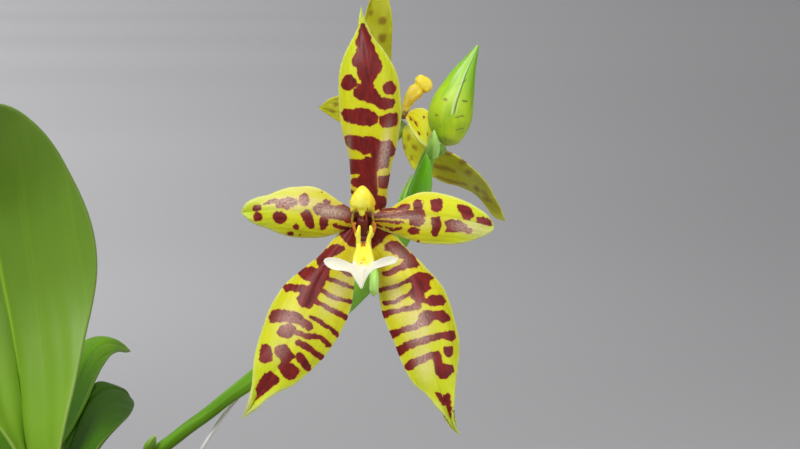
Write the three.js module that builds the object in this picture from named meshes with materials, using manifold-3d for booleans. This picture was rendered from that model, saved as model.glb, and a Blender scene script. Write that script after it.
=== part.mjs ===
// A potted orchid: a clay pot of bark, the plant's short stem with its leaves and
// roots, and a flower spike that carries two open flowers and a bud.
// Millimetres, +Z up. The origin is the centre of the pot's underside, and the
// nearer flower faces -Y.
import * as THREE from "three";
import { mergeVertices } from "three/addons/utils/BufferGeometryUtils.js";
import Module from "manifold-3d";

// ---------------------------------------------------------------- driving dimensions
const GAP = 0.3; // clearance between neighbouring pieces
const POT_HEIGHT = 80;
const POT_BASE_RADIUS = 31;
const POT_BODY_TOP_RADIUS = 40; // just under the rim band
const POT_RIM_RADIUS = 45;
const POT_RIM_BAND = 17; // height of the thicker rim band
const POT_WALL = 4.2;
const POT_FLOOR = 5;
const DRAIN_HOLES = 5;
const DRAIN_HOLE_RADIUS = 4;
const DRAIN_CIRCLE_RADIUS = 17;
const BARK_TOP = 72.5; // level of the bark at the pot's wall
const BARK_CROWN = 74; // level of the bark around the stem
const STEM_RADIUS = 4.6;
const STEM_BOTTOM = 66;
const STEM_TOP = 88;
const LEAF_THICKNESS = 1.9;
const SEPAL_THICKNESS = 0.95;
const BRACT_THICKNESS = 0.5;
const ROOT_RADIUS = 1.9;
const WIRE_RADIUS = 0.28;
const CHIP_THICKNESS = 3.2;
const LIP_THICKNESS = 0.8;

// Surface nets: rows run from base to tip, five points across each row.
const NETS = {
  front_dorsal_sepal: [
    [[42.39,-36.3,133], [43.09,-36.81,132.92], [43.78,-36.82,132.8], [44.54,-36.81,132.92], [45.29,-36.3,133]],
    [[41.96,-36.23,135.1], [42.99,-37.1,135.05], [44.01,-37.03,134.93], [45.07,-37.11,135], [46.13,-36.24,135]],
    [[41.84,-36.17,137.24], [42.98,-37.33,137.2], [44.11,-37.2,137.06], [45.22,-37.33,137.19], [46.32,-36.17,137.22]],
    [[41.61,-36.35,139.4], [42.91,-37.55,139.34], [44.18,-37.49,139.19], [45.47,-37.55,139.35], [46.75,-36.35,139.42]],
    [[41.12,-36.61,141.5], [42.68,-37.85,141.45], [44.22,-37.87,141.33], [45.79,-37.85,141.49], [47.36,-36.61,141.58]],
    [[40.72,-36.68,143.61], [42.46,-37.94,143.56], [44.19,-38.01,143.44], [45.97,-37.93,143.64], [47.76,-36.67,143.77]],
    [[40.45,-36.58,145.73], [42.31,-37.81,145.66], [44.13,-38,145.55], [46.03,-37.8,145.78], [47.92,-36.56,145.97]],
    [[40.33,-36.5,147.87], [42.21,-37.72,147.78], [44.07,-38.02,147.65], [45.87,-37.7,147.93], [47.69,-36.47,148.17]],
    [[40.4,-36.52,150], [42.17,-37.6,149.89], [43.93,-37.9,149.74], [45.54,-37.59,150.04], [47.15,-36.49,150.32]],
    [[40.99,-36.24,152.04], [42.37,-37.09,151.94], [43.73,-37.36,151.82], [44.9,-37.08,152.04], [46.08,-36.22,152.24]],
    [[41.93,-35.93,153.95], [42.7,-36.6,153.92], [43.45,-36.82,153.89], [44.1,-36.59,153.95], [44.74,-35.93,154]],
    [[42.64,-35.42,155.95], [42.91,-35.72,155.95], [43.18,-35.82,155.95], [43.45,-35.72,155.96], [43.71,-35.42,155.96]],
    [[43.03,-34.61,158.04], [43.03,-34.61,158.04], [43.03,-34.61,158.04], [43.03,-34.61,158.04], [43.03,-34.61,158.04]]
  ],
  front_left_lateral_sepal: [
    [[41.31,-36.77,130.98], [41.68,-37.19,130.84], [42.04,-37.2,130.66], [42.4,-37.24,130.3], [42.76,-36.97,129.91]],
    [[39.47,-37.2,129.78], [40.04,-37.86,129.46], [40.6,-38.01,129.09], [41.6,-38.01,128.4], [42.6,-37.66,127.67]],
    [[37.92,-37.6,128.16], [38.64,-38.46,127.8], [39.33,-38.7,127.39], [40.79,-38.68,126.44], [42.24,-38.24,125.45]],
    [[36.25,-38.28,126.69], [37.25,-39.37,126.19], [38.23,-39.72,125.62], [40.13,-39.62,124.46], [42.02,-39.06,123.24]],
    [[34.53,-38.79,125.28], [35.99,-40.17,124.54], [37.42,-40.64,123.7], [39.46,-40.45,122.42], [41.5,-39.72,121.07]],
    [[33.05,-39.06,123.58], [34.82,-40.58,122.73], [36.53,-41.11,121.77], [38.57,-40.88,120.42], [40.59,-40.06,119]],
    [[32.01,-39.71,121.65], [33.79,-41.19,120.84], [35.52,-41.68,119.92], [37.44,-41.47,118.57], [39.36,-40.66,117.14]],
    [[31.28,-40.32,119.57], [32.95,-41.75,118.86], [34.56,-42.18,118.03], [36.24,-41.99,116.78], [37.9,-41.19,115.45]],
    [[30.61,-40.85,117.47], [32.13,-42.01,116.84], [33.61,-42.3,116.09], [34.93,-42.19,115.05], [36.24,-41.56,113.93]],
    [[30.3,-41.81,115.36], [31.42,-42.35,114.82], [32.52,-42.32,114.21], [33.45,-42.42,113.5], [34.37,-42.19,112.75]],
    [[30.01,-42.28,113.17], [30.64,-42.42,112.81], [31.26,-42.2,112.4], [31.83,-42.46,112.06], [32.38,-42.46,111.68]],
    [[29.62,-41.99,110.88], [29.8,-41.83,110.71], [29.97,-41.49,110.51], [30.26,-41.85,110.37], [30.55,-42.05,110.21]],
    [[28.69,-40.94,108.62], [28.69,-40.94,108.62], [28.69,-40.94,108.62], [28.69,-40.94,108.62], [28.69,-40.94,108.62]]
  ],
  front_right_lateral_sepal: [
    [[43.78,-36.97,129.91], [44.18,-37.24,130.3], [44.57,-37.2,130.66], [45.17,-37.18,130.9], [45.77,-36.76,131.1]],
    [[44.33,-37.65,127.81], [45.25,-38,128.5], [46.17,-38,129.16], [46.94,-37.85,129.56], [47.71,-37.19,129.91]],
    [[45.07,-38.2,125.75], [46.27,-38.65,126.6], [47.47,-38.69,127.4], [48.39,-38.44,127.83], [49.31,-37.57,128.2]],
    [[45.21,-38.97,123.59], [46.9,-39.57,124.6], [48.58,-39.66,125.55], [49.76,-39.3,126.09], [50.95,-38.19,126.55]],
    [[45.57,-39.59,121.45], [47.58,-40.38,122.59], [49.58,-40.54,123.65], [51.02,-40.06,124.26], [52.47,-38.66,124.78]],
    [[46.35,-39.92,119.39], [48.36,-40.82,120.55], [50.37,-41.03,121.62], [51.99,-40.48,122.24], [53.64,-38.93,122.76]],
    [[47.19,-40.54,117.39], [49.07,-41.4,118.5], [50.94,-41.61,119.53], [52.62,-41.11,120.11], [54.32,-39.61,120.56]],
    [[48.02,-41.1,115.38], [49.71,-41.92,116.44], [51.41,-42.14,117.41], [53.04,-41.68,117.92], [54.7,-40.23,118.3]],
    [[49.06,-41.5,113.47], [50.43,-42.15,114.39], [51.81,-42.28,115.23], [53.23,-41.96,115.67], [54.68,-40.78,116]],
    [[50.63,-42.16,112], [51.47,-42.41,112.55], [52.32,-42.32,113.06], [53.39,-42.31,113.46], [54.47,-41.74,113.77]],
    [[52.12,-42.46,110.39], [52.58,-42.47,110.68], [53.05,-42.21,110.93], [53.66,-42.42,111.23], [54.28,-42.21,111.48]],
    [[53.47,-42.03,108.54], [53.66,-41.85,108.64], [53.86,-41.49,108.72], [54.02,-41.82,108.91], [54.19,-41.9,109.06]],
    [[54.94,-40.91,106.66], [54.94,-40.91,106.66], [54.94,-40.91,106.66], [54.94,-40.91,106.66], [54.94,-40.91,106.66]]
  ],
  front_left_petal: [
    [[42.05,-37.27,133.32], [42.08,-37.61,132.93], [42.11,-37.64,132.51], [42.08,-37.68,132.09], [42.05,-37.42,131.64]],
    [[41.03,-37.28,134.1], [41.01,-37.77,133.4], [40.99,-37.87,132.67], [40.98,-37.9,131.92], [40.96,-37.5,131.13]],
    [[40.01,-37.31,134.86], [39.94,-37.97,133.85], [39.86,-38.15,132.8], [39.84,-38.15,131.81], [39.81,-37.58,130.76]],
    [[38.96,-37.33,135.6], [38.86,-38.06,134.28], [38.74,-38.29,132.92], [38.7,-38.28,131.72], [38.65,-37.65,130.46]],
    [[37.83,-37.44,136.19], [37.73,-38.2,134.64], [37.62,-38.5,133.07], [37.55,-38.45,131.7], [37.46,-37.73,130.27]],
    [[36.58,-37.58,136.44], [36.55,-38.36,134.85], [36.51,-38.72,133.24], [36.39,-38.63,131.78], [36.25,-37.8,130.25]],
    [[35.31,-37.71,136.4], [35.36,-38.49,134.91], [35.39,-38.87,133.4], [35.24,-38.75,131.92], [35.06,-37.83,130.36]],
    [[34.05,-37.79,136.22], [34.17,-38.49,134.89], [34.26,-38.81,133.54], [34.09,-38.72,132.12], [33.88,-37.91,130.63]],
    [[32.84,-37.92,135.85], [32.99,-38.49,134.76], [33.14,-38.74,133.64], [32.96,-38.67,132.37], [32.75,-38.01,131.04]],
    [[31.65,-38.02,135.42], [31.83,-38.5,134.52], [32,-38.68,133.59], [31.83,-38.62,132.57], [31.64,-38.06,131.49]],
    [[30.44,-38.26,135.06], [30.66,-38.53,134.29], [30.87,-38.55,133.52], [30.71,-38.61,132.75], [30.53,-38.29,131.96]],
    [[29.35,-38.13,134.37], [29.54,-38.21,133.9], [29.71,-38.12,133.41], [29.62,-38.25,133.01], [29.51,-38.11,132.59]],
    [[28.56,-37.77,133.33], [28.56,-37.77,133.33], [28.56,-37.77,133.33], [28.56,-37.77,133.33], [28.56,-37.77,133.33]]
  ],
  front_right_petal: [
    [[44.51,-37.27,133.32], [44.48,-37.61,132.93], [44.45,-37.64,132.51], [44.51,-37.68,132.09], [44.57,-37.42,131.64]],
    [[45.83,-37.28,133.7], [45.75,-37.79,133.18], [45.68,-37.87,132.62], [45.72,-37.9,131.89], [45.76,-37.54,131.13]],
    [[47.11,-37.29,134.14], [47,-38,133.47], [46.89,-38.15,132.76], [46.94,-38.15,131.77], [46.98,-37.68,130.73]],
    [[48.29,-37.25,134.82], [48.2,-38.08,133.86], [48.11,-38.29,132.86], [48.15,-38.29,131.59], [48.18,-37.79,130.27]],
    [[49.53,-37.23,135.39], [49.43,-38.19,134.19], [49.33,-38.47,132.94], [49.37,-38.46,131.45], [49.42,-37.94,129.91]],
    [[50.87,-37.25,135.64], [50.71,-38.33,134.31], [50.55,-38.67,132.93], [50.61,-38.64,131.29], [50.67,-38.11,129.62]],
    [[52.24,-37.27,135.59], [52,-38.44,134.27], [51.77,-38.82,132.9], [51.86,-38.76,131.22], [51.95,-38.21,129.49]],
    [[53.56,-37.37,135.28], [53.27,-38.45,134.06], [52.98,-38.78,132.79], [53.11,-38.75,131.16], [53.24,-38.28,129.49]],
    [[54.86,-37.51,134.85], [54.52,-38.45,133.74], [54.19,-38.73,132.58], [54.35,-38.73,131.12], [54.52,-38.37,129.62]],
    [[56.11,-37.61,134.31], [55.74,-38.45,133.37], [55.39,-38.68,132.38], [55.58,-38.69,131.14], [55.78,-38.4,129.87]],
    [[57.3,-37.93,133.69], [56.94,-38.47,132.92], [56.59,-38.57,132.12], [56.8,-38.67,131.19], [57.01,-38.49,130.23]],
    [[58.36,-37.9,132.82], [58.07,-38.16,132.34], [57.8,-38.16,131.84], [58,-38.3,131.28], [58.21,-38.22,130.7]],
    [[59.02,-37.82,131.62], [59.02,-37.82,131.62], [59.02,-37.82,131.62], [59.02,-37.82,131.62], [59.02,-37.82,131.62]]
  ],
  rear_dorsal_sepal: [
    [[47.25,-14.11,144.48], [47.53,-14.13,144.32], [47.8,-14.14,144.15], [48.07,-14.16,143.97], [48.34,-14.17,143.78]],
    [[45.38,-14.75,145.66], [46.15,-14.68,145.84], [46.93,-15.02,146.04], [47.21,-15.38,145.89], [47.49,-15.84,145.75]],
    [[43.72,-15.75,147.11], [44.89,-15.62,147.51], [46.07,-16.28,147.93], [46.51,-16.99,147.87], [46.95,-17.9,147.82]],
    [[42.61,-16.54,149.02], [43.91,-16.45,149.4], [45.23,-17.16,149.81], [45.95,-17.92,149.85], [46.67,-18.96,149.89]],
    [[42.04,-17.58,151.14], [43.4,-17.55,151.46], [44.76,-18.32,151.81], [45.69,-19.17,151.89], [46.62,-20.42,151.98]],
    [[42.22,-19.11,153.34], [43.38,-19.15,153.58], [44.55,-19.98,153.84], [45.61,-20.92,153.94], [46.67,-22.37,154.06]],
    [[42.87,-20.18,155.42], [43.8,-20.26,155.63], [44.73,-21.15,155.86], [45.7,-22.14,155.98], [46.66,-23.74,156.1]],
    [[43.57,-21.4,157.48], [44.2,-21.41,157.66], [44.83,-22.1,157.86], [45.62,-22.87,157.98], [46.42,-24.16,158.1]],
    [[44.14,-22.97,159.56], [44.48,-22.89,159.71], [44.83,-23.35,159.86], [45.35,-23.84,159.95], [45.88,-24.75,160.04]],
    [[44.37,-23.67,161.68], [44.51,-23.6,161.76], [44.66,-23.87,161.84], [44.94,-24.15,161.89], [45.23,-24.71,161.94]],
    [[44.48,-24.27,163.8], [44.48,-24.27,163.8], [44.48,-24.27,163.8], [44.48,-24.27,163.8], [44.48,-24.27,163.8]]
  ],
  rear_left_petal: [
    [[47.57,-12.39,143.5], [47.54,-12.2,143.39], [47.51,-12.21,143.3], [47.54,-12.22,143.17], [47.57,-12.43,143.05]],
    [[46.71,-12.02,144.69], [46.47,-11.68,144.11], [46.24,-11.59,143.55], [46.34,-11.55,142.82], [46.45,-11.73,142.11]],
    [[45.48,-11.69,145.5], [45.21,-11.12,144.62], [44.95,-10.84,143.76], [45.01,-10.68,142.7], [45.06,-10.78,141.66]],
    [[44.08,-11.54,145.96], [43.87,-10.71,144.96], [43.66,-10.24,143.96], [43.64,-9.94,142.75], [43.61,-9.93,141.55]],
    [[42.62,-10.83,146.28], [42.49,-9.82,145.2], [42.36,-9.22,144.14], [42.26,-8.82,142.87], [42.16,-8.73,141.62]],
    [[41.13,-9.74,146.31], [41.09,-8.95,145.28], [41.05,-8.48,144.26], [40.93,-8.17,143.21], [40.82,-8.1,142.17]],
    [[39.62,-8.15,146.02], [39.67,-7.67,145.18], [39.72,-7.39,144.36], [39.61,-7.21,143.56], [39.5,-7.17,142.77]],
    [[38.22,-6.33,145.34], [38.3,-6.15,144.83], [38.37,-6.05,144.33], [38.3,-5.98,143.91], [38.23,-5.98,143.49]],
    [[37.03,-5.09,144.31], [37.03,-5.09,144.31], [37.03,-5.09,144.31], [37.03,-5.09,144.31], [37.03,-5.09,144.31]]
  ],
  rear_right_petal: [
    [[48.47,-15,143.5], [48.59,-14.99,143.66], [48.72,-14.97,143.81], [48.78,-14.96,144.01], [48.85,-14.64,144.19]],
    [[48.67,-15.89,142.97], [48.97,-15.8,143.24], [49.27,-15.74,143.52], [49.48,-15.57,144.08], [49.69,-15.07,144.63]],
    [[48.89,-17.12,142.46], [49.3,-16.94,142.8], [49.72,-16.81,143.14], [50.16,-16.44,143.91], [50.6,-15.72,144.66]],
    [[49.21,-18.14,142], [49.64,-17.87,142.32], [50.07,-17.68,142.65], [50.69,-17.14,143.42], [51.32,-16.21,144.17]],
    [[49.54,-18.89,141.52], [49.98,-18.56,141.83], [50.41,-18.33,142.15], [51.06,-17.68,142.76], [51.7,-16.62,143.34]],
    [[49.9,-19.68,141.07], [50.28,-19.42,141.34], [50.66,-19.24,141.62], [51.19,-18.72,142.05], [51.73,-17.88,142.47]],
    [[50.29,-20.04,140.63], [50.6,-19.87,140.85], [50.91,-19.75,141.06], [51.3,-19.43,141.34], [51.69,-18.9,141.6]],
    [[50.74,-20.41,140.24], [50.91,-20.34,140.36], [51.08,-20.29,140.49], [51.27,-20.15,140.62], [51.45,-19.94,140.75]],
    [[51.22,-20.74,139.89], [51.22,-20.74,139.89], [51.22,-20.74,139.89], [51.22,-20.74,139.89], [51.22,-20.74,139.89]]
  ],
  rear_right_lateral_sepal: [
    [[48.41,-11.99,142.32], [48.57,-11.79,142.28], [48.73,-11.8,142.25], [48.96,-11.8,142.25], [49.18,-12,142.26]],
    [[47.97,-12,140.63], [48.73,-11.93,140.72], [49.5,-12.18,140.83], [50.01,-12.49,141.13], [50.53,-13.13,141.46]],
    [[48.36,-12,138.86], [49.39,-12.08,139.17], [50.43,-12.67,139.52], [51.09,-13.4,140.01], [51.75,-14.64,140.53]],
    [[49.17,-12.15,137.26], [50.4,-12.31,137.83], [51.61,-13.08,138.44], [52.33,-14.04,139.04], [53.04,-15.62,139.66]],
    [[50.64,-12.07,136.26], [51.8,-12.27,136.87], [52.95,-13.13,137.52], [53.69,-14.19,138.19], [54.42,-15.91,138.9]],
    [[52.31,-11.76,135.53], [53.38,-12.03,136.16], [54.43,-13.01,136.83], [55.09,-14.21,137.4], [55.73,-16.13,138.02]],
    [[53.99,-11.48,134.82], [54.94,-11.8,135.41], [55.88,-12.91,136.07], [56.43,-14.23,136.52], [56.96,-16.33,137.03]],
    [[55.73,-11.17,134.27], [56.49,-11.52,134.67], [57.22,-12.62,135.11], [57.64,-13.9,135.44], [58.04,-15.95,135.83]],
    [[57.36,-10.34,133.36], [57.89,-10.67,133.6], [58.4,-11.49,133.87], [58.76,-12.41,134.13], [59.1,-13.93,134.43]],
    [[58.63,-9.57,131.97], [59.05,-9.86,132.22], [59.45,-10.4,132.5], [59.74,-10.96,132.69], [60.01,-11.96,132.91]],
    [[59.83,-8.7,130.49], [60.15,-8.86,130.77], [60.47,-9.16,131.07], [60.66,-9.46,131.18], [60.83,-10.02,131.32]],
    [[61.51,-7.38,129.58], [61.51,-7.38,129.58], [61.51,-7.38,129.58], [61.51,-7.38,129.58], [61.51,-7.38,129.58]]
  ],
  rear_left_lateral_sepal: [
    [[47.7,-9.99,142.21], [47.8,-9.8,142.07], [47.89,-9.82,141.95], [48.02,-9.82,141.88], [48.15,-10.03,141.83]],
    [[46.82,-9.53,141.31], [47.04,-8.93,141.09], [47.26,-8.71,140.9], [47.36,-8.53,140.84], [47.47,-8.5,140.79]],
    [[45.96,-8.99,140.38], [46.29,-7.79,140.08], [46.63,-7.24,139.82], [46.78,-6.79,139.71], [46.94,-6.43,139.61]],
    [[45.15,-8.8,139.42], [45.57,-7.04,139.07], [45.99,-6.18,138.76], [46.23,-5.49,138.59], [46.46,-4.82,138.42]],
    [[44.33,-6.93,138.36], [44.83,-5,137.96], [45.35,-4.05,137.62], [45.65,-3.29,137.4], [45.96,-2.52,137.18]],
    [[43.62,-4.47,137.15], [44.16,-2.71,136.77], [44.72,-1.83,136.46], [45.08,-1.16,136.21], [45.45,-0.48,135.95]],
    [[43.06,-2.74,135.89], [43.62,-1.13,135.55], [44.19,-0.34,135.27], [44.54,0.26,135.03], [44.9,0.85,134.78]],
    [[42.59,0.34,134.49], [43.12,1.59,134.22], [43.65,2.2,134], [43.9,2.66,133.83], [44.14,3.12,133.65]],
    [[42.6,4.15,132.92], [42.86,4.69,132.79], [43.13,4.95,132.69], [43.26,5.15,132.6], [43.38,5.35,132.51]],
    [[42.62,6.83,131.42], [42.62,6.83,131.42], [42.62,6.83,131.42], [42.62,6.83,131.42], [42.62,6.83,131.42]]
  ],
  leaf_1: [
    [[-1.05,-3.37,89.47], [-0.85,-1.8,89.03], [-0.56,-0.92,88.73], [-0.01,-1.8,89.03], [0.61,-3.37,89.47]],
    [[-2.62,-1.93,94.55], [-2.14,-0.07,93.76], [-1.56,1.05,93.09], [0,-0.07,93.72], [1.65,-1.93,94.47]],
    [[-4.79,-0.29,99.42], [-3.83,1.93,98.36], [-2.75,3.37,97.42], [-0.15,1.94,98.4], [2.54,-0.28,99.5]],
    [[-8.29,1.06,103.61], [-5.88,3.34,102.75], [-3.34,4.87,101.99], [0.11,3.4,103.22], [3.62,1.19,104.55]],
    [[-11.84,3.18,107.78], [-7.99,5.31,107.11], [-4.01,6.83,106.52], [0.26,5.48,107.98], [4.57,3.51,109.52]],
    [[-15.22,5.24,112.13], [-10.1,7.21,111.58], [-4.85,8.7,111.08], [0.32,7.48,112.8], [5.5,5.76,114.56]],
    [[-17.96,5.86,116.96], [-11.88,7.72,116.36], [-5.68,9.17,115.81], [0.39,8.04,117.81], [6.46,6.52,119.84]],
    [[-19.71,5.96,122.23], [-13.18,7.56,121.4], [-6.53,8.81,120.61], [-0.04,7.87,122.93], [6.45,6.63,125.27]],
    [[-20.6,6.31,127.69], [-13.99,7.54,126.54], [-7.3,8.49,125.4], [-1.11,7.81,127.94], [5.07,6.96,130.49]],
    [[-20,5.54,133.28], [-13.89,6.43,131.78], [-7.72,7.1,130.29], [-2.41,6.64,132.87], [2.9,6.13,135.45]],
    [[-17.46,2.53,138.63], [-12.64,3.17,136.96], [-7.77,3.65,135.29], [-3.67,3.33,137.74], [0.42,3.01,140.18]],
    [[-13.38,0.31,142.76], [-10.64,0.55,141.47], [-7.88,0.72,140.17], [-5.55,0.64,141.98], [-3.23,0.56,143.8]],
    [[-7.71,-4.02,145.05], [-7.71,-4.02,145.05], [-7.71,-4.02,145.05], [-7.71,-4.02,145.05], [-7.71,-4.02,145.05]]
  ],
  leaf_2: [
    [[-0.39,2.19,89.91], [-0.13,3.37,89.56], [0.18,4.15,89.28], [0.68,3.37,89.56], [1.23,2.19,89.91]],
    [[-1.06,6.27,91.99], [-0.41,6.51,91.64], [0.27,6.55,91.33], [0.73,5.31,91.61], [1.25,3.6,91.97]],
    [[-1.6,11.16,93.98], [-0.61,10.17,93.67], [0.37,9.24,93.35], [0.77,7.37,93.65], [1.23,4.96,94.05]],
    [[-1.81,14.97,96.21], [-0.61,13.23,95.83], [0.55,11.69,95.43], [0.79,9.43,95.71], [1.11,6.6,96.1]],
    [[-1.89,19.94,98.27], [-0.54,17.6,97.79], [0.79,15.4,97.29], [1.19,12.64,97.49], [1.64,9.42,97.77]],
    [[-1.78,24.32,100.46], [-0.23,21.2,99.88], [1.28,18.17,99.31], [1.94,14.76,99.4], [2.62,11.05,99.55]],
    [[-1.58,29.39,102.58], [0.1,25.58,101.88], [1.75,21.79,101.2], [2.57,17.8,101.21], [3.4,13.65,101.26]],
    [[-1.09,34.52,104.66], [0.54,30.43,103.82], [2.15,26.35,103], [3.06,22.19,102.86], [3.97,18,102.75]],
    [[0.22,37.97,106.68], [1.49,33.88,105.82], [2.74,29.79,104.98], [3.64,25.9,104.67], [4.5,22.22,104.34]],
    [[2,44.5,107.48], [2.73,40.43,106.91], [3.44,36.37,106.36], [4.2,32.76,105.93], [4.9,29.59,105.45]],
    [[4.73,47.24,106.93], [4.96,44.7,106.83], [5.2,42.15,106.74], [5.46,39.91,106.47], [5.7,37.98,106.16]],
    [[6.86,51.67,104.63], [6.86,51.67,104.63], [6.86,51.67,104.63], [6.86,51.67,104.63], [6.86,51.67,104.63]]
  ],
  leaf_3: [
    [[1.55,-2.79,90.3], [1.81,-1.62,89.95], [2.12,-0.84,89.66], [2.65,-1.32,89.89], [3.22,-2.2,90.19]],
    [[1.47,-0.24,92.04], [1.88,0.3,91.69], [2.32,0.65,91.38], [3.11,-0.55,91.46], [3.97,-2.43,91.67]],
    [[1.48,2.83,93.7], [2.01,2.53,93.39], [2.54,2.3,93.07], [3.59,0.17,93.04], [4.76,-3.05,93.21]],
    [[1.63,5.46,95.44], [2.21,4.7,95.11], [2.77,4.11,94.74], [4.03,1.38,94.53], [5.42,-2.61,94.55]],
    [[1.91,8.84,97.04], [2.4,7.87,96.65], [2.89,6.9,96.26], [4.38,3.51,95.88], [5.97,-0.96,95.7]],
    [[2.32,11.67,98.74], [2.79,10.44,98.29], [3.28,8.99,97.88], [4.92,4.76,97.36], [6.62,-0.34,97.02]],
    [[2.86,15.23,100.29], [3.24,13.76,99.79], [3.67,11.89,99.36], [5.43,6.9,98.69], [7.23,1.24,98.17]],
    [[3.43,19.18,101.77], [3.71,17.59,101.21], [4.04,15.52,100.73], [5.96,10.34,99.73], [7.89,4.62,98.87]],
    [[4.3,22.16,103.35], [4.52,20.44,102.69], [4.79,18.28,102.11], [6.71,13.55,100.71], [8.63,8.54,99.41]],
    [[5.69,27.64,103.24], [5.8,25.82,102.83], [5.95,23.6,102.48], [7.55,19.35,101.01], [9.13,15.06,99.58]],
    [[7.56,30.43,101.89], [7.57,29.28,101.78], [7.6,27.88,101.7], [8.54,25.26,100.69], [9.47,22.64,99.7]],
    [[8.79,34.16,99.6], [8.79,34.16,99.6], [8.79,34.16,99.6], [8.79,34.16,99.6], [8.79,34.16,99.6]]
  ],
  leaf_4: [
    [[-4.29,6.48,87.14], [-5.42,4.75,86.47], [-6,3.1,86.3], [-5.5,1.61,87.09], [-4.45,0.21,88.37]],
    [[-10.16,9.19,93.99], [-11.48,6.83,93.16], [-12.18,4.57,92.96], [-11.7,2.49,94.01], [-10.6,0.5,95.7]],
    [[-16.86,12.44,99.96], [-18.41,9.25,98.81], [-19.3,6.18,98.53], [-18.92,3.32,99.95], [-17.88,0.57,102.23]],
    [[-24.06,16.05,105.42], [-25.77,11.89,103.93], [-26.83,7.85,103.55], [-26.64,4.06,105.32], [-25.81,0.39,108.19]],
    [[-32.42,19.55,109.78], [-33.89,14.47,107.91], [-34.98,9.49,107.31], [-35.31,4.72,109.17], [-35.26,0.07,112.31]],
    [[-41.58,23.64,110.83], [-42.86,17.27,109.06], [-43.98,11,108.5], [-44.77,4.9,110.28], [-45.4,-1.1,113.28]],
    [[-50.89,27.02,111.85], [-51.92,19.72,110.17], [-53,12.49,109.57], [-54.16,5.42,111.08], [-55.36,-1.58,113.67]],
    [[-60.61,28.66,110.1], [-61.05,21.17,108.39], [-61.79,13.72,107.59], [-63.07,6.37,108.55], [-64.63,-0.93,110.41]],
    [[-69.24,30.25,106.29], [-69.57,22.49,104.79], [-70.23,14.78,104.07], [-71.51,7.15,104.86], [-73.13,-0.44,106.43]],
    [[-78.12,30.51,102.45], [-78.18,23.15,101.13], [-78.61,15.82,100.43], [-79.77,8.56,100.93], [-81.31,1.32,102.05]],
    [[-85.62,29.32,96.11], [-85.48,22.95,95.18], [-85.67,16.6,94.62], [-86.5,10.27,94.78], [-87.65,3.96,95.32]],
    [[-92.13,26.25,89.08], [-92.15,21.77,88.61], [-92.34,17.3,88.31], [-92.85,12.84,88.36], [-93.53,8.39,88.58]],
    [[-99.07,18.81,82.16], [-99.01,18.4,82.06], [-99,18,82], [-99.08,17.6,82.04], [-99.2,17.21,82.13]]
  ],
  leaf_5: [
    [[-4.67,-4.38,85.6], [-3.54,-5.61,84.51], [-2.3,-6.5,84], [-0.83,-6.75,84.62], [0.76,-6.66,85.82]],
    [[-8.17,-9.39,89.63], [-6.56,-10.94,88.33], [-4.81,-12.11,87.74], [-2.81,-12.53,88.5], [-0.67,-12.58,89.96]],
    [[-12.17,-14.49,93.59], [-9.86,-16.35,91.9], [-7.44,-17.85,91.14], [-4.79,-18.66,92.15], [-2.02,-19.12,94.08]],
    [[-16.88,-19.96,96.06], [-13.74,-22.15,94.03], [-10.52,-24.04,93.11], [-7.12,-25.35,94.36], [-3.64,-26.35,96.73]],
    [[-21.61,-25.42,97.93], [-17.65,-27.98,95.87], [-13.63,-30.25,94.98], [-9.45,-31.96,96.33], [-5.2,-33.38,98.85]],
    [[-27.12,-31.07,99.37], [-21.93,-33.82,97.44], [-16.76,-36.5,96.61], [-11.63,-39.06,97.92], [-6.51,-41.55,100.34]],
    [[-32.13,-36.97,98.1], [-26.03,-39.81,96.38], [-20.03,-42.79,95.62], [-14.24,-46.04,96.75], [-8.55,-49.43,98.85]],
    [[-35.74,-42.99,96.15], [-29.47,-45.94,94.72], [-23.3,-49.02,94.14], [-17.35,-52.4,95.2], [-11.51,-55.91,97.1]],
    [[-39.53,-49.2,94.31], [-32.97,-52.12,93.11], [-26.56,-55.25,92.64], [-20.42,-58.81,93.57], [-14.43,-62.58,95.24]],
    [[-41.93,-55.54,90.75], [-35.6,-58.06,89.81], [-29.45,-60.9,89.42], [-23.64,-64.34,90.12], [-18.02,-68.09,91.38]],
    [[-42.74,-61.22,85.71], [-37.28,-63.45,85.15], [-31.97,-65.93,84.95], [-26.92,-68.89,85.44], [-22.01,-72.1,86.28]],
    [[-41.97,-67.46,80.74], [-38.19,-69.15,80.52], [-34.48,-70.97,80.47], [-30.91,-73.02,80.77], [-27.42,-75.19,81.25]],
    [[-37.71,-75.76,76.13], [-37.35,-75.86,76.04], [-37,-76,76], [-36.7,-76.21,76.06], [-36.42,-76.45,76.18]]
  ],
  leaf_6: [
    [[-3.78,5.06,84.24], [-2.74,6.16,83.06], [-1.6,7,82.5], [-0.26,7.34,83.14], [1.19,7.42,84.4]],
    [[-7.44,10.07,87.31], [-5.96,11.49,85.94], [-4.36,12.6,85.3], [-2.52,13.12,86.06], [-0.57,13.35,87.54]],
    [[-11.42,14.92,90.5], [-9.33,16.71,88.84], [-7.12,18.2,88.08], [-4.69,19.09,89.04], [-2.14,19.67,90.91]],
    [[-16.06,19.76,92.79], [-13.25,21.96,90.85], [-10.34,23.9,89.98], [-7.27,25.35,91.17], [-4.1,26.53,93.42]],
    [[-20.93,24.64,94.22], [-17.39,27.26,92.26], [-13.78,29.64,91.41], [-10.03,31.56,92.7], [-6.22,33.26,95.1]],
    [[-26.36,29.3,95.26], [-21.81,32.42,93.54], [-17.22,35.37,92.84], [-12.56,37.99,94.13], [-7.86,40.43,96.44]],
    [[-31.3,34.18,95.81], [-26.03,37.63,94.25], [-20.81,41.09,93.6], [-15.7,44.59,94.72], [-10.64,48.11,96.77]],
    [[-35.43,39.36,94.26], [-30.02,42.88,92.83], [-24.71,46.53,92.19], [-19.62,50.42,93.05], [-14.64,54.45,94.7]],
    [[-39.67,44.43,92.37], [-34.09,48.12,91.19], [-28.62,51.93,90.69], [-23.36,55.98,91.51], [-18.21,60.14,93.03]],
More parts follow.
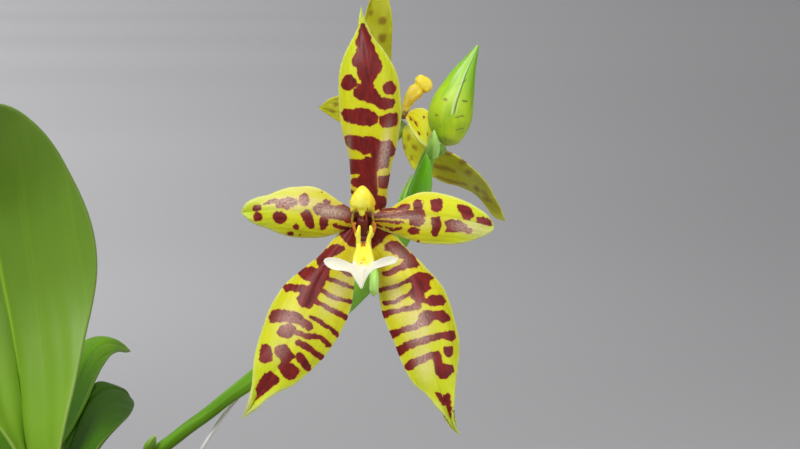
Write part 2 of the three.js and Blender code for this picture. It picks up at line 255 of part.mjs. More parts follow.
    [[-43.05,50.3,90.63], [-37.71,53.71,89.56], [-32.51,57.31,89.05], [-27.58,61.25,89.63], [-22.79,65.38,90.78]],
    [[-45.22,55.98,86.85], [-40.58,58.9,86.06], [-36.08,62,85.62], [-31.82,65.45,85.86], [-27.68,69.08,86.46]],
    [[-45.89,62.15,82.45], [-42.68,64.28,82.04], [-39.54,66.5,81.81], [-36.53,68.91,81.92], [-33.58,71.41,82.2]],
    [[-43.61,70.67,78.17], [-43.3,70.82,78.06], [-43,71,78], [-42.75,71.24,78.05], [-42.52,71.51,78.16]]
  ],
  bract_1: [
    [[48.83,-22.36,132.83], [49.45,-23.56,132.87], [50.08,-23.56,132.81], [50.79,-23.55,132.93], [51.53,-22.35,132.96]],
    [[48.78,-23.26,133.93], [49.45,-24.52,133.94], [50.14,-24.55,133.86], [50.84,-24.51,133.97], [51.56,-23.31,133.98]],
    [[48.95,-24.5,135.02], [49.58,-25.82,135.02], [50.22,-25.89,134.93], [50.9,-25.82,135.02], [51.6,-24.62,135.03]],
    [[49.2,-25.17,136.05], [49.8,-26.55,136.04], [50.41,-26.65,135.94], [51.02,-26.56,136.02], [51.66,-25.35,136.02]],
    [[49.59,-25.64,137.02], [50.09,-26.91,137.01], [50.59,-27.01,136.92], [51.1,-26.91,136.99], [51.61,-25.83,136.99]],
    [[49.99,-26.47,138], [50.39,-27.3,137.97], [50.79,-27.37,137.89], [51.15,-27.31,137.95], [51.52,-26.59,137.98]],
    [[50.48,-27.15,138.92], [50.7,-27.49,138.9], [50.93,-27.52,138.85], [51.11,-27.49,138.89], [51.29,-27.2,138.92]],
    [[50.97,-27.67,139.83], [50.97,-27.67,139.83], [50.97,-27.67,139.83], [50.97,-27.67,139.83], [50.97,-27.67,139.83]]
  ],
  bract_2: [
    [[51.12,-24.72,139.14], [51.42,-25.72,139.14], [51.73,-25.73,139.08], [52.07,-25.72,139.14], [52.43,-24.72,139.14]],
    [[50.97,-25.42,139.68], [51.36,-26.4,139.69], [51.76,-26.43,139.63], [52.14,-26.4,139.69], [52.54,-25.42,139.68]],
    [[51.03,-26.37,140.24], [51.4,-27.32,140.25], [51.78,-27.38,140.2], [52.21,-27.32,140.25], [52.64,-26.37,140.24]],
    [[51.17,-26.91,140.77], [51.51,-27.82,140.77], [51.85,-27.92,140.73], [52.19,-27.82,140.78], [52.55,-26.91,140.77]],
    [[51.33,-27.18,141.27], [51.63,-28,141.28], [51.93,-28.09,141.24], [52.18,-28,141.28], [52.44,-27.18,141.28]],
    [[51.51,-27.68,141.78], [51.72,-28.21,141.78], [51.93,-28.27,141.75], [52.11,-28.21,141.79], [52.29,-27.68,141.8]],
    [[51.7,-27.93,142.27], [51.8,-28.15,142.27], [51.91,-28.18,142.25], [52,-28.15,142.27], [52.09,-27.93,142.28]],
    [[51.89,-28.02,142.75], [51.89,-28.02,142.75], [51.89,-28.02,142.75], [51.89,-28.02,142.75], [51.89,-28.02,142.75]]
  ],
  bract_3: [
    [[47.95,-19.16,131.56], [48.18,-18.77,131.4], [48.4,-18.78,131.27], [48.68,-18.79,131.21], [48.97,-18.39,131.11]],
    [[47.76,-19.21,132.33], [48.06,-18.8,132.19], [48.36,-18.81,132.08], [48.7,-18.81,132.02], [49.04,-18.4,131.92]],
    [[47.85,-19.31,133.11], [48.12,-18.86,132.98], [48.39,-18.87,132.88], [48.74,-18.87,132.82], [49.1,-18.42,132.73]],
    [[48.07,-19.38,133.88], [48.29,-18.89,133.76], [48.52,-18.9,133.68], [48.82,-18.91,133.63], [49.13,-18.42,133.54]],
    [[48.32,-19.53,134.65], [48.48,-19.09,134.55], [48.65,-19.09,134.48], [48.9,-19.1,134.44], [49.15,-18.65,134.36]],
    [[48.62,-19.58,135.39], [48.73,-19.29,135.32], [48.84,-19.29,135.28], [49,-19.3,135.25], [49.17,-19.01,135.2]],
    [[48.91,-19.79,136.13], [48.97,-19.67,136.1], [49.03,-19.68,136.08], [49.11,-19.68,136.07], [49.19,-19.56,136.05]],
    [[49.21,-20.2,136.89], [49.21,-20.2,136.89], [49.21,-20.2,136.89], [49.21,-20.2,136.89], [49.21,-20.2,136.89]]
  ],
  bract_4: [
    [[44.15,-19.49,125.49], [44.45,-20.38,125.58], [44.73,-20.38,125.58], [45.02,-20.39,125.51], [45.29,-19.5,125.36]],
    [[44.06,-20,124.91], [44.36,-20.9,125.01], [44.64,-20.92,125.01], [44.94,-20.9,124.95], [45.22,-20.01,124.79]],
    [[43.97,-20.67,124.36], [44.27,-21.56,124.46], [44.56,-21.62,124.47], [44.86,-21.57,124.4], [45.15,-20.68,124.24]],
    [[43.98,-21.07,123.77], [44.27,-21.96,123.87], [44.55,-22.05,123.89], [44.82,-21.97,123.82], [45.09,-21.08,123.67]],
    [[44,-21.34,123.16], [44.28,-22.15,123.27], [44.54,-22.24,123.29], [44.78,-22.15,123.22], [45.02,-21.35,123.08]],
    [[44.05,-21.84,122.59], [44.29,-22.37,122.66], [44.53,-22.42,122.69], [44.72,-22.37,122.63], [44.91,-21.85,122.53]],
    [[44.24,-22.01,122.01], [44.36,-22.23,122.04], [44.48,-22.25,122.05], [44.57,-22.23,122.02], [44.67,-22.01,121.97]],
    [[44.43,-21.95,121.4], [44.43,-21.95,121.4], [44.43,-21.95,121.4], [44.43,-21.95,121.4], [44.43,-21.95,121.4]]
  ],
  bract_5: [
    [[35.66,-16.05,114.33], [36.07,-17.11,114.85], [36.46,-17.07,115.23], [36.97,-17.04,115.61], [37.45,-15.91,115.86]],
    [[35.38,-16.5,115.18], [35.83,-17.57,115.64], [36.25,-17.56,115.96], [36.79,-17.51,116.27], [37.29,-16.39,116.45]],
    [[35.44,-17.13,116.09], [35.81,-18.2,116.47], [36.14,-18.24,116.72], [36.65,-18.16,116.96], [37.13,-17.04,117.07]],
    [[35.63,-17.45,116.95], [35.95,-18.53,117.27], [36.25,-18.6,117.46], [36.68,-18.5,117.62], [37.09,-17.39,117.67]],
    [[35.95,-17.67,117.75], [36.19,-18.64,118.01], [36.39,-18.72,118.15], [36.74,-18.62,118.26], [37.06,-17.62,118.25]],
    [[36.4,-18.16,118.54], [36.56,-18.79,118.7], [36.69,-18.84,118.8], [36.92,-18.78,118.87], [37.13,-18.13,118.87]],
    [[36.84,-18.41,119.29], [36.92,-18.67,119.37], [36.99,-18.69,119.41], [37.1,-18.66,119.45], [37.2,-18.4,119.46]],
    [[37.28,-18.46,120.02], [37.28,-18.46,120.02], [37.28,-18.46,120.02], [37.28,-18.46,120.02], [37.28,-18.46,120.02]]
  ],
  spike_sheath_1: [
    [[13.12,-3.29,97.26], [13.62,-4.34,97.78], [14.02,-4.32,98.11], [14.48,-4.29,98.44], [14.89,-3.66,98.67]],
    [[13.31,-3.69,97.93], [13.77,-4.76,98.37], [14.13,-4.76,98.64], [14.62,-4.71,98.89], [15.06,-4.12,99.05]],
    [[13.53,-4.25,98.6], [13.94,-5.32,98.98], [14.26,-5.36,99.19], [14.77,-5.29,99.36], [15.24,-4.74,99.46]],
    [[13.75,-4.55,99.23], [14.15,-5.63,99.53], [14.46,-5.71,99.67], [14.94,-5.61,99.78], [15.37,-5.09,99.82]],
    [[13.99,-4.78,99.84], [14.36,-5.76,100.05], [14.64,-5.84,100.11], [15.07,-5.75,100.17], [15.46,-5.29,100.18]],
    [[14.48,-5.29,100.33], [14.71,-5.93,100.47], [14.9,-5.99,100.52], [15.22,-5.92,100.56], [15.52,-5.63,100.56]],
    [[14.96,-5.66,100.8], [15.07,-5.92,100.86], [15.16,-5.94,100.88], [15.32,-5.91,100.9], [15.48,-5.79,100.9]],
    [[15.43,-5.85,101.24], [15.43,-5.85,101.24], [15.43,-5.85,101.24], [15.43,-5.85,101.24], [15.43,-5.85,101.24]]
  ]
};

// Round stems: x, y, z, half width across the front view, half depth.
const TUBES = {
  flower_spike: [
    [2.21, 0.81, 91.26, 0.85, 0.85],
    [4.37, 0.92, 92.6, 0.86, 0.84],
    [8.1, 0.09, 94.52, 0.86, 0.82],
    [12.62, -2.21, 96.95, 0.86, 0.82],
    [16.56, -4.49, 99.54, 0.86, 0.82],
    [19.79, -6.76, 102.25, 0.86, 0.82],
    [22.68, -8.57, 104.56, 0.88, 0.82],
    [25.29, -10.38, 106.83, 0.92, 0.82],
    [28.26, -12.18, 109.19, 1.08, 0.84],
    [31.71, -13.93, 112.1, 1.18, 0.86],
    [34.88, -15.7, 114.86, 1.22, 0.86],
    [38.13, -17.46, 117.72, 1.24, 0.86],
    [41.09, -18.72, 120.43, 1.26, 0.86],
    [43.65, -19.98, 123.25, 1.28, 0.86],
    [45.81, -21.15, 126.03, 1.28, 0.86],
    [47.7, -22.31, 128.8, 1.28, 0.86],
    [48.83, -23.26, 131.65, 1.24, 0.84],
    [49.7, -24.03, 134.35, 1.16, 0.8],
    [50.56, -24.8, 137.03, 1.02, 0.74],
    [51.3, -25.39, 139.43, 0.78, 0.62],
    [51.85, -25.76, 140.95, 0.5, 0.42]
  ],
  front_pedicel: [
    [45.95, -23.3, 126.63, 0.9, 0.9],
    [45.33, -25.43, 127.59, 0.85, 0.85],
    [44.74, -28.54, 128.75, 0.85, 0.85],
    [44.16, -31.95, 129.93, 0.95, 0.95],
    [43.82, -34.98, 130.88, 1.15, 1.15]
  ],
  rear_pedicel: [
    [47.57, -21.6, 128.92, 0.78, 0.78],
    [46.57, -20.79, 130.11, 0.76, 0.76],
    [45.3, -19.95, 131.63, 0.76, 0.76],
    [44.47, -19.1, 133.33, 0.76, 0.76],
    [44.34, -18.13, 135.29, 0.78, 0.78],
    [44.77, -16.73, 137.48, 0.8, 0.8],
    [45.59, -14.76, 139.4, 0.85, 0.85],
    [46.61, -12.62, 140.88, 0.95, 0.95],
    [47.44, -10.93, 141.88, 1.05, 1.05],
    [48.06, -9.86, 142.57, 1.1, 1.1]
  ],
  bud_pedicel: [
    [52.27, -25.67, 139.7, 0.62, 0.62],
    [52.67, -25.14, 140.04, 0.7, 0.7],
    [53.11, -24.52, 140.3, 0.95, 0.95]
  ],
  bud: [
    [53.53, -24.17, 140.83, 1.5, 1.3],
    [53.88, -24.01, 141.47, 2.45, 2.2],
    [53.93, -23.9, 142.71, 3.05, 2.7],
    [53.99, -23.88, 144.08, 3.1, 2.75],
    [54.25, -23.94, 145.7, 2.85, 2.55],
    [54.85, -23.99, 147.45, 2.3, 2.1],
    [55.6, -24.04, 149.19, 1.62, 1.5],
    [56.4, -23.99, 150.93, 0.92, 0.86],
    [57, -23.98, 152.17, 0.46, 0.44],
    [57.39, -24, 153.04, 0.14, 0.14]
  ]
};

// The two flowers' own frames: centre, then unit vectors.
const FLOWER_FRAMES = {
  front: { centre: [43.26, -38.2739, 132.1989], right: [1, 0.0, 0.0], up: [0, 0.0872, 0.9962], forward: [0, -0.9962, 0.0872] },
  rear: { centre: [48.2143, -12.2241, 143.1057], right: [-0.799, 0.5063, 0.3261], up: [0.0475, -0.4868, 0.8727], forward: [0.6, 0.7125, 0.3643] }
};

// ---------------------------------------------------------------- solids
const wasm = await Module();
wasm.setup();

function solidOf(geometry) {
  const bare = geometry.clone();
  for (const name of Object.keys(bare.attributes)) if (name !== "position") bare.deleteAttribute(name);
  const merged = mergeVertices(bare, 1e-4);
  return new wasm.Manifold(
    new wasm.Mesh({ numProp: 3, vertProperties: merged.attributes.position.array, triVerts: new Uint32Array(merged.index.array) }),
  );
}

function geometryOf(solid) {
  const mesh = solid.getMesh();
  const positions = new Float32Array(mesh.numVert * 3);
  for (let i = 0; i < mesh.numVert; i++)
    for (let k = 0; k < 3; k++) positions[3 * i + k] = mesh.vertProperties[i * mesh.numProp + k];
  return finish(positions, mesh.triVerts);
}

function finish(positions, triangles) {
  const geometry = new THREE.BufferGeometry();
  geometry.setAttribute("position", new THREE.BufferAttribute(new Float32Array(positions), 3));
  geometry.setIndex(new THREE.BufferAttribute(new Uint32Array(triangles), 1));
  const p = geometry.attributes.position, t = geometry.index.array;
  let volume = 0;
  const [a, b, c] = [new THREE.Vector3(), new THREE.Vector3(), new THREE.Vector3()];
  for (let i = 0; i < t.length; i += 3) {
    a.fromBufferAttribute(p, t[i]); b.fromBufferAttribute(p, t[i + 1]); c.fromBufferAttribute(p, t[i + 2]);
    volume += a.dot(b.cross(c));
  }
  if (volume < 0) for (let i = 0; i < t.length; i += 3) [t[i + 1], t[i + 2]] = [t[i + 2], t[i + 1]];
  geometry.computeVertexNormals();
  return geometry;
}

// Cuts the solids away from a piece and keeps its largest remaining body.
function carve(geometry, cutters) {
  let s = solidOf(geometry);
  const touching = cutters.filter((c) => s.intersect(c).volume() > 1e-6);
  if (!touching.length) return geometry;
  for (const c of touching) s = s.subtract(c);
  const bodies = s.decompose().sort((p, q) => q.volume() - p.volume());
  return geometryOf(bodies[0].simplify ? bodies[0].simplify(0.004) : bodies[0]);
}

const join = (...geometries) => {
  let s = solidOf(geometries[0]);
  for (const g of geometries.slice(1)) s = s.add(solidOf(g));
  const bodies = s.decompose().sort((p, q) => q.volume() - p.volume());
  return geometryOf(bodies[0]);
};

const V = (p) => new THREE.Vector3(p[0], p[1], p[2]);

// A thick blade over a net: full thickness along the middle, thin at the margins and
// where it is narrow, and one point at the tip. grow swells it on every side.
function blade(net, thickness, grow = 0) {
  const rows = net.length, cols = net[0].length, last = rows - 1;
  const P = net.map((row) => row.map(V));
  const tipDirection = P[last][2].clone().sub(P[last - 1][2]).normalize();
  const baseDirection = P[0][2].clone().sub(P[1][2]).normalize();
  const normals = P.map((row, i) =>
    row.map((_, j) => {
      const ii = Math.min(i, last - 1);
      const across = P[ii][Math.min(cols - 1, j + 1)].clone().sub(P[ii][Math.max(0, j - 1)]);
      const along = P[Math.min(last, ii + 1)][j].clone().sub(P[Math.max(0, ii - 1)][j]);
      return across.cross(along).normalize();
    }),
  );
  const positions = [], triangles = [];
  const put = (v) => (positions.push(v.x, v.y, v.z), positions.length / 3 - 1);
  const front = [], back = [];
  for (let i = 0; i < last; i++) {
    front.push([]); back.push([]);
    for (let j = 0; j < cols; j++) {
      const edge = j === 0 || j === cols - 1;
      const side = edge ? P[i][j].clone().sub(P[i][2]).normalize().multiplyScalar(grow) : new THREE.Vector3();
      const taper = 0.55 + 0.45 * Math.sin(Math.min(1, (1 - i / last) * 3) * Math.PI * 0.5);
      const half = Math.min(thickness * 0.5 * taper, 0.28 * P[i][1].distanceTo(P[i][3])) * (edge ? 0.4 : 1) + grow;
      const at = P[i][j].clone().add(side);
      if (i === 0) at.addScaledVector(baseDirection, grow);
      front[i].push(put(at.clone().addScaledVector(normals[i][j], half)));
      back[i].push(put(at.clone().addScaledVector(normals[i][j], -half)));
    }
  }
  const tip = put(P[last][2].clone().addScaledVector(tipDirection, grow * 1.5));
  const quad = (a, b, c, d) => triangles.push(a, b, c, a, c, d);
  for (let i = 0; i < last - 1; i++) {
    for (let j = 0; j < cols - 1; j++) {
      quad(front[i][j], front[i][j + 1], front[i + 1][j + 1], front[i + 1][j]);
      quad(back[i][j + 1], back[i][j], back[i + 1][j], back[i + 1][j + 1]);
    }
    quad(back[i][0], front[i][0], front[i + 1][0], back[i + 1][0]);
    quad(front[i][cols - 1], back[i][cols - 1], back[i + 1][cols - 1], front[i + 1][cols - 1]);
  }
  const e = last - 1;
  for (let j = 0; j < cols - 1; j++) {
    triangles.push(front[e][j], front[e][j + 1], tip, back[e][j + 1], back[e][j], tip);
    quad(back[0][j], back[0][j + 1], front[0][j + 1], front[0][j]);
  }
  triangles.push(back[e][0], front[e][0], tip, front[e][cols - 1], back[e][cols - 1], tip);
  return finish(positions, triangles);
}

// A closed round form along a list of [x, y, z, half width, half depth].
function loft(list, sides, grow = 0, depthAxis = new THREE.Vector3(0, 1, 0)) {
  const P = list.map(V), last = P.length - 1;
  const positions = [], triangles = [];
  for (let i = 0; i <= last; i++) {
    const t = P[Math.min(last, i + 1)].clone().sub(P[Math.max(0, i - 1)]).normalize();
    const depth = depthAxis.clone().addScaledVector(t, -depthAxis.dot(t)).normalize();
    const wide = t.clone().cross(depth);
    const at = P[i].clone().addScaledVector(t, i === 0 ? -grow : i === last ? grow : 0);
    for (let k = 0; k < sides; k++) {
      const angle = (2 * Math.PI * (k + 0.5)) / sides;
      const v = at.clone()
        .addScaledVector(wide, Math.cos(angle) * (list[i][3] + grow))
        .addScaledVector(depth, Math.sin(angle) * (list[i][4] + grow));
      positions.push(v.x, v.y, v.z);
    }
  }
  for (let i = 0; i < last; i++)
    for (let k = 0; k < sides; k++) {
      const a = i * sides + k, b = i * sides + ((k + 1) % sides);
      triangles.push(a, b, b + sides, a, b + sides, a + sides);
    }
  for (let k = 1; k < sides - 1; k++) {
    triangles.push(0, k + 1, k);
    triangles.push(last * sides, last * sides + k, last * sides + k + 1);
  }
  return finish(positions, triangles);
}

// The net from a given share of its length on.
function from(net, start) {
  const last = net.length - 1;
  return net.map((_, i) => {
    const at = (start + (1 - start) * (i / last)) * last;
    const k = Math.min(last - 1, Math.floor(at)), f = at - k;
    return net[k].map((p, j) => p.map((c, n) => c * (1 - f) + net[k + 1][j][n] * f));
  });
}

// A blade that starts where it comes clear of its neighbours.
function clearNet(net, thickness, others) {
  for (let start = 0; start < 0.6; start += 0.02) {
    const cut = from(net, start), s = solidOf(blade(cut, thickness));
    if (others.every((o) => s.intersect(o).volume() < 1e-7)) return cut;
  }
  throw new Error("no clear start");
}

// ---------------------------------------------------------------- materials and assembly
const paint = (hex, roughness) => new THREE.MeshStandardMaterial({ color: hex, roughness, metalness: 0 });
const COLOUR = {
  clay: 0xb0623e, bark: 0x5a3d28, chip: 0x7a5335, stem: 0x5e8f2c, leaf: 0x5f8a2b, leafPale: 0x6f9a33,
  tepal: 0xbcb81c, cap: 0xf8ec44, column: 0xc79b22, lip: 0xf4eed6, bud: 0xa0c129, bract: 0x54993a,
  root: 0xa9ad8a, wire: 0xb8b7b2,
};
const orchid = new THREE.Group();
const group = () => { const g = new THREE.Group(); orchid.add(g); return g; };
const holder = group(), plant = group(), spike = group(), nearFlower = group(), farFlower = group();
function add(parent, name, geometry, hex, roughness) {
  const mesh = new THREE.Mesh(geometry, paint(hex, roughness));
  mesh.name = name;
  parent.add(mesh);
  return mesh;
}

// ---------------------------------------------------------------- leaves
const leafNames = ["leaf_1", "leaf_2", "leaf_3", "leaf_4", "leaf_5", "leaf_6"];
const spikeCutter = solidOf(loft(TUBES.flower_spike, 10, GAP));
const leafGeometry = {};
for (const [i, name] of leafNames.entries())
  leafGeometry[name] = carve(blade(NETS[name], LEAF_THICKNESS), [
    spikeCutter,
    ...leafNames.slice(0, i).map((n) => solidOf(blade(NETS[n], LEAF_THICKNESS, GAP + 0.05))),
  ]);
for (const name of leafNames)
  add(plant, name, leafGeometry[name], name === "leaf_3" ? COLOUR.leaf : COLOUR.leafPale, 0.4);

// ---------------------------------------------------------------- stem and roots
const stemList = [
  [0, 0, STEM_BOTTOM, 2.6, 2.6], [0, 0, STEM_BOTTOM + 3, 4, 4], [0, 0, 76, STEM_RADIUS, STEM_RADIUS],
  [0, 0, 84, STEM_RADIUS + 0.1, STEM_RADIUS + 0.1], [0, 0.1, 86.8, STEM_RADIUS - 0.6, STEM_RADIUS - 0.5], [0.1, 0.3, STEM_TOP, 2.4, 2.6],
];
add(plant, "plant_stem", loft(stemList, 12), COLOUR.stem, 0.5);
const stemCutter = solidOf(loft(stemList, 12, GAP));

const ROOTS = {
  root_1: [[5.8, -0.3, 78.7], [9.5, -0.9, 81.5], [16.5, -3.2, 80.2], [23.5, -7.2, 76.6], [28.5, -10.4, 72], [31, -12, 66.5]],
  root_2: [[-5.3, -1.9, 77.9], [-10, -3.6, 80], [-17.5, -7, 78.4], [-24, -10.5, 75.8], [-29.5, -13, 72], [-32, -14.5, 66.5]],
  root_3: [[-2.7, 4.9, 76.9], [-6, 9.5, 79.4], [-10.5, 16.5, 78], [-14, 22.5, 75.4], [-17, 27.5, 71.4], [-18.5, 30.5, 66]],
  root_4: [[3.4, 4.15, 76.6], [7.2, 9, 78.6], [12, 15.2, 77.4], [16.5, 20.5, 74.6], [20, 24.6, 70.6], [22, 27, 65.5]],
};
const rootCutters = [];
for (const [name, points] of Object.entries(ROOTS)) {
  const curve = new THREE.CatmullRomCurve3(points.map(V));
  const list = curve.getPoints(12).map((p, i) => [p.x, p.y, p.z, ROOT_RADIUS * (1 - 0.012 * i), ROOT_RADIUS * (1 - 0.012 * i)]);
  add(plant, name, loft(list, 8), COLOUR.root, 0.85);
  rootCutters.push(solidOf(loft(list, 8, GAP)));
}

// ---------------------------------------------------------------- support wire
const wireFoot = new THREE.Vector3(1.1, -4.02, 62), wireBend = new THREE.Vector3(24.27, -7.47, 105.45), wireEnd = new THREE.Vector3(25.1, -8.75, 106.35);
const wireSection = new THREE.Shape();
for (let k = 0; k < 8; k++) {
  const a = (k / 8) * 2 * Math.PI;
  if (k) wireSection.lineTo(WIRE_RADIUS * Math.cos(a), WIRE_RADIUS * Math.sin(a));
  else wireSection.moveTo(WIRE_RADIUS, 0);
}
const wireCurve = new THREE.CatmullRomCurve3([
  wireFoot, wireFoot.clone().lerp(wireBend, 0.33), wireFoot.clone().lerp(wireBend, 0.66), wireFoot.clone().lerp(wireBend, 0.97), wireEnd,
]);
add(spike, "support_wire", new THREE.ExtrudeGeometry(wireSection, { steps: 12, extrudePath: wireCurve, curveSegments: 1 }), COLOUR.wire, 0.45);
const wireDirection = wireBend.clone().sub(wireFoot).normalize();
const wireStart = wireFoot.clone().addScaledVector(wireDirection, -0.8);
const wireCutter = solidOf(loft([
  [wireStart.x, wireStart.y, wireStart.z, 0.75, 0.75], [wireBend.x, wireBend.y, wireBend.z, 0.75, 0.75],
], 8));

// ---------------------------------------------------------------- pot and bark
const inner = (z) => {
  const bodyTop = POT_HEIGHT - POT_RIM_BAND;
  const low = POT_BASE_RADIUS - POT_WALL, high = POT_BODY_TOP_RADIUS - POT_WALL + 2.2;
  return low + ((high - low) * z) / bodyTop;
};
const rimBottom = POT_HEIGHT - POT_RIM_BAND;
const potProfile = [
  [0, 0], [POT_BASE_RADIUS - 1, 0], [POT_BASE_RADIUS, 1],
  [POT_BODY_TOP_RADIUS, rimBottom], [POT_RIM_RADIUS - 2.2, rimBottom + 0.6], [POT_RIM_RADIUS - 1.7, rimBottom + 2],
  [POT_RIM_RADIUS, POT_HEIGHT - 1.6], [POT_RIM_RADIUS - 0.9, POT_HEIGHT - 0.3], [POT_RIM_RADIUS - 2.2, POT_HEIGHT],
  [inner(POT_HEIGHT) + 0.9, POT_HEIGHT - 0.5], [inner(POT_HEIGHT - 3), POT_HEIGHT - 3], [inner(POT_FLOOR + 3), POT_FLOOR + 3],
  [inner(POT_FLOOR) - 3, POT_FLOOR], [0, POT_FLOOR],
].map(([r, z]) => new THREE.Vector2(r, z));
const upright = (g) => g.rotateX(Math.PI / 2);
const potShell = upright(new THREE.LatheGeometry(potProfile, 40));
const drains = [];
for (let k = 0; k < DRAIN_HOLES; k++) {
  const a = Math.PI / 2 + (k * 2 * Math.PI) / DRAIN_HOLES;
  const hole = upright(new THREE.CylinderGeometry(DRAIN_HOLE_RADIUS, DRAIN_HOLE_RADIUS, POT_FLOOR + 4, 16));
  hole.translate(DRAIN_CIRCLE_RADIUS * Math.cos(a), DRAIN_CIRCLE_RADIUS * Math.sin(a), POT_FLOOR / 2);
  drains.push(solidOf(hole));
}
add(holder, "pot", carve(finishLathe(potShell), drains), COLOUR.clay, 0.9);

// Lathe surfaces may come out facing in; finish turns them round.
function finishLathe(g) {
  const bare = g.clone();
  bare.deleteAttribute("normal"); bare.deleteAttribute("uv");
  const merged = mergeVertices(bare, 1e-4);
  const kept = [], t = merged.index.array;
  for (let i = 0; i < t.length; i += 3) if (t[i] !== t[i + 1] && t[i + 1] !== t[i + 2] && t[i] !== t[i + 2]) kept.push(t[i], t[i + 1], t[i + 2]);
  return finish(merged.attributes.position.array, kept);
}
const bedProfile = [
  [0, POT_FLOOR + GAP], [inner(POT_FLOOR) - 3.6, POT_FLOOR + GAP], [inner(POT_FLOOR + 3) - GAP - 0.3, POT_FLOOR + 3.4],
  [inner(BARK_TOP - 1.5) - GAP - 0.1, BARK_TOP - 1.5], [inner(BARK_TOP) - 2.2, BARK_TOP], [26, BARK_TOP + 0.7], [14, BARK_CROWN - 0.3], [0, BARK_CROWN],
].map(([r, z]) => new THREE.Vector2(r, z));
add(holder, "bark_bed", carve(finishLathe(upright(new THREE.LatheGeometry(bedProfile, 24))), [stemCutter, wireCutter, ...rootCutters]), COLOUR.bark, 0.95);

// Loose chips on the bark: x, y, turn about z in degrees, tilt in degrees, length, width.
const CHIPS = [
  [29.5, 0.5, 20, 4, 9, 6], [20.5, 8.5, -50, -3, 8, 5.6], [2.5, 28.5, 10, 4, 10, 6], [-6.5, 33.5, 70, -4, 8, 5.4], [-27.5, 6.5, 95, 5, 9.5, 6],
  [-24.5, -24, 40, -4, 9, 6], [-11, -20.5, -20, 3, 8, 6], [2.5, -27, 5, -4, 10, 6.4], [14.5, -27.5, 60, 4, 8, 5.6], [-23.5, 17, -35, 3, 8, 5.4],
];
CHIPS.forEach(([x, y, turn, tilt, length, width], i) => {
  const shape = new THREE.Shape();
  const l = length / 2, w = width / 2;
  shape.moveTo(-l, -w * 0.55); shape.lineTo(-l * 0.4, -w); shape.lineTo(l * 0.75, -w * 0.8);
  shape.lineTo(l, w * 0.2); shape.lineTo(l * 0.45, w); shape.lineTo(-l * 0.7, w * 0.75);
  const chip = new THREE.ExtrudeGeometry(shape, { depth: CHIP_THICKNESS * 0.5, steps: 1, bevelEnabled: true, bevelThickness: CHIP_THICKNESS * 0.25, bevelSize: 0.7, bevelOffset: -0.7, bevelSegments: 1 });
  chip.translate(0, 0, CHIP_THICKNESS * 0.25);
  const mesh = add(holder, "bark_chip_" + (i + 1), chip, COLOUR.chip, 0.95);
  const r = Math.hypot(x, y), level = r > 26 ? BARK_TOP + 0.7 : BARK_TOP + 0.7 + ((26 - r) / 12) * 0.8;
  mesh.position.set(x, y, level + 0.55 + GAP);
  mesh.rotation.set(THREE.MathUtils.degToRad(tilt), 0, THREE.MathUtils.degToRad(turn), "ZYX");
});

// ---------------------------------------------------------------- flower spike
add(spike, "flower_spike", loft(TUBES.flower_spike, 10), COLOUR.stem, 0.45);
const pedicelCutters = {};
for (const name of ["front_pedicel", "rear_pedicel", "bud_pedicel"]) {
  pedicelCutters[name] = solidOf(loft(TUBES[name], 8, GAP));
  add(spike, name, carve(loft(TUBES[name], 8), [spikeCutter]), COLOUR.stem, 0.45);
}
add(spike, "bud", carve(loft(TUBES.bud, 12), [pedicelCutters.bud_pedicel, spikeCutter]), COLOUR.bud, 0.4);
const bractNames = ["bract_1", "bract_2", "bract_3", "bract_4", "bract_5", "spike_sheath_1"];
const bractCutters = {};
for (const [i, name] of bractNames.entries()) {
  const cutters = [spikeCutter, ...Object.values(pedicelCutters)];
  for (const other of bractNames.slice(0, i)) cutters.push(bractCutters[other]);
  add(spike, name, carve(blade(NETS[name], BRACT_THICKNESS), cutters), COLOUR.bract, 0.5);
  bractCutters[name] = solidOf(blade(NETS[name], BRACT_THICKNESS, GAP));
}

// ---------------------------------------------------------------- flowers
// In a flower's own frame x is to its right, y up, z forward.
const COLUMN = [
  [0.2, -0.7, -1.9, 0.95, 0.95], [0.1, -0.5, -1.0, 1.3, 1.3], [0, 0.1, 0.6, 1.35, 1.2], [0, 1.1, 2.2, 1.3, 1.1], [0, 2.0, 3.2, 1.35, 1.1], [0, 2.35, 3.6, 1.1, 0.9],
];
const COLUMN_FOOT = [[0, -0.4, -0.6, 0.9, 0.6], [0, -1.5, 0.3, 0.8, 0.55], [0, -2.2, 1.2, 0.6, 0.45]];
const CAP = [
  [0, 0.65, 3.3, 0.35, 0.3], [0, 1.2, 3.95, 1.0, 0.55], [0, 2.0, 4.45, 1.5, 0.8], [0, 3.0, 4.75, 1.45, 0.85], [0, 3.8, 4.75, 1.05, 0.7], [0, 4.25, 4.65, 0.4, 0.35],
];
const CLAW = [[0, -2.75, 1.5, 0.55, 0.4], [0.05, -3.1, 2.4, 0.9, 0.55], [0.1, -3.9, 3.6, 1.0, 0.6], [0.05, -4.7, 4.6, 0.9, 0.6]];
const HORNS = [
  [[-0.55, -3.2, 2.6, 0.4, 0.5], [-0.72, -2.2, 3.3, 0.34, 0.5], [-0.62, -1.2, 3.8, 0.3, 0.42], [-0.42, -0.35, 4.05, 0.16, 0.22]],
  [[0.75, -3.0, 2.6, 0.4, 0.5], [0.98, -2.1, 3.3, 0.34, 0.5], [1.02, -1.2, 3.8, 0.3, 0.42], [0.88, -0.35, 4.05, 0.16, 0.22]],
];
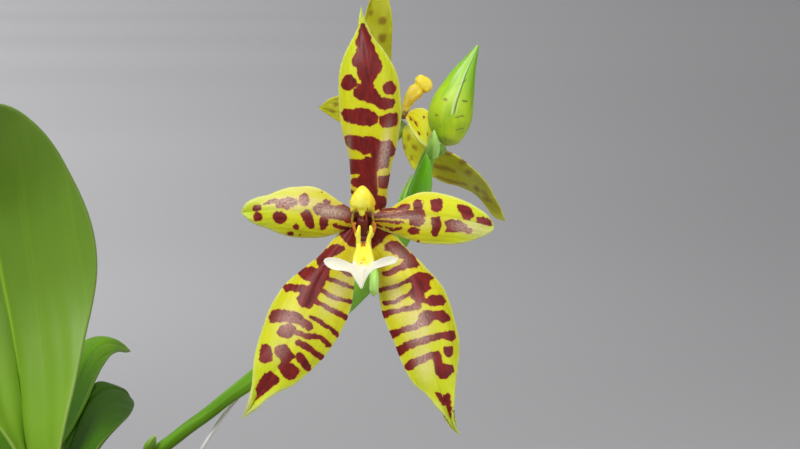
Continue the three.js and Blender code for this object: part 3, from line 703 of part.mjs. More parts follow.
// Outline of the anchor-shaped front lobe.
const ANCHOR = [
  [-0.18, -7.9], [-0.6, -7.3], [-1.05, -6.5], [-1.6, -5.9], [-2.6, -5.75], [-3.7, -5.65], [-4.5, -5.05], [-4.6, -4.6], [-4.2, -4.25],
  [-3.2, -4.2], [-2.3, -4.5], [-1.35, -4.95], [-0.5, -4.7], [0.3, -4.7], [0.95, -4.95], [1.8, -4.5], [2.8, -4.1], [3.7, -4.1], [4.3, -4.45],
  [3.9, -4.85], [3.1, -5.1], [2.0, -5.4], [1.1, -5.8], [0.5, -6.6], [0.2, -7.4],
];
const TEPAL_PARTS = ["dorsal_sepal", "left_lateral_sepal", "right_lateral_sepal", "left_petal", "right_petal"];
for (const which of ["front", "rear"]) {
  const parent = which === "front" ? nearFlower : farFlower;
  const f = FLOWER_FRAMES[which];
  const place = new THREE.Matrix4().makeBasis(V(f.right), V(f.up), V(f.forward)).setPosition(V(f.centre));
  const here = (g) => finish(g.clone().applyMatrix4(place).attributes.position.array, g.index.array);
  const depthAxis = new THREE.Vector3(0, 0, 1), vertical = new THREE.Vector3(0, 1, 0);
  const pedicel = pedicelCutters[which + "_pedicel"];

  const column = join(here(loft(COLUMN, 12, 0, vertical)), here(loft(COLUMN_FOOT, 10, 0, depthAxis)));
  const columnCutters = [solidOf(here(loft(COLUMN, 12, GAP, vertical))), solidOf(here(loft(COLUMN_FOOT, 10, GAP, depthAxis)))];
  const cap = here(loft(CAP, 12, 0, depthAxis)), capCutter = solidOf(here(loft(CAP, 12, GAP, depthAxis)));
  add(parent, which + "_column", carve(column, [pedicel, capCutter]), COLOUR.column, 0.5);
  add(parent, which + "_anther_cap", cap, COLOUR.cap, 0.45);

  const outline = new THREE.Shape(ANCHOR.map(([x, y]) => new THREE.Vector2(x, y)));
  const anchor = finishLathe(new THREE.ExtrudeGeometry(outline, { depth: LIP_THICKNESS, steps: 1, bevelEnabled: false }).translate(0, 0, 4.3));
  const lip = join(here(loft(CLAW, 10, 0, depthAxis)), here(anchor), ...HORNS.map((h) => here(loft(h, 8, 0, depthAxis))));
  add(parent, which + "_lip", carve(lip, [...columnCutters, capCutter]), COLOUR.lip, 0.5);
  const lipCutters = [solidOf(here(loft(CLAW, 10, GAP, depthAxis)))];

  const done = [];
  for (const part of TEPAL_PARTS) {
    const name = which + "_" + part;
    const net = clearNet(NETS[name], SEPAL_THICKNESS, [pedicel, ...columnCutters, ...lipCutters, ...done, spikeCutter]);
    add(parent, name, blade(net, SEPAL_THICKNESS), COLOUR.tepal, 0.35);
    done.push(solidOf(blade(net, SEPAL_THICKNESS, GAP)));
  }
}

export default orchid;
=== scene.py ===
import math

import bmesh
import bpy
import numpy as np
from mathutils import Matrix, Vector


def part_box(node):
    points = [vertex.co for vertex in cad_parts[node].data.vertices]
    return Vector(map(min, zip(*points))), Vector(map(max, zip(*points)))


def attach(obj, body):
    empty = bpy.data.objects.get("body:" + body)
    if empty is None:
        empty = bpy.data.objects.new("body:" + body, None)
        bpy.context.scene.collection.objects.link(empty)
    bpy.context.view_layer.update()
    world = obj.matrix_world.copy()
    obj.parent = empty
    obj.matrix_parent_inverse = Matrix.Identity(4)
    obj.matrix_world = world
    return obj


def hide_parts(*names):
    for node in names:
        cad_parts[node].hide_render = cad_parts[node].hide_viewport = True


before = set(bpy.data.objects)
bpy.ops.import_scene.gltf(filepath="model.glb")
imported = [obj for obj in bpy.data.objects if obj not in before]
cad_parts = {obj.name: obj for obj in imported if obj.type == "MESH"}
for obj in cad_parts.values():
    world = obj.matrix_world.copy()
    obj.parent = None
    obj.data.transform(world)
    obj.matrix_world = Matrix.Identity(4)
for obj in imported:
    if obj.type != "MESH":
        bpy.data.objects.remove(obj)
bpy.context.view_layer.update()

MM = 0.001

# ------------------------------------------------------------------ view and mapping
# A point of the front view (px across, px down, mm behind the near flower) in mm.
SCALE, CAM_DIST, TILT = 0.12, 350.0, math.radians(5)
ORIGIN = np.array([47.7, -38.3, 131.9])
AX = np.array([1.0, 0.0, 0.0])
AUP = np.array([0.0, math.sin(TILT), math.cos(TILT)])
AFW = np.array([0.0, math.cos(TILT), -math.sin(TILT)])


def W(px, py, d):
    px, py, d = np.broadcast_arrays(np.asarray(px, float), np.asarray(py, float), np.asarray(d, float))
    s = SCALE * (CAM_DIST + d) / CAM_DIST
    a, b = (px - 400) * s, (224.5 - py) * s
    return ORIGIN + a[..., None] * AX + b[..., None] * AUP + d[..., None] * AFW


def project(p):
    q = np.asarray(p, float) - ORIGIN
    d = q @ AFW
    s = SCALE * (CAM_DIST + d) / CAM_DIST
    return 400 + (q @ AX) / s, 224.5 - (q @ AUP) / s, d


# ------------------------------------------------------------------ numbers
def vnoise(x, y, z=0.0, seed=0):
    x, y, z = np.broadcast_arrays(np.asarray(x, float), np.asarray(y, float), np.asarray(z, float))
    xi, yi, zi = np.floor(x).astype(np.int64), np.floor(y).astype(np.int64), np.floor(z).astype(np.int64)
    fx, fy, fz = x - xi, y - yi, z - zi
    fx, fy, fz = (f * f * f * (f * (f * 6 - 15) + 10) for f in (fx, fy, fz))
    M = np.int64(0xFFFFFFFF)

    def h(i, j, k):
        n = (i * 374761393 + j * 668265263 + k * 1440662683 + seed * 1274126177) & M
        n = ((n ^ (n >> 13)) * 1274126177) & M
        n = ((n ^ (n >> 15)) * 2246822519) & M
        return ((n ^ (n >> 16)) & 0xFFFF) / 65535.0

    r = 0
    for a in (0, 1):
        for b in (0, 1):
            for c in (0, 1):
                wgt = (fx if a else 1 - fx) * (fy if b else 1 - fy) * (fz if c else 1 - fz)
                r = r + wgt * h(xi + a, yi + b, zi + c)
    return r * 2 - 1


def fbm(x, y, z=0.0, octaves=3, seed=0):
    r, amp, tot = 0, 1.0, 0
    for o in range(octaves):
        r = r + amp * vnoise(np.asarray(x) * 2**o, np.asarray(y) * 2**o, np.asarray(z) * 2**o, seed + 31 * o)
        tot += amp
        amp *= 0.5
    return r / tot


def smoothstep(a, b, x):
    t = np.clip((x - a) / (b - a), 0, 1)
    return t * t * (3 - 2 * t)


def hermite(knots, v):
    """Smooth table: knots [(position, value or list)]. Returns (len(v), k)."""
    x = np.array([k[0] for k in knots], float)
    y = np.array([np.atleast_1d(k[1]) for k in knots], float)
    m = np.zeros_like(y)
    m[1:-1] = (y[2:] - y[:-2]) / (x[2:] - x[:-2])[:, None]
    m[0] = (y[1] - y[0]) / (x[1] - x[0])
    m[-1] = (y[-1] - y[-2]) / (x[-1] - x[-2])
    v = np.clip(np.asarray(v, float), x[0], x[-1])
    i = np.clip(np.searchsorted(x, v, side="right") - 1, 0, len(x) - 2)
    h = (x[i + 1] - x[i])[:, None]
    t = ((v - x[i])[:, None]) / h
    return (2 * t**3 - 3 * t**2 + 1) * y[i] + (t**3 - 2 * t**2 + t) * h * m[i] + (-2 * t**3 + 3 * t**2) * y[i + 1] + (t**3 - t**2) * h * m[i + 1]


def catmull(points, n):
    """Arc-length samples of a smooth curve through the points (any dimension)."""
    P = np.array(points, float)
    Q = np.vstack([2 * P[0] - P[1], P, 2 * P[-1] - P[-2]])
    out = []
    for i in range(1, len(Q) - 2):
        p0, p1, p2, p3 = Q[i - 1], Q[i], Q[i + 1], Q[i + 2]
        d = [max(1e-6, np.linalg.norm(b[:3] - a[:3])) ** 0.5 for a, b in ((p0, p1), (p1, p2), (p2, p3))]
        t0, t1, t2, t3 = 0, d[0], d[0] + d[1], d[0] + d[1] + d[2]
        t = np.linspace(t1, t2, 24, endpoint=False)[:, None]
        a1 = (t1 - t) / (t1 - t0) * p0 + (t - t0) / (t1 - t0) * p1
        a2 = (t2 - t) / (t2 - t1) * p1 + (t - t1) / (t2 - t1) * p2
        a3 = (t3 - t) / (t3 - t2) * p2 + (t - t2) / (t3 - t2) * p3
        b1 = (t2 - t) / (t2 - t0) * a1 + (t - t0) / (t2 - t0) * a2
        b2 = (t3 - t) / (t3 - t1) * a2 + (t - t1) / (t3 - t1) * a3
        out.append((t2 - t) / (t2 - t1) * b1 + (t - t1) / (t2 - t1) * b2)
    C = np.vstack(out + [P[-1:]])
    L = np.concatenate([[0], np.cumsum(np.linalg.norm(np.diff(C[:, :3] if C.shape[1] > 2 else C, axis=0), axis=1))])
    s = np.linspace(0, L[-1], n)
    return np.stack([np.interp(s, L, C[:, k]) for k in range(C.shape[1])], 1), L[-1]


def outline(poly, n=420, sigma=5):
    C, _ = catmull(poly, n)
    k = np.exp(-0.5 * (np.arange(-3 * sigma, 3 * sigma + 1) / sigma) ** 2)
    k /= k.sum()
    pad = 3 * sigma
    E = np.vstack([2 * C[0] - C[pad:0:-1], C, 2 * C[-1] - C[-2 : -pad - 2 : -1]])
    S = np.stack([np.convolve(E[:, i], k, "valid") for i in range(C.shape[1])], 1)
    S[0], S[-1] = C[0], C[-1]
    return S


def at(curve, v):
    L = np.concatenate([[0], np.cumsum(np.linalg.norm(np.diff(curve, axis=0), axis=1))])
    s = np.asarray(v) * L[-1]
    return np.stack([np.interp(s, L, curve[:, k]) for k in range(curve.shape[1])], 1)


# ------------------------------------------------------------------ distance fields for markings
def sd_poly(px, py, poly):
    P = np.array(poly, float)
    shape = px.shape
    x, y = px.ravel(), py.ravel()
    d = np.full(x.shape, 1e18)
    inside = np.zeros(x.shape, bool)
    for i in range(len(P)):
        a, b = P[i], P[(i + 1) % len(P)]
        e = b - a
        wx, wy = x - a[0], y - a[1]
        t = np.clip((wx * e[0] + wy * e[1]) / max(1e-9, e @ e), 0, 1)
        d = np.minimum(d, (wx - t * e[0]) ** 2 + (wy - t * e[1]) ** 2)
        cond = (a[1] > y) != (b[1] > y)
        xi = (b[0] - a[0]) * (y - a[1]) / (b[1] - a[1] if b[1] != a[1] else 1e-9) + a[0]
        inside ^= cond & (x < xi)
    d = np.sqrt(d)
    return np.where(inside, -d, d).reshape(shape)


def sd_stroke(px, py, chain):
    best = np.full(px.shape, 1e18)
    for (x0, y0, r0), (x1, y1, r1) in zip(chain, chain[1:]):
        ex, ey = x1 - x0, y1 - y0
        t = np.clip(((px - x0) * ex + (py - y0) * ey) / max(1e-9, ex * ex + ey * ey), 0, 1)
        best = np.minimum(best, np.hypot(px - x0 - t * ex, py - y0 - t * ey) - (r0 + (r1 - r0) * t))
    return best


def sd_ell(px, py, cx, cy, rx, ry, ang=0.0):
    a = math.radians(ang)
    x, y = (px - cx) * math.cos(a) + (py - cy) * math.sin(a), -(px - cx) * math.sin(a) + (py - cy) * math.cos(a)
    k0 = np.hypot(x / rx, y / ry)
    k1 = np.hypot(x / rx**2, y / ry**2)
    return k0 * (k0 - 1) / np.maximum(k1, 1e-6)


def markings(px, py, shapes, rough=1.0, seed=1, blend=0.7):
    """Positive inside the marks; edges wander by about rough."""
    wx = px + rough * (0.9 * fbm(px / 7, py / 7, seed=seed) + 0.55 * vnoise(px / 2.1, py / 2.1, seed=seed + 5))
    wy = py + rough * (0.9 * fbm(px / 7, py / 7, seed=seed + 9) + 0.55 * vnoise(px / 2.1, py / 2.1, seed=seed + 15))
    f = np.full(px.shape, -40.0)
    for s in shapes:
        kind, rest = s[0], s[1:]
        if kind == "P":
            d = -sd_poly(wx, wy, rest[0]) + (rest[1] if len(rest) > 1 else 0.4)
        elif kind == "S":
            d = -sd_stroke(wx, wy, rest[0])
        else:
            d = -sd_ell(wx, wy, *rest)
        h = np.clip(0.5 + 0.5 * (d - f) / blend, 0, 1)
        f = np.where(h >= 1, d, np.where(h <= 0, f, f * (1 - h) + d * h + blend * h * (1 - h)))
    return f


# ------------------------------------------------------------------ meshes
def mesh_object(name, verts, faces, attrs=None, recalc=True):
    me = bpy.data.meshes.new(name)
    me.from_pydata((np.asarray(verts) * MM).tolist(), [], [list(map(int, f)) for f in faces])
    me.validate()
    if recalc:
        bm = bmesh.new()
        bm.from_mesh(me)
        bmesh.ops.recalc_face_normals(bm, faces=bm.faces)
        bm.to_mesh(me)
        bm.free()
    me.shade_smooth()
    for k, a in (attrs or {}).items():
        put_attr(me, k, a)
    ob = bpy.data.objects.new(name, me)
    bpy.context.scene.collection.objects.link(ob)
    return ob


def put_attr(me, k, a):
    a = np.asarray(a, np.float32)
    if a.ndim == 2:
        at_ = me.attributes.get(k) or me.attributes.new(k, "FLOAT_VECTOR", "POINT")
        at_.data.foreach_set("vector", a.ravel())
    else:
        at_ = me.attributes.get(k) or me.attributes.new(k, "FLOAT", "POINT")
        at_.data.foreach_set("value", a)


def co_mm(ob):
    co = np.zeros(len(ob.data.vertices) * 3)
    ob.data.vertices.foreach_get("co", co)
    return co.reshape(-1, 3) / MM


def grid_normals(P):
    du = np.gradient(P, axis=1)
    dv = np.gradient(P, axis=0)
    N = np.cross(du, dv)
    L = np.linalg.norm(N, axis=2, keepdims=True)
    bad = L[..., 0] < 1e-7
    N = N / np.maximum(L, 1e-9)
    for i in range(N.shape[0]):
        if bad[i].any() and i > 0:
            N[i][bad[i]] = N[i - 1][bad[i]]
    return N


def shell(name, P, N, H, u, v, extra=None, tip=True):
    """Closed thick sheet from a centre grid P (rows x cols), normals N, half thickness H (0 at the side margins)."""
    R, C = P.shape[:2]
    front = P + N * H[..., None]
    back = P - N * H[..., None]
    last = R - 1 if tip else R
    idf = np.arange(last * C).reshape(last, C)
    verts = [front[:last].reshape(-1, 3)]
    idb = np.zeros((last, C), int)
    idb[:, 0], idb[:, -1] = idf[:, 0], idf[:, -1]
    idb[:, 1:-1] = last * C + np.arange(last * (C - 2)).reshape(last, C - 2)
    verts.append(back[:last, 1:-1].reshape(-1, 3))
    n = last * C + last * (C - 2)
    faces = []
    a, b, c, d = idf[:-1, :-1], idf[:-1, 1:], idf[1:, 1:], idf[1:, :-1]
    faces.append(np.stack([a, b, c, d], -1).reshape(-1, 4))
    a, b, c, d = idb[:-1, :-1], idb[:-1, 1:], idb[1:, 1:], idb[1:, :-1]
    faces.append(np.stack([d, c, b, a], -1).reshape(-1, 4))
    quads = np.vstack(faces).tolist()
    # base cap
    for j in range(C - 1):
        q = [idf[0, j], idb[0, j], idb[0, j + 1], idf[0, j + 1]]
        if j == 0:
            q = [idf[0, 0], idb[0, 1], idf[0, 1]]
        elif j == C - 2:
            q = [idf[0, j], idb[0, j], idf[0, j + 1]]
        quads.append(q)
    if tip:
        verts.append(P[-1, C // 2][None])
        t = n
        for j in range(C - 1):
            quads.append([idf[-1, j], idf[-1, j + 1], t])
            quads.append([idb[-1, j + 1], idb[-1, j], t])
    else:
        for j in range(C - 1):
            q = [idf[-1, j + 1], idb[-1, j + 1], idb[-1, j], idf[-1, j]]
            if j == 0:
                q = [idf[-1, 1], idb[-1, 1], idf[-1, 0]]
            elif j == C - 2:
                q = [idf[-1, j + 1], idb[-1, j], idf[-1, j]]
            quads.append(q)
    attrs = {}
    rim = np.clip(H / np.maximum(H.max(axis=1, keepdims=True), 1e-6), 0, 1)
    base = dict(extra or {})
    base["face"] = None
    U = np.broadcast_to(u, (R, C)) if np.ndim(u) == 1 else u
    Vv = np.broadcast_to(v[:, None], (R, C))
    base.setdefault("across", U)
    base.setdefault("along", Vv)
    for k, g in base.items():
        if k == "face":
            f_, b_ = smoothstep(-0.1, 0.75, rim), -smoothstep(-0.1, 0.75, rim)
        else:
            f_ = b_ = g
        parts = [f_[:last].reshape((-1,) + g.shape[2:]) if k != "face" else f_[:last].reshape(-1)]
        parts.append(b_[:last, 1:-1].reshape((-1,) + g.shape[2:]) if k != "face" else b_[:last, 1:-1].reshape(-1))
        if tip:
            parts.append((g[-1, C // 2][None] if k != "face" else np.zeros(1)))
        attrs[k] = np.concatenate(parts)
    return mesh_object(name, np.vstack(verts), quads, attrs)


def width_profile(P, U):
    mid = P[:, P.shape[1] // 2]
    left, right = np.linalg.norm(P[:, 0] - mid, axis=1), np.linalg.norm(P[:, -1] - mid, axis=1)
    half = np.where(U < 0, left[:, None], right[:, None])
    return half, (1 - np.abs(U)) * half


def half_thickness(P, U, v, mid, edge, reach=2.6, tip_share=0.7):
    half, e = width_profile(P, U)
    T = edge + (mid - edge) * smoothstep(0, reach, e)
    T = np.minimum(T, half * tip_share + 0.05)
    T = T * (0.75 + 0.25 * smoothstep(0, 0.06, v))[:, None]
    r = T * 0.62
    t = np.clip(e / np.maximum(r, 1e-6), 0, 1)
    return 0.5 * T * np.sqrt(np.clip(1 - (1 - t) ** 2, 0, 1)), e


def px_blade(left, mid, right, spine, off, rows, cols, sigma=5):
    v = np.linspace(0, 1, rows)
    u = np.sin(np.linspace(-1, 1, cols) * math.pi / 2)
    L, M, R = (at(outline(p, sigma=sigma), v) for p in (left, mid, right))
    sp = hermite(spine, v)[:, 0]
    of = hermite(off, v)
    # quartic through the five offsets across the blade
    nodes_ = np.array([-1, -0.5, 0, 0.5, 1])
    lag = np.stack([np.prod([(u - nodes_[m]) / (nodes_[k] - nodes_[m]) for m in range(5) if m != k], axis=0) for k in range(5)], 0)
    depth = sp[:, None] + of @ lag
    uu = u[None, :, None]
    px = np.where(uu < 0, M[:, None] * (1 + uu) + L[:, None] * (-uu), M[:, None] * (1 - uu) + R[:, None] * uu)
    return px[..., 0], px[..., 1], depth, np.broadcast_to(u, depth.shape), v


def free_blade(mid, hw, side, fold, rows, cols):
    v = np.linspace(0, 1, rows)
    u = np.sin(np.linspace(-1, 1, cols) * math.pi / 2)
    P = at(outline(mid, sigma=9), v)
    T = np.gradient(P, axis=0)
    T /= np.linalg.norm(T, axis=1, keepdims=True)
    S = hermite(side, v)
    S = S - (S * T).sum(1, keepdims=True) * T
    S /= np.linalg.norm(S, axis=1, keepdims=True)
    N = np.cross(S, T)
    N[N[:, 2] < 0] *= -1
    h, f = np.maximum(hermite(hw, v), 0), hermite(fold, v)
    h[-1] = 0
    G = P[:, None] + S[:, None] * (h * u)[..., None] + N[:, None] * (f * np.abs(u) ** 1.6)[..., None]
    return G, np.broadcast_to(u, G.shape[:2]), v


def sweep(points, n, sides, depth_axis=None, wobble=None, round_ends=True):
    """Closed tube through points of x, y, z, half width, half depth. Returns verts, faces, attributes."""
    C, length = catmull(points, n)
    P, RX, RY = C[:, :3], C[:, 3].copy(), C[:, 4].copy()
    s = np.linspace(0, length, n)
    if round_ends:
        for side in (0, 1):
            r = RX[0] if side == 0 else RX[-1]
            dist = s if side == 0 else length - s
            k = np.sqrt(np.clip(1 - (1 - np.clip(dist / max(r, 1e-6), 0, 1)) ** 2, 0.02, 1))
            RX, RY = RX * k, RY * k
    T = np.gradient(P, axis=0)
    T /= np.linalg.norm(T, axis=1, keepdims=True)
    da = AFW if depth_axis is None else np.asarray(depth_axis, float)
    D = da - (T @ da)[:, None] * T
    D /= np.linalg.norm(D, axis=1, keepdims=True)
    S = np.cross(T, D)
    ang = np.linspace(0, 2 * math.pi, sides, endpoint=False)
    ca, sa = np.cos(ang), np.sin(ang)
    rx = RX[:, None] * np.ones(sides)
    ry = RY[:, None] * np.ones(sides)
    if wobble is not None:
        k = wobble(np.broadcast_to(s[:, None], rx.shape), np.broadcast_to(ang, rx.shape), length)
        rx, ry = rx * k, ry * k
    V = P[:, None] + S[:, None] * (rx * ca)[..., None] + D[:, None] * (ry * sa)[..., None]
    verts = V.reshape(-1, 3)
    ids = np.arange(n * sides).reshape(n, sides)
    nx = np.roll(ids, -1, axis=1)
    faces = np.stack([ids[:-1], nx[:-1], nx[1:], ids[1:]], -1).reshape(-1, 4).tolist()
    verts = np.vstack([verts, P[:1], P[-1:]])
    c0, c1 = n * sides, n * sides + 1
    for k in range(sides):
        faces.append([ids[0, (k + 1) % sides], ids[0, k], c0])
        faces.append([ids[-1, k], ids[-1, (k + 1) % sides], c1])
    al = np.concatenate([np.repeat(s / length, sides), [0, 1]])
    loc = np.stack([np.tile(ca, n) * RX.mean(), np.tile(sa, n) * RX.mean(), np.repeat(s, sides)], 1)
    loc = np.vstack([loc, [[0, 0, 0], [0, 0, length]]])
    fr = np.concatenate([np.tile(-sa, n), [0, 0]])
    return verts, faces, {"along": al, "loc": loc, "toward": fr}


def place(ob, nodes, mat):
    ob.data.materials.clear()
    ob.data.materials.append(mat)
    if nodes:
        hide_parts(*([nodes] if isinstance(nodes, str) else nodes))
    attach(ob, "root")
    return ob


def moved(ob, name, M):
    """A rigid copy of ob's mesh, as real vertices."""
    me = ob.data.copy()
    me.name = name
    me.transform(Matrix(M.tolist()) if hasattr(M, "tolist") else M)
    o = bpy.data.objects.new(name, me)
    bpy.context.scene.collection.objects.link(o)
    return o


def fuse(name, parts, voxel, smooth=6, factor=0.5):
    """Parts grown together: one skin over all of them."""
    verts, faces, n = [], [], 0
    for v, f in parts:
        v = np.asarray(v, float)
        verts.append(v)
        faces += [[i + n for i in q] for q in f]
        n += len(v)
    ob = mesh_object(name, np.vstack(verts), faces)
    m = ob.modifiers.new("remesh", "REMESH")
    m.mode = "VOXEL"
    m.voxel_size = voxel * MM
    m.use_smooth_shade = True
    s = ob.modifiers.new("smooth", "SMOOTH")
    s.iterations = smooth
    s.factor = factor
    dg = bpy.context.evaluated_depsgraph_get()
    me = bpy.data.meshes.new_from_object(ob.evaluated_get(dg))
    old = ob.data
    ob.modifiers.clear()
    ob.data = me
    bpy.data.meshes.remove(old)
    me.name = name
    me.shade_smooth()
    return ob


def decimate(ob, ratio):
    m = ob.modifiers.new("dec", "DECIMATE")
    m.ratio = ratio
    dg = bpy.context.evaluated_depsgraph_get()
    me = bpy.data.meshes.new_from_object(ob.evaluated_get(dg))
    ob.modifiers.clear()
    ob.data = me
    me.shade_smooth()
    return ob


# ------------------------------------------------------------------ material nodes
def lin(r, g, b):
    return tuple((c / 255 / 12.92) if c / 255 <= 0.04045 else ((c / 255 + 0.055) / 1.055) ** 2.4 for c in (r, g, b)) + (1.0,)


class Mat:
    def __init__(self, name, **values):
        self.m = bpy.data.materials.new(name)
        self.m.use_nodes = True
        self.t = self.m.node_tree
        self.t.nodes.clear()
        out, self.b = self.n("ShaderNodeOutputMaterial"), self.n("ShaderNodeBsdfPrincipled")
        self.t.links.new(self.b.outputs[0], out.inputs[0])
        self.set(**values)

    def n(self, kind, **kw):
        node = self.t.nodes.new(kind)
        for k, v in kw.items():
            setattr(node, k, v)
        return node

    def put(self, sock, v):
        if isinstance(v, bpy.types.NodeSocket):
            self.t.links.new(v, sock)
        else:
            sock.default_value = v

    def set(self, **values):
        for k, v in values.items():
            self.put(self.b.inputs[k.replace("_", " ")], v)

    def math(self, op, a, b=0.0, c=None, clamp=False):
        n = self.n("ShaderNodeMath", operation=op, use_clamp=clamp)
        self.put(n.inputs[0], a)
        self.put(n.inputs[1], b)
        if c is not None:
            self.put(n.inputs[2], c)
        return n.outputs[0]

    def mix(self, fac, a, b, blend="MIX"):
        n = self.n("ShaderNodeMix", data_type="RGBA", blend_type=blend)
        self.put(n.inputs[0], fac)
        self.put(n.inputs[6], a)
        self.put(n.inputs[7], b)
        return n.outputs[2]

    def lerp(self, fac, a, b):
        n = self.n("ShaderNodeMix", data_type="FLOAT")
        self.put(n.inputs[0], fac)
        self.put(n.inputs[2], a)
        self.put(n.inputs[3], b)
        return n.outputs[0]

    def attr(self, name):
        return self.n("ShaderNodeAttribute", attribute_name=name).outputs["Fac"]

    def vec(self, name):
        return self.n("ShaderNodeAttribute", attribute_name=name).outputs["Vector"]

    def obj(self):
        return self.n("ShaderNodeTexCoord").outputs["Object"]

    def scaled(self, v, s):
        n = self.n("ShaderNodeVectorMath", operation="MULTIPLY")
        self.put(n.inputs[0], v)
        n.inputs[1].default_value = s
        return n.outputs[0]

    def part(self, v, axis):
        n = self.n("ShaderNodeSeparateXYZ")
        self.put(n.inputs[0], v)
        return n.outputs[axis]

    def noise(self, v, scale, detail=2.0, rough=0.5, distort=0.0):
        n = self.n("ShaderNodeTexNoise")
        self.put(n.inputs["Vector"], v)
        n.inputs["Scale"].default_value = scale
        n.inputs["Detail"].default_value = detail
        n.inputs["Roughness"].default_value = rough
        n.inputs["Distortion"].default_value = distort
        return n.outputs["Fac"]

    def voronoi(self, v, scale, feature="F1", out="Distance"):
        n = self.n("ShaderNodeTexVoronoi", feature=feature)
        self.put(n.inputs["Vector"], v)
        n.inputs["Scale"].default_value = scale
        return n.outputs[out]

    def step(self, v, a, b, lo=0.0, hi=1.0):
        n = self.n("ShaderNodeMapRange", interpolation_type="SMOOTHSTEP")
        self.put(n.inputs[0], v)
        for i, x in enumerate((a, b, lo, hi)):
            n.inputs[i + 1].default_value = x
        return n.outputs[0]

    def ramp(self, v, stops):
        n = self.n("ShaderNodeValToRGB")
        self.put(n.inputs[0], v)
        e = n.color_ramp.elements
        while len(e) < len(stops):
            e.new(0.5)
        for el, (p, c) in zip(e, stops):
            el.position = p
            el.color = c
        return n.outputs[0]

    def bump(self, h, strength, dist_mm, normal=None):
        n = self.n("ShaderNodeBump")
        n.inputs["Strength"].default_value = strength
        n.inputs["Distance"].default_value = dist_mm * MM
        self.put(n.inputs["Height"], h)
        if normal is not None:
            self.put(n.inputs["Normal"], normal)
        return n.outputs[0]


# ------------------------------------------------------------------ camera, floor and light
def look(ob, target):
    ob.rotation_euler = (Vector(target) - ob.location).to_track_quat("-Z", "Y").to_euler()


def make_stage():
    sc = bpy.context.scene
    cam = bpy.data.objects.new("camera", bpy.data.cameras.new("camera"))
    sc.collection.objects.link(cam)
    eye = ORIGIN - CAM_DIST * AFW
    cam.location = Vector(eye * MM)
    cam.rotation_euler = Vector(AFW).to_track_quat("-Z", "Y").to_euler()
    cam.data.lens, cam.data.sensor_width = 131.25, 36.0
    cam.data.clip_start, cam.data.clip_end = 0.01, 400.0
    sc.camera = cam

    me = bpy.data.meshes.new("floor")
    s = 60.0
    me.from_pydata([(-s, -s, 0), (s, -s, 0), (s, s, 0), (-s, s, 0)], [], [(0, 1, 2, 3)])
    floor = bpy.data.objects.new("floor", me)
    sc.collection.objects.link(floor)
    g = Mat("floor_paper", Roughness=0.9, Specular_IOR_Level=0.2)
    n = g.noise(g.obj(), 900.0, 3.0)
    g.set(Base_Color=g.mix(n, lin(186, 186, 188), lin(190, 190, 192)))
    me.materials.append(g.m)

    w = sc.world or bpy.data.worlds.new("world")
    sc.world = w
    w.use_nodes = True
    bg = w.node_tree.nodes.get("Background") or w.node_tree.nodes.new("ShaderNodeBackground")
    bg.inputs[0].default_value = (0.50, 0.50, 0.502, 1)
    bg.inputs[1].default_value = WORLD

    def area(name, loc, aim, size, power, colour=(1, 1, 1), size_y=None, spread=180):
        d = bpy.data.lights.new(name, "AREA")
        d.spread = math.radians(spread)
        d.shape, d.size, d.size_y = "RECTANGLE", size, size_y or size
        # a narrow spread gathers the light, so the power is cut to keep the brightness on the axis
        d.energy, d.color = power * (1 - math.radians(spread / 2) / math.tan(math.radians(spread / 2)) if spread < 180 else 1), colour
        o = bpy.data.objects.new(name, d)
        o.location = loc
        sc.collection.objects.link(o)
        look(o, aim)
        return o

    def spot(name, loc, aim, angle, power, radius=0.3, colour=(1, 1, 1)):
        d = bpy.data.lights.new(name, "SPOT")
        d.energy, d.color, d.spot_size, d.spot_blend, d.shadow_soft_size = power, colour, math.radians(angle), 1.0, radius
        o = bpy.data.objects.new(name, d)
        o.location = loc
        sc.collection.objects.link(o)
        look(o, aim)
        return o

    area("key_softbox", (-0.42, -0.80, 0.92), (0.03, -0.03, 0.135), 0.62, KEY, (1.0, 0.995, 0.985), 0.5, 60)
    area("fill_softbox", (0.9, -0.8, 0.45), (0.03, -0.03, 0.13), 0.8, FILL, (1.0, 1.0, 0.995), 0.6, 60)
    area("top_softbox", (0.1, 0.25, 1.15), (0.03, 0, 0.12), 0.7, TOP, (1, 1, 1), 0.7, 60)
    # a row of lamps over the floor, left of the view and out of it, that fades towards the right
    for i, (x, y, z, ax, k) in enumerate(FLOOR_LAMPS):
        spot("floor_lamp_%d" % (i + 1), (x, y, z), (ax, y, 0), 140, 10 * z * z * k, max(0.15, z * 0.22))
    sc.view_settings.view_transform = "Standard"
    sc.view_settings.look = "None"


WORLD, KEY, FILL, TOP = 0.65, 17.5, 6.5, 4.5
FLOOR_LAMPS = [(-0.22, 0.70, 0.36, -0.16, 0.83), (-0.30, 1.0, 0.44, -0.24, 1.87), (-0.45, 1.45, 0.6, -0.38, 1.77), (-0.68, 2.1, 0.85, -0.58, 2.44), (-1.0, 3.1, 1.2, -0.88, 2.36),
               (-1.55, 4.7, 1.8, -1.35, 2.68), (-2.3, 7.2, 2.7, -2.0, 2.52), (-3.5, 11.0, 4.1, -3.0, 2.53), (-5.0, 17.0, 6.0, -4.4, 3.26)]
make_stage()


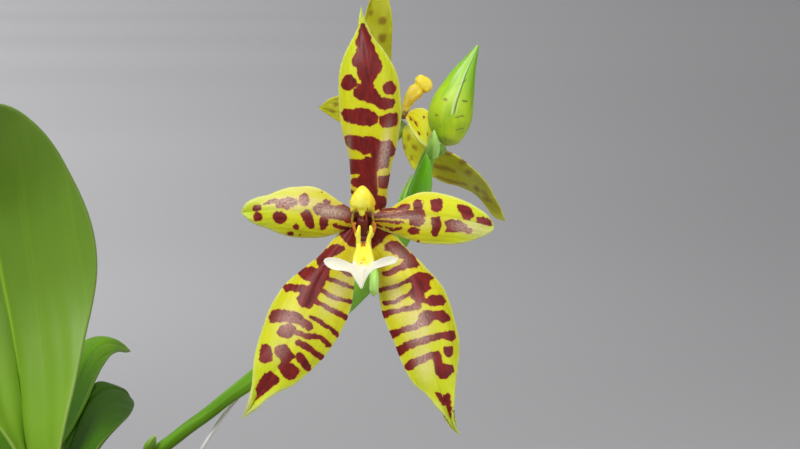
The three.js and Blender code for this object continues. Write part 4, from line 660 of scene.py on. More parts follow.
# ------------------------------------------------------------------ materials of the plant
def tepal_material(name, dull=0.0, seed=0.0):
    """Waxy yellow-green with maroon marks; spot, face, edge, along and loc come with the mesh."""
    g = Mat(name, Coat_Weight=0.14 if not dull else 0.06, Coat_Roughness=0.33, Coat_IOR=1.5, IOR=1.45, Specular_IOR_Level=0.3, Subsurface_Weight=0.12, Subsurface_Scale=0.0008,
            Subsurface_Radius=(1.0, 0.7, 0.15))
    loc = g.vec("loc")
    along, face, edge = g.attr("along"), g.attr("face"), g.attr("edge")
    front = g.step(face, -0.25, 0.25)
    blotch = g.noise(g.scaled(loc, (0.35, 0.22, 1)), 1.0, 2.0)
    streak = g.noise(g.scaled(loc, (3.2, 0.16, 1)), 1.0, 3.0, 0.6)
    fine = g.noise(g.scaled(loc, (6.5, 4.0, 1)), 1.0, 2.0, 0.55)
    ground = g.ramp(along, [(0.0, lin(206, 180, 4)), (0.28, lin(204, 200, 6)), (0.68, lin(196, 204, 10)), (0.93, lin(190, 208, 26)), (1.0, lin(160, 200, 34))])
    ground = g.mix(g.step(blotch, 0.35, 0.7), ground, g.ramp(along, [(0.0, lin(214, 196, 16)), (0.6, lin(210, 212, 26)), (1.0, lin(192, 214, 50))]))
    ground = g.mix(g.math("MULTIPLY", g.step(streak, 0.45, 0.75), 0.3), ground, lin(216, 216, 50))
    # thin, paler margin
    rim = g.math("SUBTRACT", 1.0, g.step(edge, 0.05, 0.5))
    ground = g.mix(g.math("MULTIPLY", rim, 0.75), ground, lin(214, 220, 128))
    # marks
    field = g.math("ADD", g.attr("spot"), g.math("MULTIPLY", g.math("SUBTRACT", g.noise(g.scaled(loc, (4.5, 4.5, 1)), 1.0, 3.0, 0.6), 0.5), 1.1))
    mask = g.step(field, -0.32, 0.36)
    halo = g.math("MULTIPLY", g.step(field, -1.5, -0.1), 0.35)
    ground = g.mix(halo, ground, lin(190, 140, 26))
    maroon = g.mix(g.step(g.noise(g.scaled(loc, (1.3, 0.5, 1)), 1.0, 3.0, 0.6), 0.3, 0.72), lin(92, 8, 8), lin(130, 20, 16))
    maroon = g.mix(g.step(streak, 0.5, 0.8, 0.0, 0.5), maroon, lin(150, 52, 40))
    maroon = g.mix(g.step(field, 0.0, 1.4, 0.55, 0.0), maroon, lin(148, 44, 24))
    inner = g.mix(mask, ground, maroon)
    # the outer side is paler, and the marks only show through it
    pale = g.mix(g.step(blotch, 0.3, 0.7), lin(190, 188, 24), lin(210, 212, 56))
    pale = g.mix(g.step(along, 0.0, 0.35, 0.5, 0.0), pale, lin(186, 186, 30))
    soft = g.math("MULTIPLY", g.step(field, -2.0, 2.2), 0.66)
    outer = g.mix(soft, pale, lin(128, 66, 26))
    colour = g.mix(front, outer, inner)
    # a pale painted sheen, a highlight laid into the colour, lies on parts of the face
    grain = g.step(g.noise(g.scaled(loc, (5.0, 3.2, 1)), 1.0, 3.0, 0.65), 0.32, 0.62, 0.4, 1.0)
    colour = g.mix(g.math("MULTIPLY", g.attr("clay_bloom_and_painted_sheen"), grain), colour, lin(238, 216, 198))
    rough = g.lerp(fine, 0.36, 0.56)
    ridge = g.noise(g.scaled(loc, (4.6, 0.1, 1)), 1.0, 2.0, 0.5)
    cells = g.voronoi(g.scaled(loc, (8.5, 6.0, 1)), 1.0)
    nrm = g.bump(ridge, 0.5, 0.045)
    nrm = g.bump(cells, 0.8, 0.034, nrm)
    nrm = g.bump(g.noise(g.scaled(loc, (0.9, 0.5, 1)), 1.0, 2.0), 0.5, 0.10, nrm)
    g.set(Base_Color=colour, Roughness=rough, Normal=nrm)
    return g.m


def leaf_material(name, low, mid, top, rib, under, coat):
    g = Mat(name, Coat_Weight=coat, Coat_Roughness=0.35, Specular_IOR_Level=0.3 if coat else 0.08, Subsurface_Weight=0.06, Subsurface_Scale=0.001, Subsurface_Radius=(0.5, 1.0, 0.2))
    loc, along, across, face = g.vec("loc"), g.attr("along"), g.attr("across"), g.attr("face")
    ground = g.ramp(along, [(0.0, low), (0.22, low), (0.55, mid), (1.0, top)])
    cloud = g.noise(g.scaled(loc, (0.07, 0.035, 1)), 1.0, 3.0, 0.55)
    ground = g.mix(g.step(cloud, 0.38, 0.68, 0.0, 0.35), ground, g.mix(0.5, ground, lin(64, 100, 34)))
    veins = g.noise(g.scaled(loc, (1.15, 0.012, 1)), 1.0, 2.0, 0.4)
    ground = g.mix(g.step(veins, 0.5, 0.72, 0.0, 0.1), ground, rib)
    x = g.math("ABSOLUTE", g.part(loc, 0))
    ribm = g.math("MULTIPLY", g.step(x, 0.15, 1.1, 1.0, 0.0), g.step(along, 0.75, 0.98, 0.85, 0.1))
    ground = g.mix(ribm, ground, rib)
    margin = g.step(g.attr("edge"), 0.1, 0.7, 0.4, 0.0)
    ground = g.mix(margin, ground, lin(128, 150, 70))
    speck = g.step(g.noise(g.scaled(loc, (2.2, 1.6, 1)), 1.0, 2.0, 0.6), 0.68, 0.8, 0.0, 0.18)
    ground = g.mix(speck, ground, lin(70, 100, 30))
    front = g.step(face, -0.25, 0.25)
    colour = g.mix(front, g.mix(0.55, ground, under), ground)
    fine = g.noise(g.scaled(loc, (7.0, 5.0, 1)), 1.0, 3.0, 0.6)
    nrm = g.bump(veins, 0.2, 0.06)
    nrm = g.bump(fine, 0.25, 0.03, nrm)
    nrm = g.bump(g.noise(g.scaled(loc, (0.16, 0.06, 1)), 1.0, 2.0), 0.5, 0.5, nrm)
    g.set(Base_Color=colour, Roughness=g.lerp(fine, 0.42, 0.56), Normal=nrm)
    return g.m


def green_material(name, base, tip, line, rough=0.42, seed=0.0):
    g = Mat(name, Coat_Weight=0.15, Coat_Roughness=0.3, Subsurface_Weight=0.08, Subsurface_Scale=0.0008, Subsurface_Radius=(0.6, 1.0, 0.2))
    loc, along = g.vec("loc"), g.attr("along")
    c = g.mix(g.step(along, 0.0, 1.0), base, tip)
    streak = g.noise(g.scaled(loc, (2.6, 2.6, 0.1)), 1.0, 3.0, 0.55)
    c = g.mix(g.step(streak, 0.42, 0.75, 0.0, 0.5), c, line)
    patch = g.noise(g.scaled(loc, (0.5, 0.5, 0.12)), 1.0, 2.0)
    c = g.mix(g.step(patch, 0.45, 0.75, 0.0, 0.35), c, g.mix(0.6, c, lin(60, 104, 24)))
    fine = g.noise(g.scaled(loc, (6.0, 6.0, 3.0)), 1.0, 2.0)
    nrm = g.bump(streak, 0.4, 0.06)
    nrm = g.bump(fine, 0.3, 0.02, nrm)
    g.set(Base_Color=c, Roughness=g.lerp(fine, rough - 0.06, rough + 0.08), Normal=nrm)
    return g.m


def blade_green(name, base, tip, vein, rough=0.45):
    g = Mat(name, Coat_Weight=0.12, Coat_Roughness=0.3, Subsurface_Weight=0.1, Subsurface_Scale=0.0006, Subsurface_Radius=(0.6, 1.0, 0.2))
    loc, along = g.vec("loc"), g.attr("along")
    c = g.mix(g.step(along, 0.1, 0.95), base, tip)
    veins = g.noise(g.scaled(loc, (4.2, 0.12, 1)), 1.0, 2.0, 0.5)
    c = g.mix(g.step(veins, 0.45, 0.7, 0.0, 0.55), c, vein)
    c = g.mix(g.step(g.attr("edge"), 0.02, 0.28, 0.75, 0.0), c, lin(176, 206, 110))
    nrm = g.bump(veins, 0.5, 0.05)
    g.set(Base_Color=c, Roughness=rough, Normal=nrm)
    return g.m


def painted_material(name, ground, paints, rough=0.42, sss=0.12, coat=0.15, grain=7.0, bump=0.02):
    """ground under masks carried by the mesh: paints = [(attribute, colour)]."""
    g = Mat(name, Coat_Weight=coat, Coat_Roughness=0.3, Subsurface_Weight=sss, Subsurface_Scale=0.0007, Subsurface_Radius=(1.0, 0.75, 0.35))
    loc = g.vec("loc")
    c = ground
    var = g.noise(g.scaled(loc, (1.6, 1.6, 1.6)), 1.0, 3.0, 0.55)
    c = g.mix(g.step(var, 0.35, 0.7, 0.0, 0.35), c, g.mix(0.5, ground, lin(255, 250, 205)))
    for a, col in paints:
        wob = g.math("ADD", g.attr(a), g.math("MULTIPLY", g.math("SUBTRACT", g.noise(g.scaled(loc, (3.3, 3.3, 3.3)), 1.0, 3.0, 0.6), 0.5), 0.35))
        c = g.mix(g.step(wob, 0.18, 0.82), c, col)
    fine = g.noise(g.scaled(loc, (grain, grain, grain)), 1.0, 2.0)
    g.set(Base_Color=c, Roughness=g.lerp(fine, rough - 0.05, rough + 0.1), Normal=g.bump(fine, 0.5, bump))
    return g.m


def clay_material():
    g = Mat("clay", Specular_IOR_Level=0.35)
    o = g.obj()
    z = g.part(o, 2)
    body = g.mix(g.step(g.noise(o, 55.0, 4.0, 0.6), 0.35, 0.7), lin(170, 92, 58), lin(188, 110, 74))
    body = g.mix(g.step(g.noise(o, 420.0, 3.0, 0.6), 0.5, 0.75, 0.0, 0.3), body, lin(150, 78, 50))
    speck = g.step(g.voronoi(o, 1500.0), 0.05, 0.16, 0.5, 0.0)
    body = g.mix(g.math("MULTIPLY", speck, g.step(g.noise(o, 200.0, 2.0), 0.5, 0.7)), body, lin(110, 60, 42))
    clay_bloom_and_painted_sheen = g.math("MULTIPLY", g.step(g.noise(g.scaled(o, (1, 1, 0.45)), 34.0, 5.0, 0.65, 0.6), 0.5, 0.72), g.step(z, 0.0, 0.07, 0.75, 0.35))
    body = g.mix(clay_bloom_and_painted_sheen, body, lin(214, 196, 178))
    low = g.step(z, 0.0, 0.018, 0.4, 0.0)
    body = g.mix(low, body, lin(132, 74, 50))
    inside = g.attr("inside")
    body = g.mix(g.math("MULTIPLY", inside, 0.5), body, lin(128, 74, 52))
    grit = g.noise(o, 1700.0, 4.0, 0.7)
    turn = g.noise(g.scaled(o, (0.4, 0.4, 16.0)), 90.0, 2.0, 0.5)
    nrm = g.bump(turn, 0.35, 0.12)
    nrm = g.bump(grit, 0.5, 0.09, nrm)
    g.set(Base_Color=body, Roughness=g.lerp(grit, 0.78, 0.94), Normal=nrm)
    return g.m


def bark_material(name, warm=0.0):
    g = Mat(name, Specular_IOR_Level=0.3)
    o, tone, loc = g.obj(), g.attr("tone"), g.vec("loc")
    layer = g.noise(g.scaled(loc, (0.25, 0.25, 2.6)), 1.0, 4.0, 0.6, 0.4)
    fibre = g.noise(g.scaled(loc, (0.28, 2.8, 2.8)), 1.0, 4.0, 0.6)
    c = g.ramp(tone, [(0.0, lin(62, 40, 27)), (0.35, lin(96, 62, 40)), (0.7, lin(128, 86, 56)), (1.0, lin(150, 112, 78))])
    c = g.mix(g.step(layer, 0.42, 0.62, 0.0, 0.75), c, lin(52, 33, 23))
    c = g.mix(g.step(fibre, 0.5, 0.72, 0.0, 0.5), c, lin(164, 118, 78))
    c = g.mix(g.step(g.noise(o, 160.0, 3.0), 0.58, 0.72, 0.0, 0.45), c, lin(120, 112, 92))
    nrm = g.bump(layer, 0.8, 0.35)
    nrm = g.bump(fibre, 0.7, 0.16, nrm)
    g.set(Base_Color=c, Roughness=g.lerp(fibre, 0.75, 0.95), Normal=nrm)
    return g.m


def root_material():
    g = Mat("root_velamen", Sheen_Weight=0.15)
    loc, along = g.vec("loc"), g.attr("along")
    c = g.mix(g.step(g.noise(g.scaled(loc, (0.5, 0.5, 0.22)), 1.0, 4.0, 0.6), 0.35, 0.7), lin(150, 156, 128), lin(186, 188, 172))
    c = g.mix(g.step(g.noise(g.scaled(loc, (1.8, 1.8, 0.5)), 1.0, 3.0, 0.65), 0.52, 0.72, 0.0, 0.6), c, lin(122, 134, 92))
    c = g.mix(g.step(along, 0.72, 1.0, 0.0, 0.55), c, lin(128, 104, 74))
    c = g.mix(g.step(along, 0.0, 0.12, 0.6, 0.0), c, lin(112, 140, 66))
    h = g.noise(g.scaled(loc, (2.6, 2.6, 1.2)), 1.0, 4.0, 0.65)
    nrm = g.bump(g.noise(g.scaled(loc, (0.8, 0.8, 0.9)), 1.0, 3.0), 0.6, 0.22)
    nrm = g.bump(h, 0.5, 0.08, nrm)
    g.set(Base_Color=c, Roughness=g.lerp(h, 0.68, 0.9), Normal=nrm)
    return g.m


def wire_material():
    g = Mat("galvanised_wire", Metallic=0.45)
    loc = g.vec("loc")
    n = g.noise(g.scaled(loc, (3.0, 3.0, 0.6)), 1.0, 4.0, 0.6)
    c = g.mix(g.step(n, 0.35, 0.7), lin(236, 236, 232), lin(214, 214, 210))
    c = g.mix(g.step(g.noise(g.scaled(loc, (9, 9, 5)), 1.0, 2.0), 0.62, 0.75, 0.0, 0.5), c, lin(150, 148, 140))
    g.set(Base_Color=c, Roughness=g.lerp(n, 0.38, 0.6), Normal=g.bump(n, 0.4, 0.02))
    return g.m


M_TEPAL = tepal_material("tepal_barred")
M_TEPAL_REAR = tepal_material("tepal_barred_rear", 0.001)
M_LEAF_A = leaf_material("leaf_broad", lin(122, 164, 40), lin(106, 144, 36), lin(106, 144, 40), lin(138, 180, 38), lin(124, 150, 60), 0.1)
M_LEAF_B = leaf_material("leaf_mid", lin(98, 172, 0), lin(92, 160, 0), lin(112, 156, 24), lin(112, 168, 10), lin(98, 148, 16), 0.0)
M_LEAF_C = leaf_material("leaf_dark", lin(72, 124, 0), lin(58, 104, 0), lin(60, 100, 2), lin(80, 120, 8), lin(78, 116, 14), 0.0)
M_SPIKE = green_material("spike_green", lin(88, 142, 22), lin(118, 180, 26), lin(146, 198, 54))
M_PEDICEL = green_material("pedicel_green", lin(104, 160, 24), lin(130, 158, 62), lin(162, 196, 76))
M_STEM = green_material("stem_green", lin(100, 124, 44), lin(116, 186, 30), lin(160, 190, 80), 0.45)
M_BRACT = blade_green("bract_green", lin(112, 200, 0), lin(120, 210, 0), lin(140, 220, 16))
M_BRACT_PALE = blade_green("bract_pale", lin(172, 232, 92), lin(190, 240, 120), lin(212, 246, 156))
M_SHEATH = blade_green("sheath_green", lin(108, 158, 40), lin(126, 166, 54), lin(144, 182, 78))
M_CLAY, M_BARK, M_CHIP = clay_material(), bark_material("bark_fine"), bark_material("bark_chip")
M_ROOT, M_WIRE = root_material(), wire_material()


# ------------------------------------------------------------------ the pot
POT_H, BASE_R, BODY_R, RIM_R, BAND, WALL, FLOOR_T = 80.0, 31.0, 40.0, 45.0, 17.0, 4.2, 5.0


def inner_r(z):
    return 26.8 + 11.2 * z / (POT_H - BAND)


def make_pot():
    pts = [
        (0.0, 0.45), (BASE_R - 4.0, 0.45), (BASE_R - 2.6, 0.1), (BASE_R - 1.6, 0.0), (BASE_R - 0.5, 0.25), (BASE_R, 1.1),
        (BODY_R, POT_H - BAND), (BODY_R + 1.4, POT_H - BAND + 0.05), (RIM_R - 2.0, POT_H - BAND + 0.7), (RIM_R - 1.6, POT_H - BAND + 2.0),
        (RIM_R - 0.1, POT_H - 2.2), (RIM_R - 0.25, POT_H - 1.0), (RIM_R - 1.1, POT_H - 0.2), (RIM_R - 2.4, POT_H),
        (inner_r(POT_H) + 1.0, POT_H - 0.45), (inner_r(POT_H) + 0.1, POT_H - 1.8), (inner_r(POT_H - 4), POT_H - 4),
        (inner_r(FLOOR_T + 3), FLOOR_T + 3), (inner_r(FLOOR_T) - 2.4, FLOOR_T + 0.3), (inner_r(FLOOR_T) - 4, FLOOR_T), (0.0, FLOOR_T),
    ]
    prof = []
    for (r0, z0), (r1, z1) in zip(pts, pts[1:]):
        k = max(1, int(math.hypot(r1 - r0, z1 - z0) / 2.4))
        prof += [(r0 + (r1 - r0) * i / k, z0 + (z1 - z0) * i / k) for i in range(k)]
    prof.append(pts[-1])
    prof = np.array(prof)
    sides = 160
    ang = np.linspace(0, 2 * math.pi, sides, endpoint=False)
    body = prof[1:-1]
    A, Rr = np.meshgrid(ang, body[:, 0])
    Z = np.repeat(body[:, 1][:, None], sides, 1)
    outer = np.arange(len(body)) < next(i for i, p in enumerate(body) if abs(p[1] - POT_H) < 1e-6)
    wob = 0.16 * fbm(np.cos(A) * 1.4, np.sin(A) * 1.4, Z / 26, seed=3) + 0.05 * vnoise(np.cos(A) * 0.3, np.sin(A) * 0.3, Z / 2.1, seed=8)
    wob = wob * (Z > 1.5)
    Rn = Rr + np.where(outer[:, None], np.minimum(wob, 0.12), wob * 0.6)
    Zn = Z + np.where(np.abs(Z - POT_H) < 1.2, 0.12 * fbm(np.cos(A) * 2, np.sin(A) * 2, 0.5, seed=12) - 0.12, 0)
    V = np.stack([Rn * np.cos(A), Rn * np.sin(A), Zn], -1).reshape(-1, 3)
    ids = np.arange(len(body) * sides).reshape(len(body), sides)
    nx = np.roll(ids, -1, 1)
    faces = np.stack([ids[:-1], nx[:-1], nx[1:], ids[1:]], -1).reshape(-1, 4).tolist()
    V = np.vstack([V, [[0, 0, 0.45], [0, 0, FLOOR_T]]])
    c0, c1 = len(V) - 2, len(V) - 1
    for k in range(sides):
        faces.append([ids[0, (k + 1) % sides], ids[0, k], c0])
        faces.append([ids[-1, k], ids[-1, (k + 1) % sides], c1])
    ob = mesh_object("pot_fine", V, faces)
    bm = bmesh.new()
    for k in range(5):
        a = math.pi / 2 + k * 2 * math.pi / 5
        bmesh.ops.create_cone(bm, cap_ends=True, segments=40, radius1=4 * MM, radius2=4 * MM, depth=12 * MM,
                              matrix=Matrix.Translation((17 * math.cos(a) * MM, 17 * math.sin(a) * MM, 2.5 * MM)))
    cm = bpy.data.meshes.new("cut")
    bm.to_mesh(cm)
    bm.free()
    cut = bpy.data.objects.new("cut", cm)
    bpy.context.scene.collection.objects.link(cut)
    m = ob.modifiers.new("holes", "BOOLEAN")
    m.operation, m.object, m.solver = "DIFFERENCE", cut, "EXACT"
    me = bpy.data.meshes.new_from_object(ob.evaluated_get(bpy.context.evaluated_depsgraph_get()))
    ob.modifiers.clear()
    ob.data = me
    bpy.data.objects.remove(cut)
    me.shade_smooth()
    co = co_mm(ob)
    r = np.hypot(co[:, 0], co[:, 1])
    put_attr(me, "inside", ((r < inner_r(co[:, 2]) + 1.6) & (co[:, 2] > 1)).astype(float))
    place(ob, "pot", M_CLAY)


make_pot()

# ------------------------------------------------------------------ bark
BARK_TOP, BARK_CROWN = 72.5, 74.0
ROOTS = {
    "root_1": [(5.8, -0.3, 78.7), (9.5, -0.9, 81.5), (16.5, -3.2, 80.2), (23.5, -7.2, 76.6), (28.5, -10.4, 72), (31, -12, 66.5)],
    "root_2": [(-5.3, -1.9, 77.9), (-10, -3.6, 80), (-17.5, -7, 78.4), (-24, -10.5, 75.8), (-29.5, -13, 72), (-32, -14.5, 66.5)],
    "root_3": [(-2.7, 4.9, 76.9), (-6, 9.5, 79.4), (-10.5, 16.5, 78), (-14, 22.5, 75.4), (-17, 27.5, 71.4), (-18.5, 30.5, 66)],
    "root_4": [(3.4, 4.15, 76.6), (7.2, 9, 78.6), (12, 15.2, 77.4), (16.5, 20.5, 74.6), (20, 24.6, 70.6), (22, 27, 65.5)],
}
CHIPS = [
    (29.5, 0.5, 20, 4, 9, 6), (20.5, 8.5, -50, -3, 8, 5.6), (2.5, 28.5, 10, 4, 10, 6), (-6.5, 33.5, 70, -4, 8, 5.4), (-27.5, 6.5, 95, 5, 9.5, 6),
    (-24.5, -24, 40, -4, 9, 6), (-11, -20.5, -20, 3, 8, 6), (2.5, -27, 5, -4, 10, 6.4), (14.5, -27.5, 60, 4, 8, 5.6), (-23.5, 17, -35, 3, 8, 5.4),
]
WIRE = [(1.1, -4.02, 62), (24.27, -7.47, 105.45), (25.1, -8.75, 106.35)]


def root_line(name):
    C, L = catmull(ROOTS[name], 120)
    return C


def bed_level(r):
    return np.where(r > 26, BARK_TOP + 0.7 * np.clip((37.5 - r) / 11.5, 0, 1), BARK_TOP + 0.7 + np.clip((26 - r) / 12, 0, 1) * 0.8)


def chip_mesh(rng, l, w, t, detail):
    """One piece of bark about its own centre: a flat, broken slab."""
    n = rng.integers(11, 16)
    pts = []
    for _ in range(n):
        a = rng.uniform(0, 2 * math.pi)
        rr = rng.uniform(0.72, 1.0)
        pts.append((math.cos(a) * rr * l / 2, math.sin(a) * rr * w / 2, rng.choice([-1, 1]) * t / 2 * rng.uniform(0.6, 1.0)))
    for sx in (-1, 1):
        pts.append((sx * l / 2 * rng.uniform(0.9, 1), rng.uniform(-0.4, 0.4) * w, 0))
    bm = bmesh.new()
    for p in pts:
        bm.verts.new(p)
    bmesh.ops.convex_hull(bm, input=bm.verts)
    for v in [v for v in bm.verts if not v.link_faces]:
        bm.verts.remove(v)
    bmesh.ops.dissolve_limit(bm, angle_limit=0.12, verts=bm.verts, edges=bm.edges)
    bmesh.ops.bevel(bm, geom=list(bm.edges), offset=min(t, w) * 0.11, segments=1, affect="EDGES", profile=0.6, clamp_overlap=True)
    bmesh.ops.triangulate(bm, faces=bm.faces)
    if detail:
        for _ in range(detail):
            bmesh.ops.subdivide_edges(bm, edges=[e for e in bm.edges if e.calc_length() > (1.1 if _ == 0 else 0.65)], cuts=1, use_grid_fill=True)
            bmesh.ops.triangulate(bm, faces=bm.faces)
    bm.normal_update()
    bm.verts.index_update()
    co = np.array([v.co[:] for v in bm.verts])
    no = np.array([v.normal[:] for v in bm.verts])
    fc = [[v.index for v in f.verts] for f in bm.faces]
    bm.free()
    s = rng.integers(0, 9999)
    amp = 0.16 if detail else 0.07
    # layers along the slab, and fibres along its length
    d = amp * vnoise(co[:, 0] / 2.6, co[:, 1] / 1.1, co[:, 2] / 0.45, seed=int(s)) + 0.5 * amp * vnoise(co[:, 0] / 1.1, co[:, 1] / 0.5, co[:, 2] / 0.25, seed=int(s) + 1)
    return co + no * d[:, None], fc, co


def euler(tx, ty, tz):
    return np.array(Matrix.Rotation(tz, 3, "Z") @ Matrix.Rotation(ty, 3, "Y") @ Matrix.Rotation(tx, 3, "X"))


def make_bark():
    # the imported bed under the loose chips
    sides, rings = 120, 34
    prof = [(inner_r(FLOOR_T) - 3.6, FLOOR_T + 0.35), (inner_r(FLOOR_T + 3) - 0.7, FLOOR_T + 3.4)]
    prof += [(inner_r(z) - 0.5, z) for z in np.linspace(12, BARK_TOP - 2.4, 12)]
    top = [(r, 0) for r in np.linspace(inner_r(BARK_TOP) - 0.9, 6.2, rings)]
    ang = np.linspace(0, 2 * math.pi, sides, endpoint=False)
    rows = []
    for r, z in prof:
        rr = r - 0.25 * np.abs(vnoise(np.cos(ang) * 6, np.sin(ang) * 6, z / 3, seed=2))
        rows.append(np.stack([rr * np.cos(ang), rr * np.sin(ang), np.full(sides, z)], 1))
    lines = np.vstack([root_line(k) for k in ROOTS])
    for i, (r, _) in enumerate(top):
        x, y = r * np.cos(ang), r * np.sin(ang)
        z = bed_level(np.full(sides, r)) - 1.3 + 0.8 * fbm(x / 5, y / 5, octaves=3, seed=21)
        if i == 0:
            z -= 0.8
        d = np.sqrt(((np.stack([x, y], 1)[:, None] - lines[None, :, :2]) ** 2).sum(-1))
        near = lines[d.argmin(1)]
        low = (d.min(1) < 3.4) & (near[:, 2] - 2.2 < z)
        z = np.where(low, np.minimum(z, np.maximum(near[:, 2] - 2.5, 63.0)), z)
        rows.append(np.stack([x, y, z], 1))
    G = np.stack(rows)
    ids = np.arange(G.shape[0] * sides).reshape(G.shape[0], sides)
    nx = np.roll(ids, -1, 1)
    faces = np.stack([ids[:-1], nx[:-1], nx[1:], ids[1:]], -1).reshape(-1, 4).tolist()
    # a socket round the stem
    V = G.reshape(-1, 3)
    n = len(V)
    sock = np.stack([5.3 * np.cos(ang), 5.3 * np.sin(ang), np.full(sides, 71.0)], 1)
    V = np.vstack([V, sock, [[0, 0, 65.2]], [[0, 0, FLOOR_T + 0.35]]])
    s_ids = n + np.arange(sides)
    for k in range(sides):
        k2 = (k + 1) % sides
        faces.append([ids[-1, k], ids[-1, k2], s_ids[k2], s_ids[k]])
        faces.append([s_ids[k], s_ids[k2], n + sides])
        faces.append([ids[0, k2], ids[0, k], n + sides + 1])
    allv, allf, tone, locs = [V], list(faces), [np.full(len(V), 0.12)], [V * 1.0]
    count = len(V)

    rng = np.random.default_rng(41)
    hero = [(x, y) for x, y, *_ in CHIPS]
    wp = np.array([(1.1 + (24.27 - 1.1) * t, -4.02 + (-3.45) * t, 62 + 43.45 * t) for t in np.linspace(0, 0.5, 40)])
    placed = []

    def clear(x, y, z, rad, gap_and_painted_shade):
        if math.hypot(x, y) > inner_r(z) - rad - 0.8 or math.hypot(x, y) < 5.6 + rad * 0.92:
            return False
        if np.sqrt(((wp - (x, y, z)) ** 2).sum(1)).min() < rad + 0.7:
            return False
        if np.sqrt(((lines - (x, y, z)) ** 2).sum(1)).min() < rad * 0.82 + 2.25:
            return False
        for (hx, hy), c in zip(hero, CHIPS):
            if math.hypot(x - hx, y - hy) < rad + c[4] * 0.5 + 0.1 and z > 71.2:
                return False
        return all((x - a) ** 2 + (y - b) ** 2 + ((z - c) * 1.7) ** 2 > ((rad + r) * gap_and_painted_shade) ** 2 for a, b, c, r in placed)

    tries = 0
    while len(placed) < 330 and tries < 16000:
        tries += 1
        small = tries > 5000
        l = rng.uniform(3.2, 5.4) if small else rng.uniform(6.0, 10.5)
        w = l * rng.uniform(0.55, 0.85)
        t = l * rng.uniform(0.26, 0.42)
        a, r = rng.uniform(0, 2 * math.pi), 38 * math.sqrt(rng.uniform(0.02, 1))
        x, y = r * math.cos(a), r * math.sin(a)
        z = float(bed_level(np.array([r]))[0]) + rng.uniform(-0.7, 1.5 if small else 0.9) + (rng.uniform(0, 1.4) if tries > 9000 else 0)
        if not clear(x, y, z, l * 0.46, 0.62):
            continue
        placed.append((x, y, z, l * 0.46))
        v, f, raw = chip_mesh(rng, l, w, t, 0)
        R = euler(rng.normal(0, 0.3), rng.normal(0, 0.3), rng.uniform(0, 2 * math.pi))
        p = v @ R.T + (x, y, z)
        # stay inside the pot and off the roots
        rr = np.hypot(p[:, 0], p[:, 1])
        k = np.minimum(1, (inner_r(p[:, 2]) - 0.35) / np.maximum(rr, 1e-6))
        p[:, :2] *= k[:, None]
        d = np.sqrt(((p[:, None] - lines[None]) ** 2).sum(-1))
        j = d.argmin(1)
        push = np.clip(2.15 - d.min(1), 0, 3)[:, None]
        away = p - lines[j]
        p = p + push * away / np.maximum(np.linalg.norm(away, axis=1, keepdims=True), 1e-6)
        allv.append(p)
        allf += [[i + count for i in q] for q in f]
        tone.append(np.full(len(p), rng.uniform(0.15, 1.0)))
        locs.append(raw + rng.uniform(0, 50, 3))
        count += len(p)
    ob = mesh_object("bark_bed_fine", np.vstack(allv), allf, {"tone": np.concatenate(tone), "loc": np.vstack(locs)}, recalc=False)
    bm = bmesh.new()
    bm.from_mesh(ob.data)
    bmesh.ops.recalc_face_normals(bm, faces=bm.faces)
    bm.to_mesh(ob.data)
    bm.free()
    ob.data.set_sharp_from_angle(angle=math.radians(38))
    place(ob, "bark_bed", M_BARK)

    for i, (x, y, turn, tilt, l, w) in enumerate(CHIPS):
        rng = np.random.default_rng(500 + i)
        v, f, raw = chip_mesh(rng, l * 1.04, w * 1.5, 3.1, 2)
        lo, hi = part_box("bark_chip_%d" % (i + 1))
        c = (np.array(lo) + np.array(hi)) / 2 / MM
        R = euler(math.radians(tilt), 0, math.radians(turn))
        p = v @ R.T + c
        half = (np.array(hi) - np.array(lo)) / 2 / MM
        p = c + np.clip(p - c, -half * 1.02, half * 1.02)
        o = mesh_object("bark_chip_%d_fine" % (i + 1), p, f, {"tone": np.full(len(p), rng.uniform(0.35, 0.95)), "loc": raw + rng.uniform(0, 50, 3)})
        o.data.set_sharp_from_angle(angle=math.radians(42))
        place(o, "bark_chip_%d" % (i + 1), M_CHIP)


make_bark()


# ------------------------------------------------------------------ stem, roots, wire
def make_stem():
    pts = [(0, 0, 66, 2.4, 2.4), (0, 0, 67, 3.2, 3.2), (0, 0, 69.5, 4.0, 4.0), (0, 0, 73, 4.4, 4.4), (0, 0, 77, 4.6, 4.6), (0, 0, 81, 4.65, 4.65),
           (0, 0, 84, 4.6, 4.6), (0, 0.1, 86.6, 3.9, 4.0), (0.1, 0.3, 88, 2.2, 2.4)]

    def wob(s, a, length):
        k = 1 + 0.012 * fbm(np.cos(a) * 2, np.sin(a) * 2, s / 3, seed=4)
        for j, (c, ph) in enumerate([(5.2, 0), (8.6, 2.6), (11.8, 0.4), (14.9, 3.0), (17.8, 1.0)]):
            # the edge of an old leaf base: steps back above the ring
            h = c + 0.55 * np.cos(a - ph)
            k = k + 0.05 * np.exp(-((s - h) / 0.9) ** 2) * (s < h) + 0.012 * np.exp(-((s - h) / 0.28) ** 2) - 0.03 * np.exp(-((s - h - 0.35) / 0.3) ** 2)
        return np.minimum(k, 1.03)

    v, f, at_ = sweep(pts, 150, 72, depth_axis=(0, 1, 0), wobble=wob)
    place(mesh_object("plant_stem_fine", v, f, at_), "plant_stem", M_STEM)


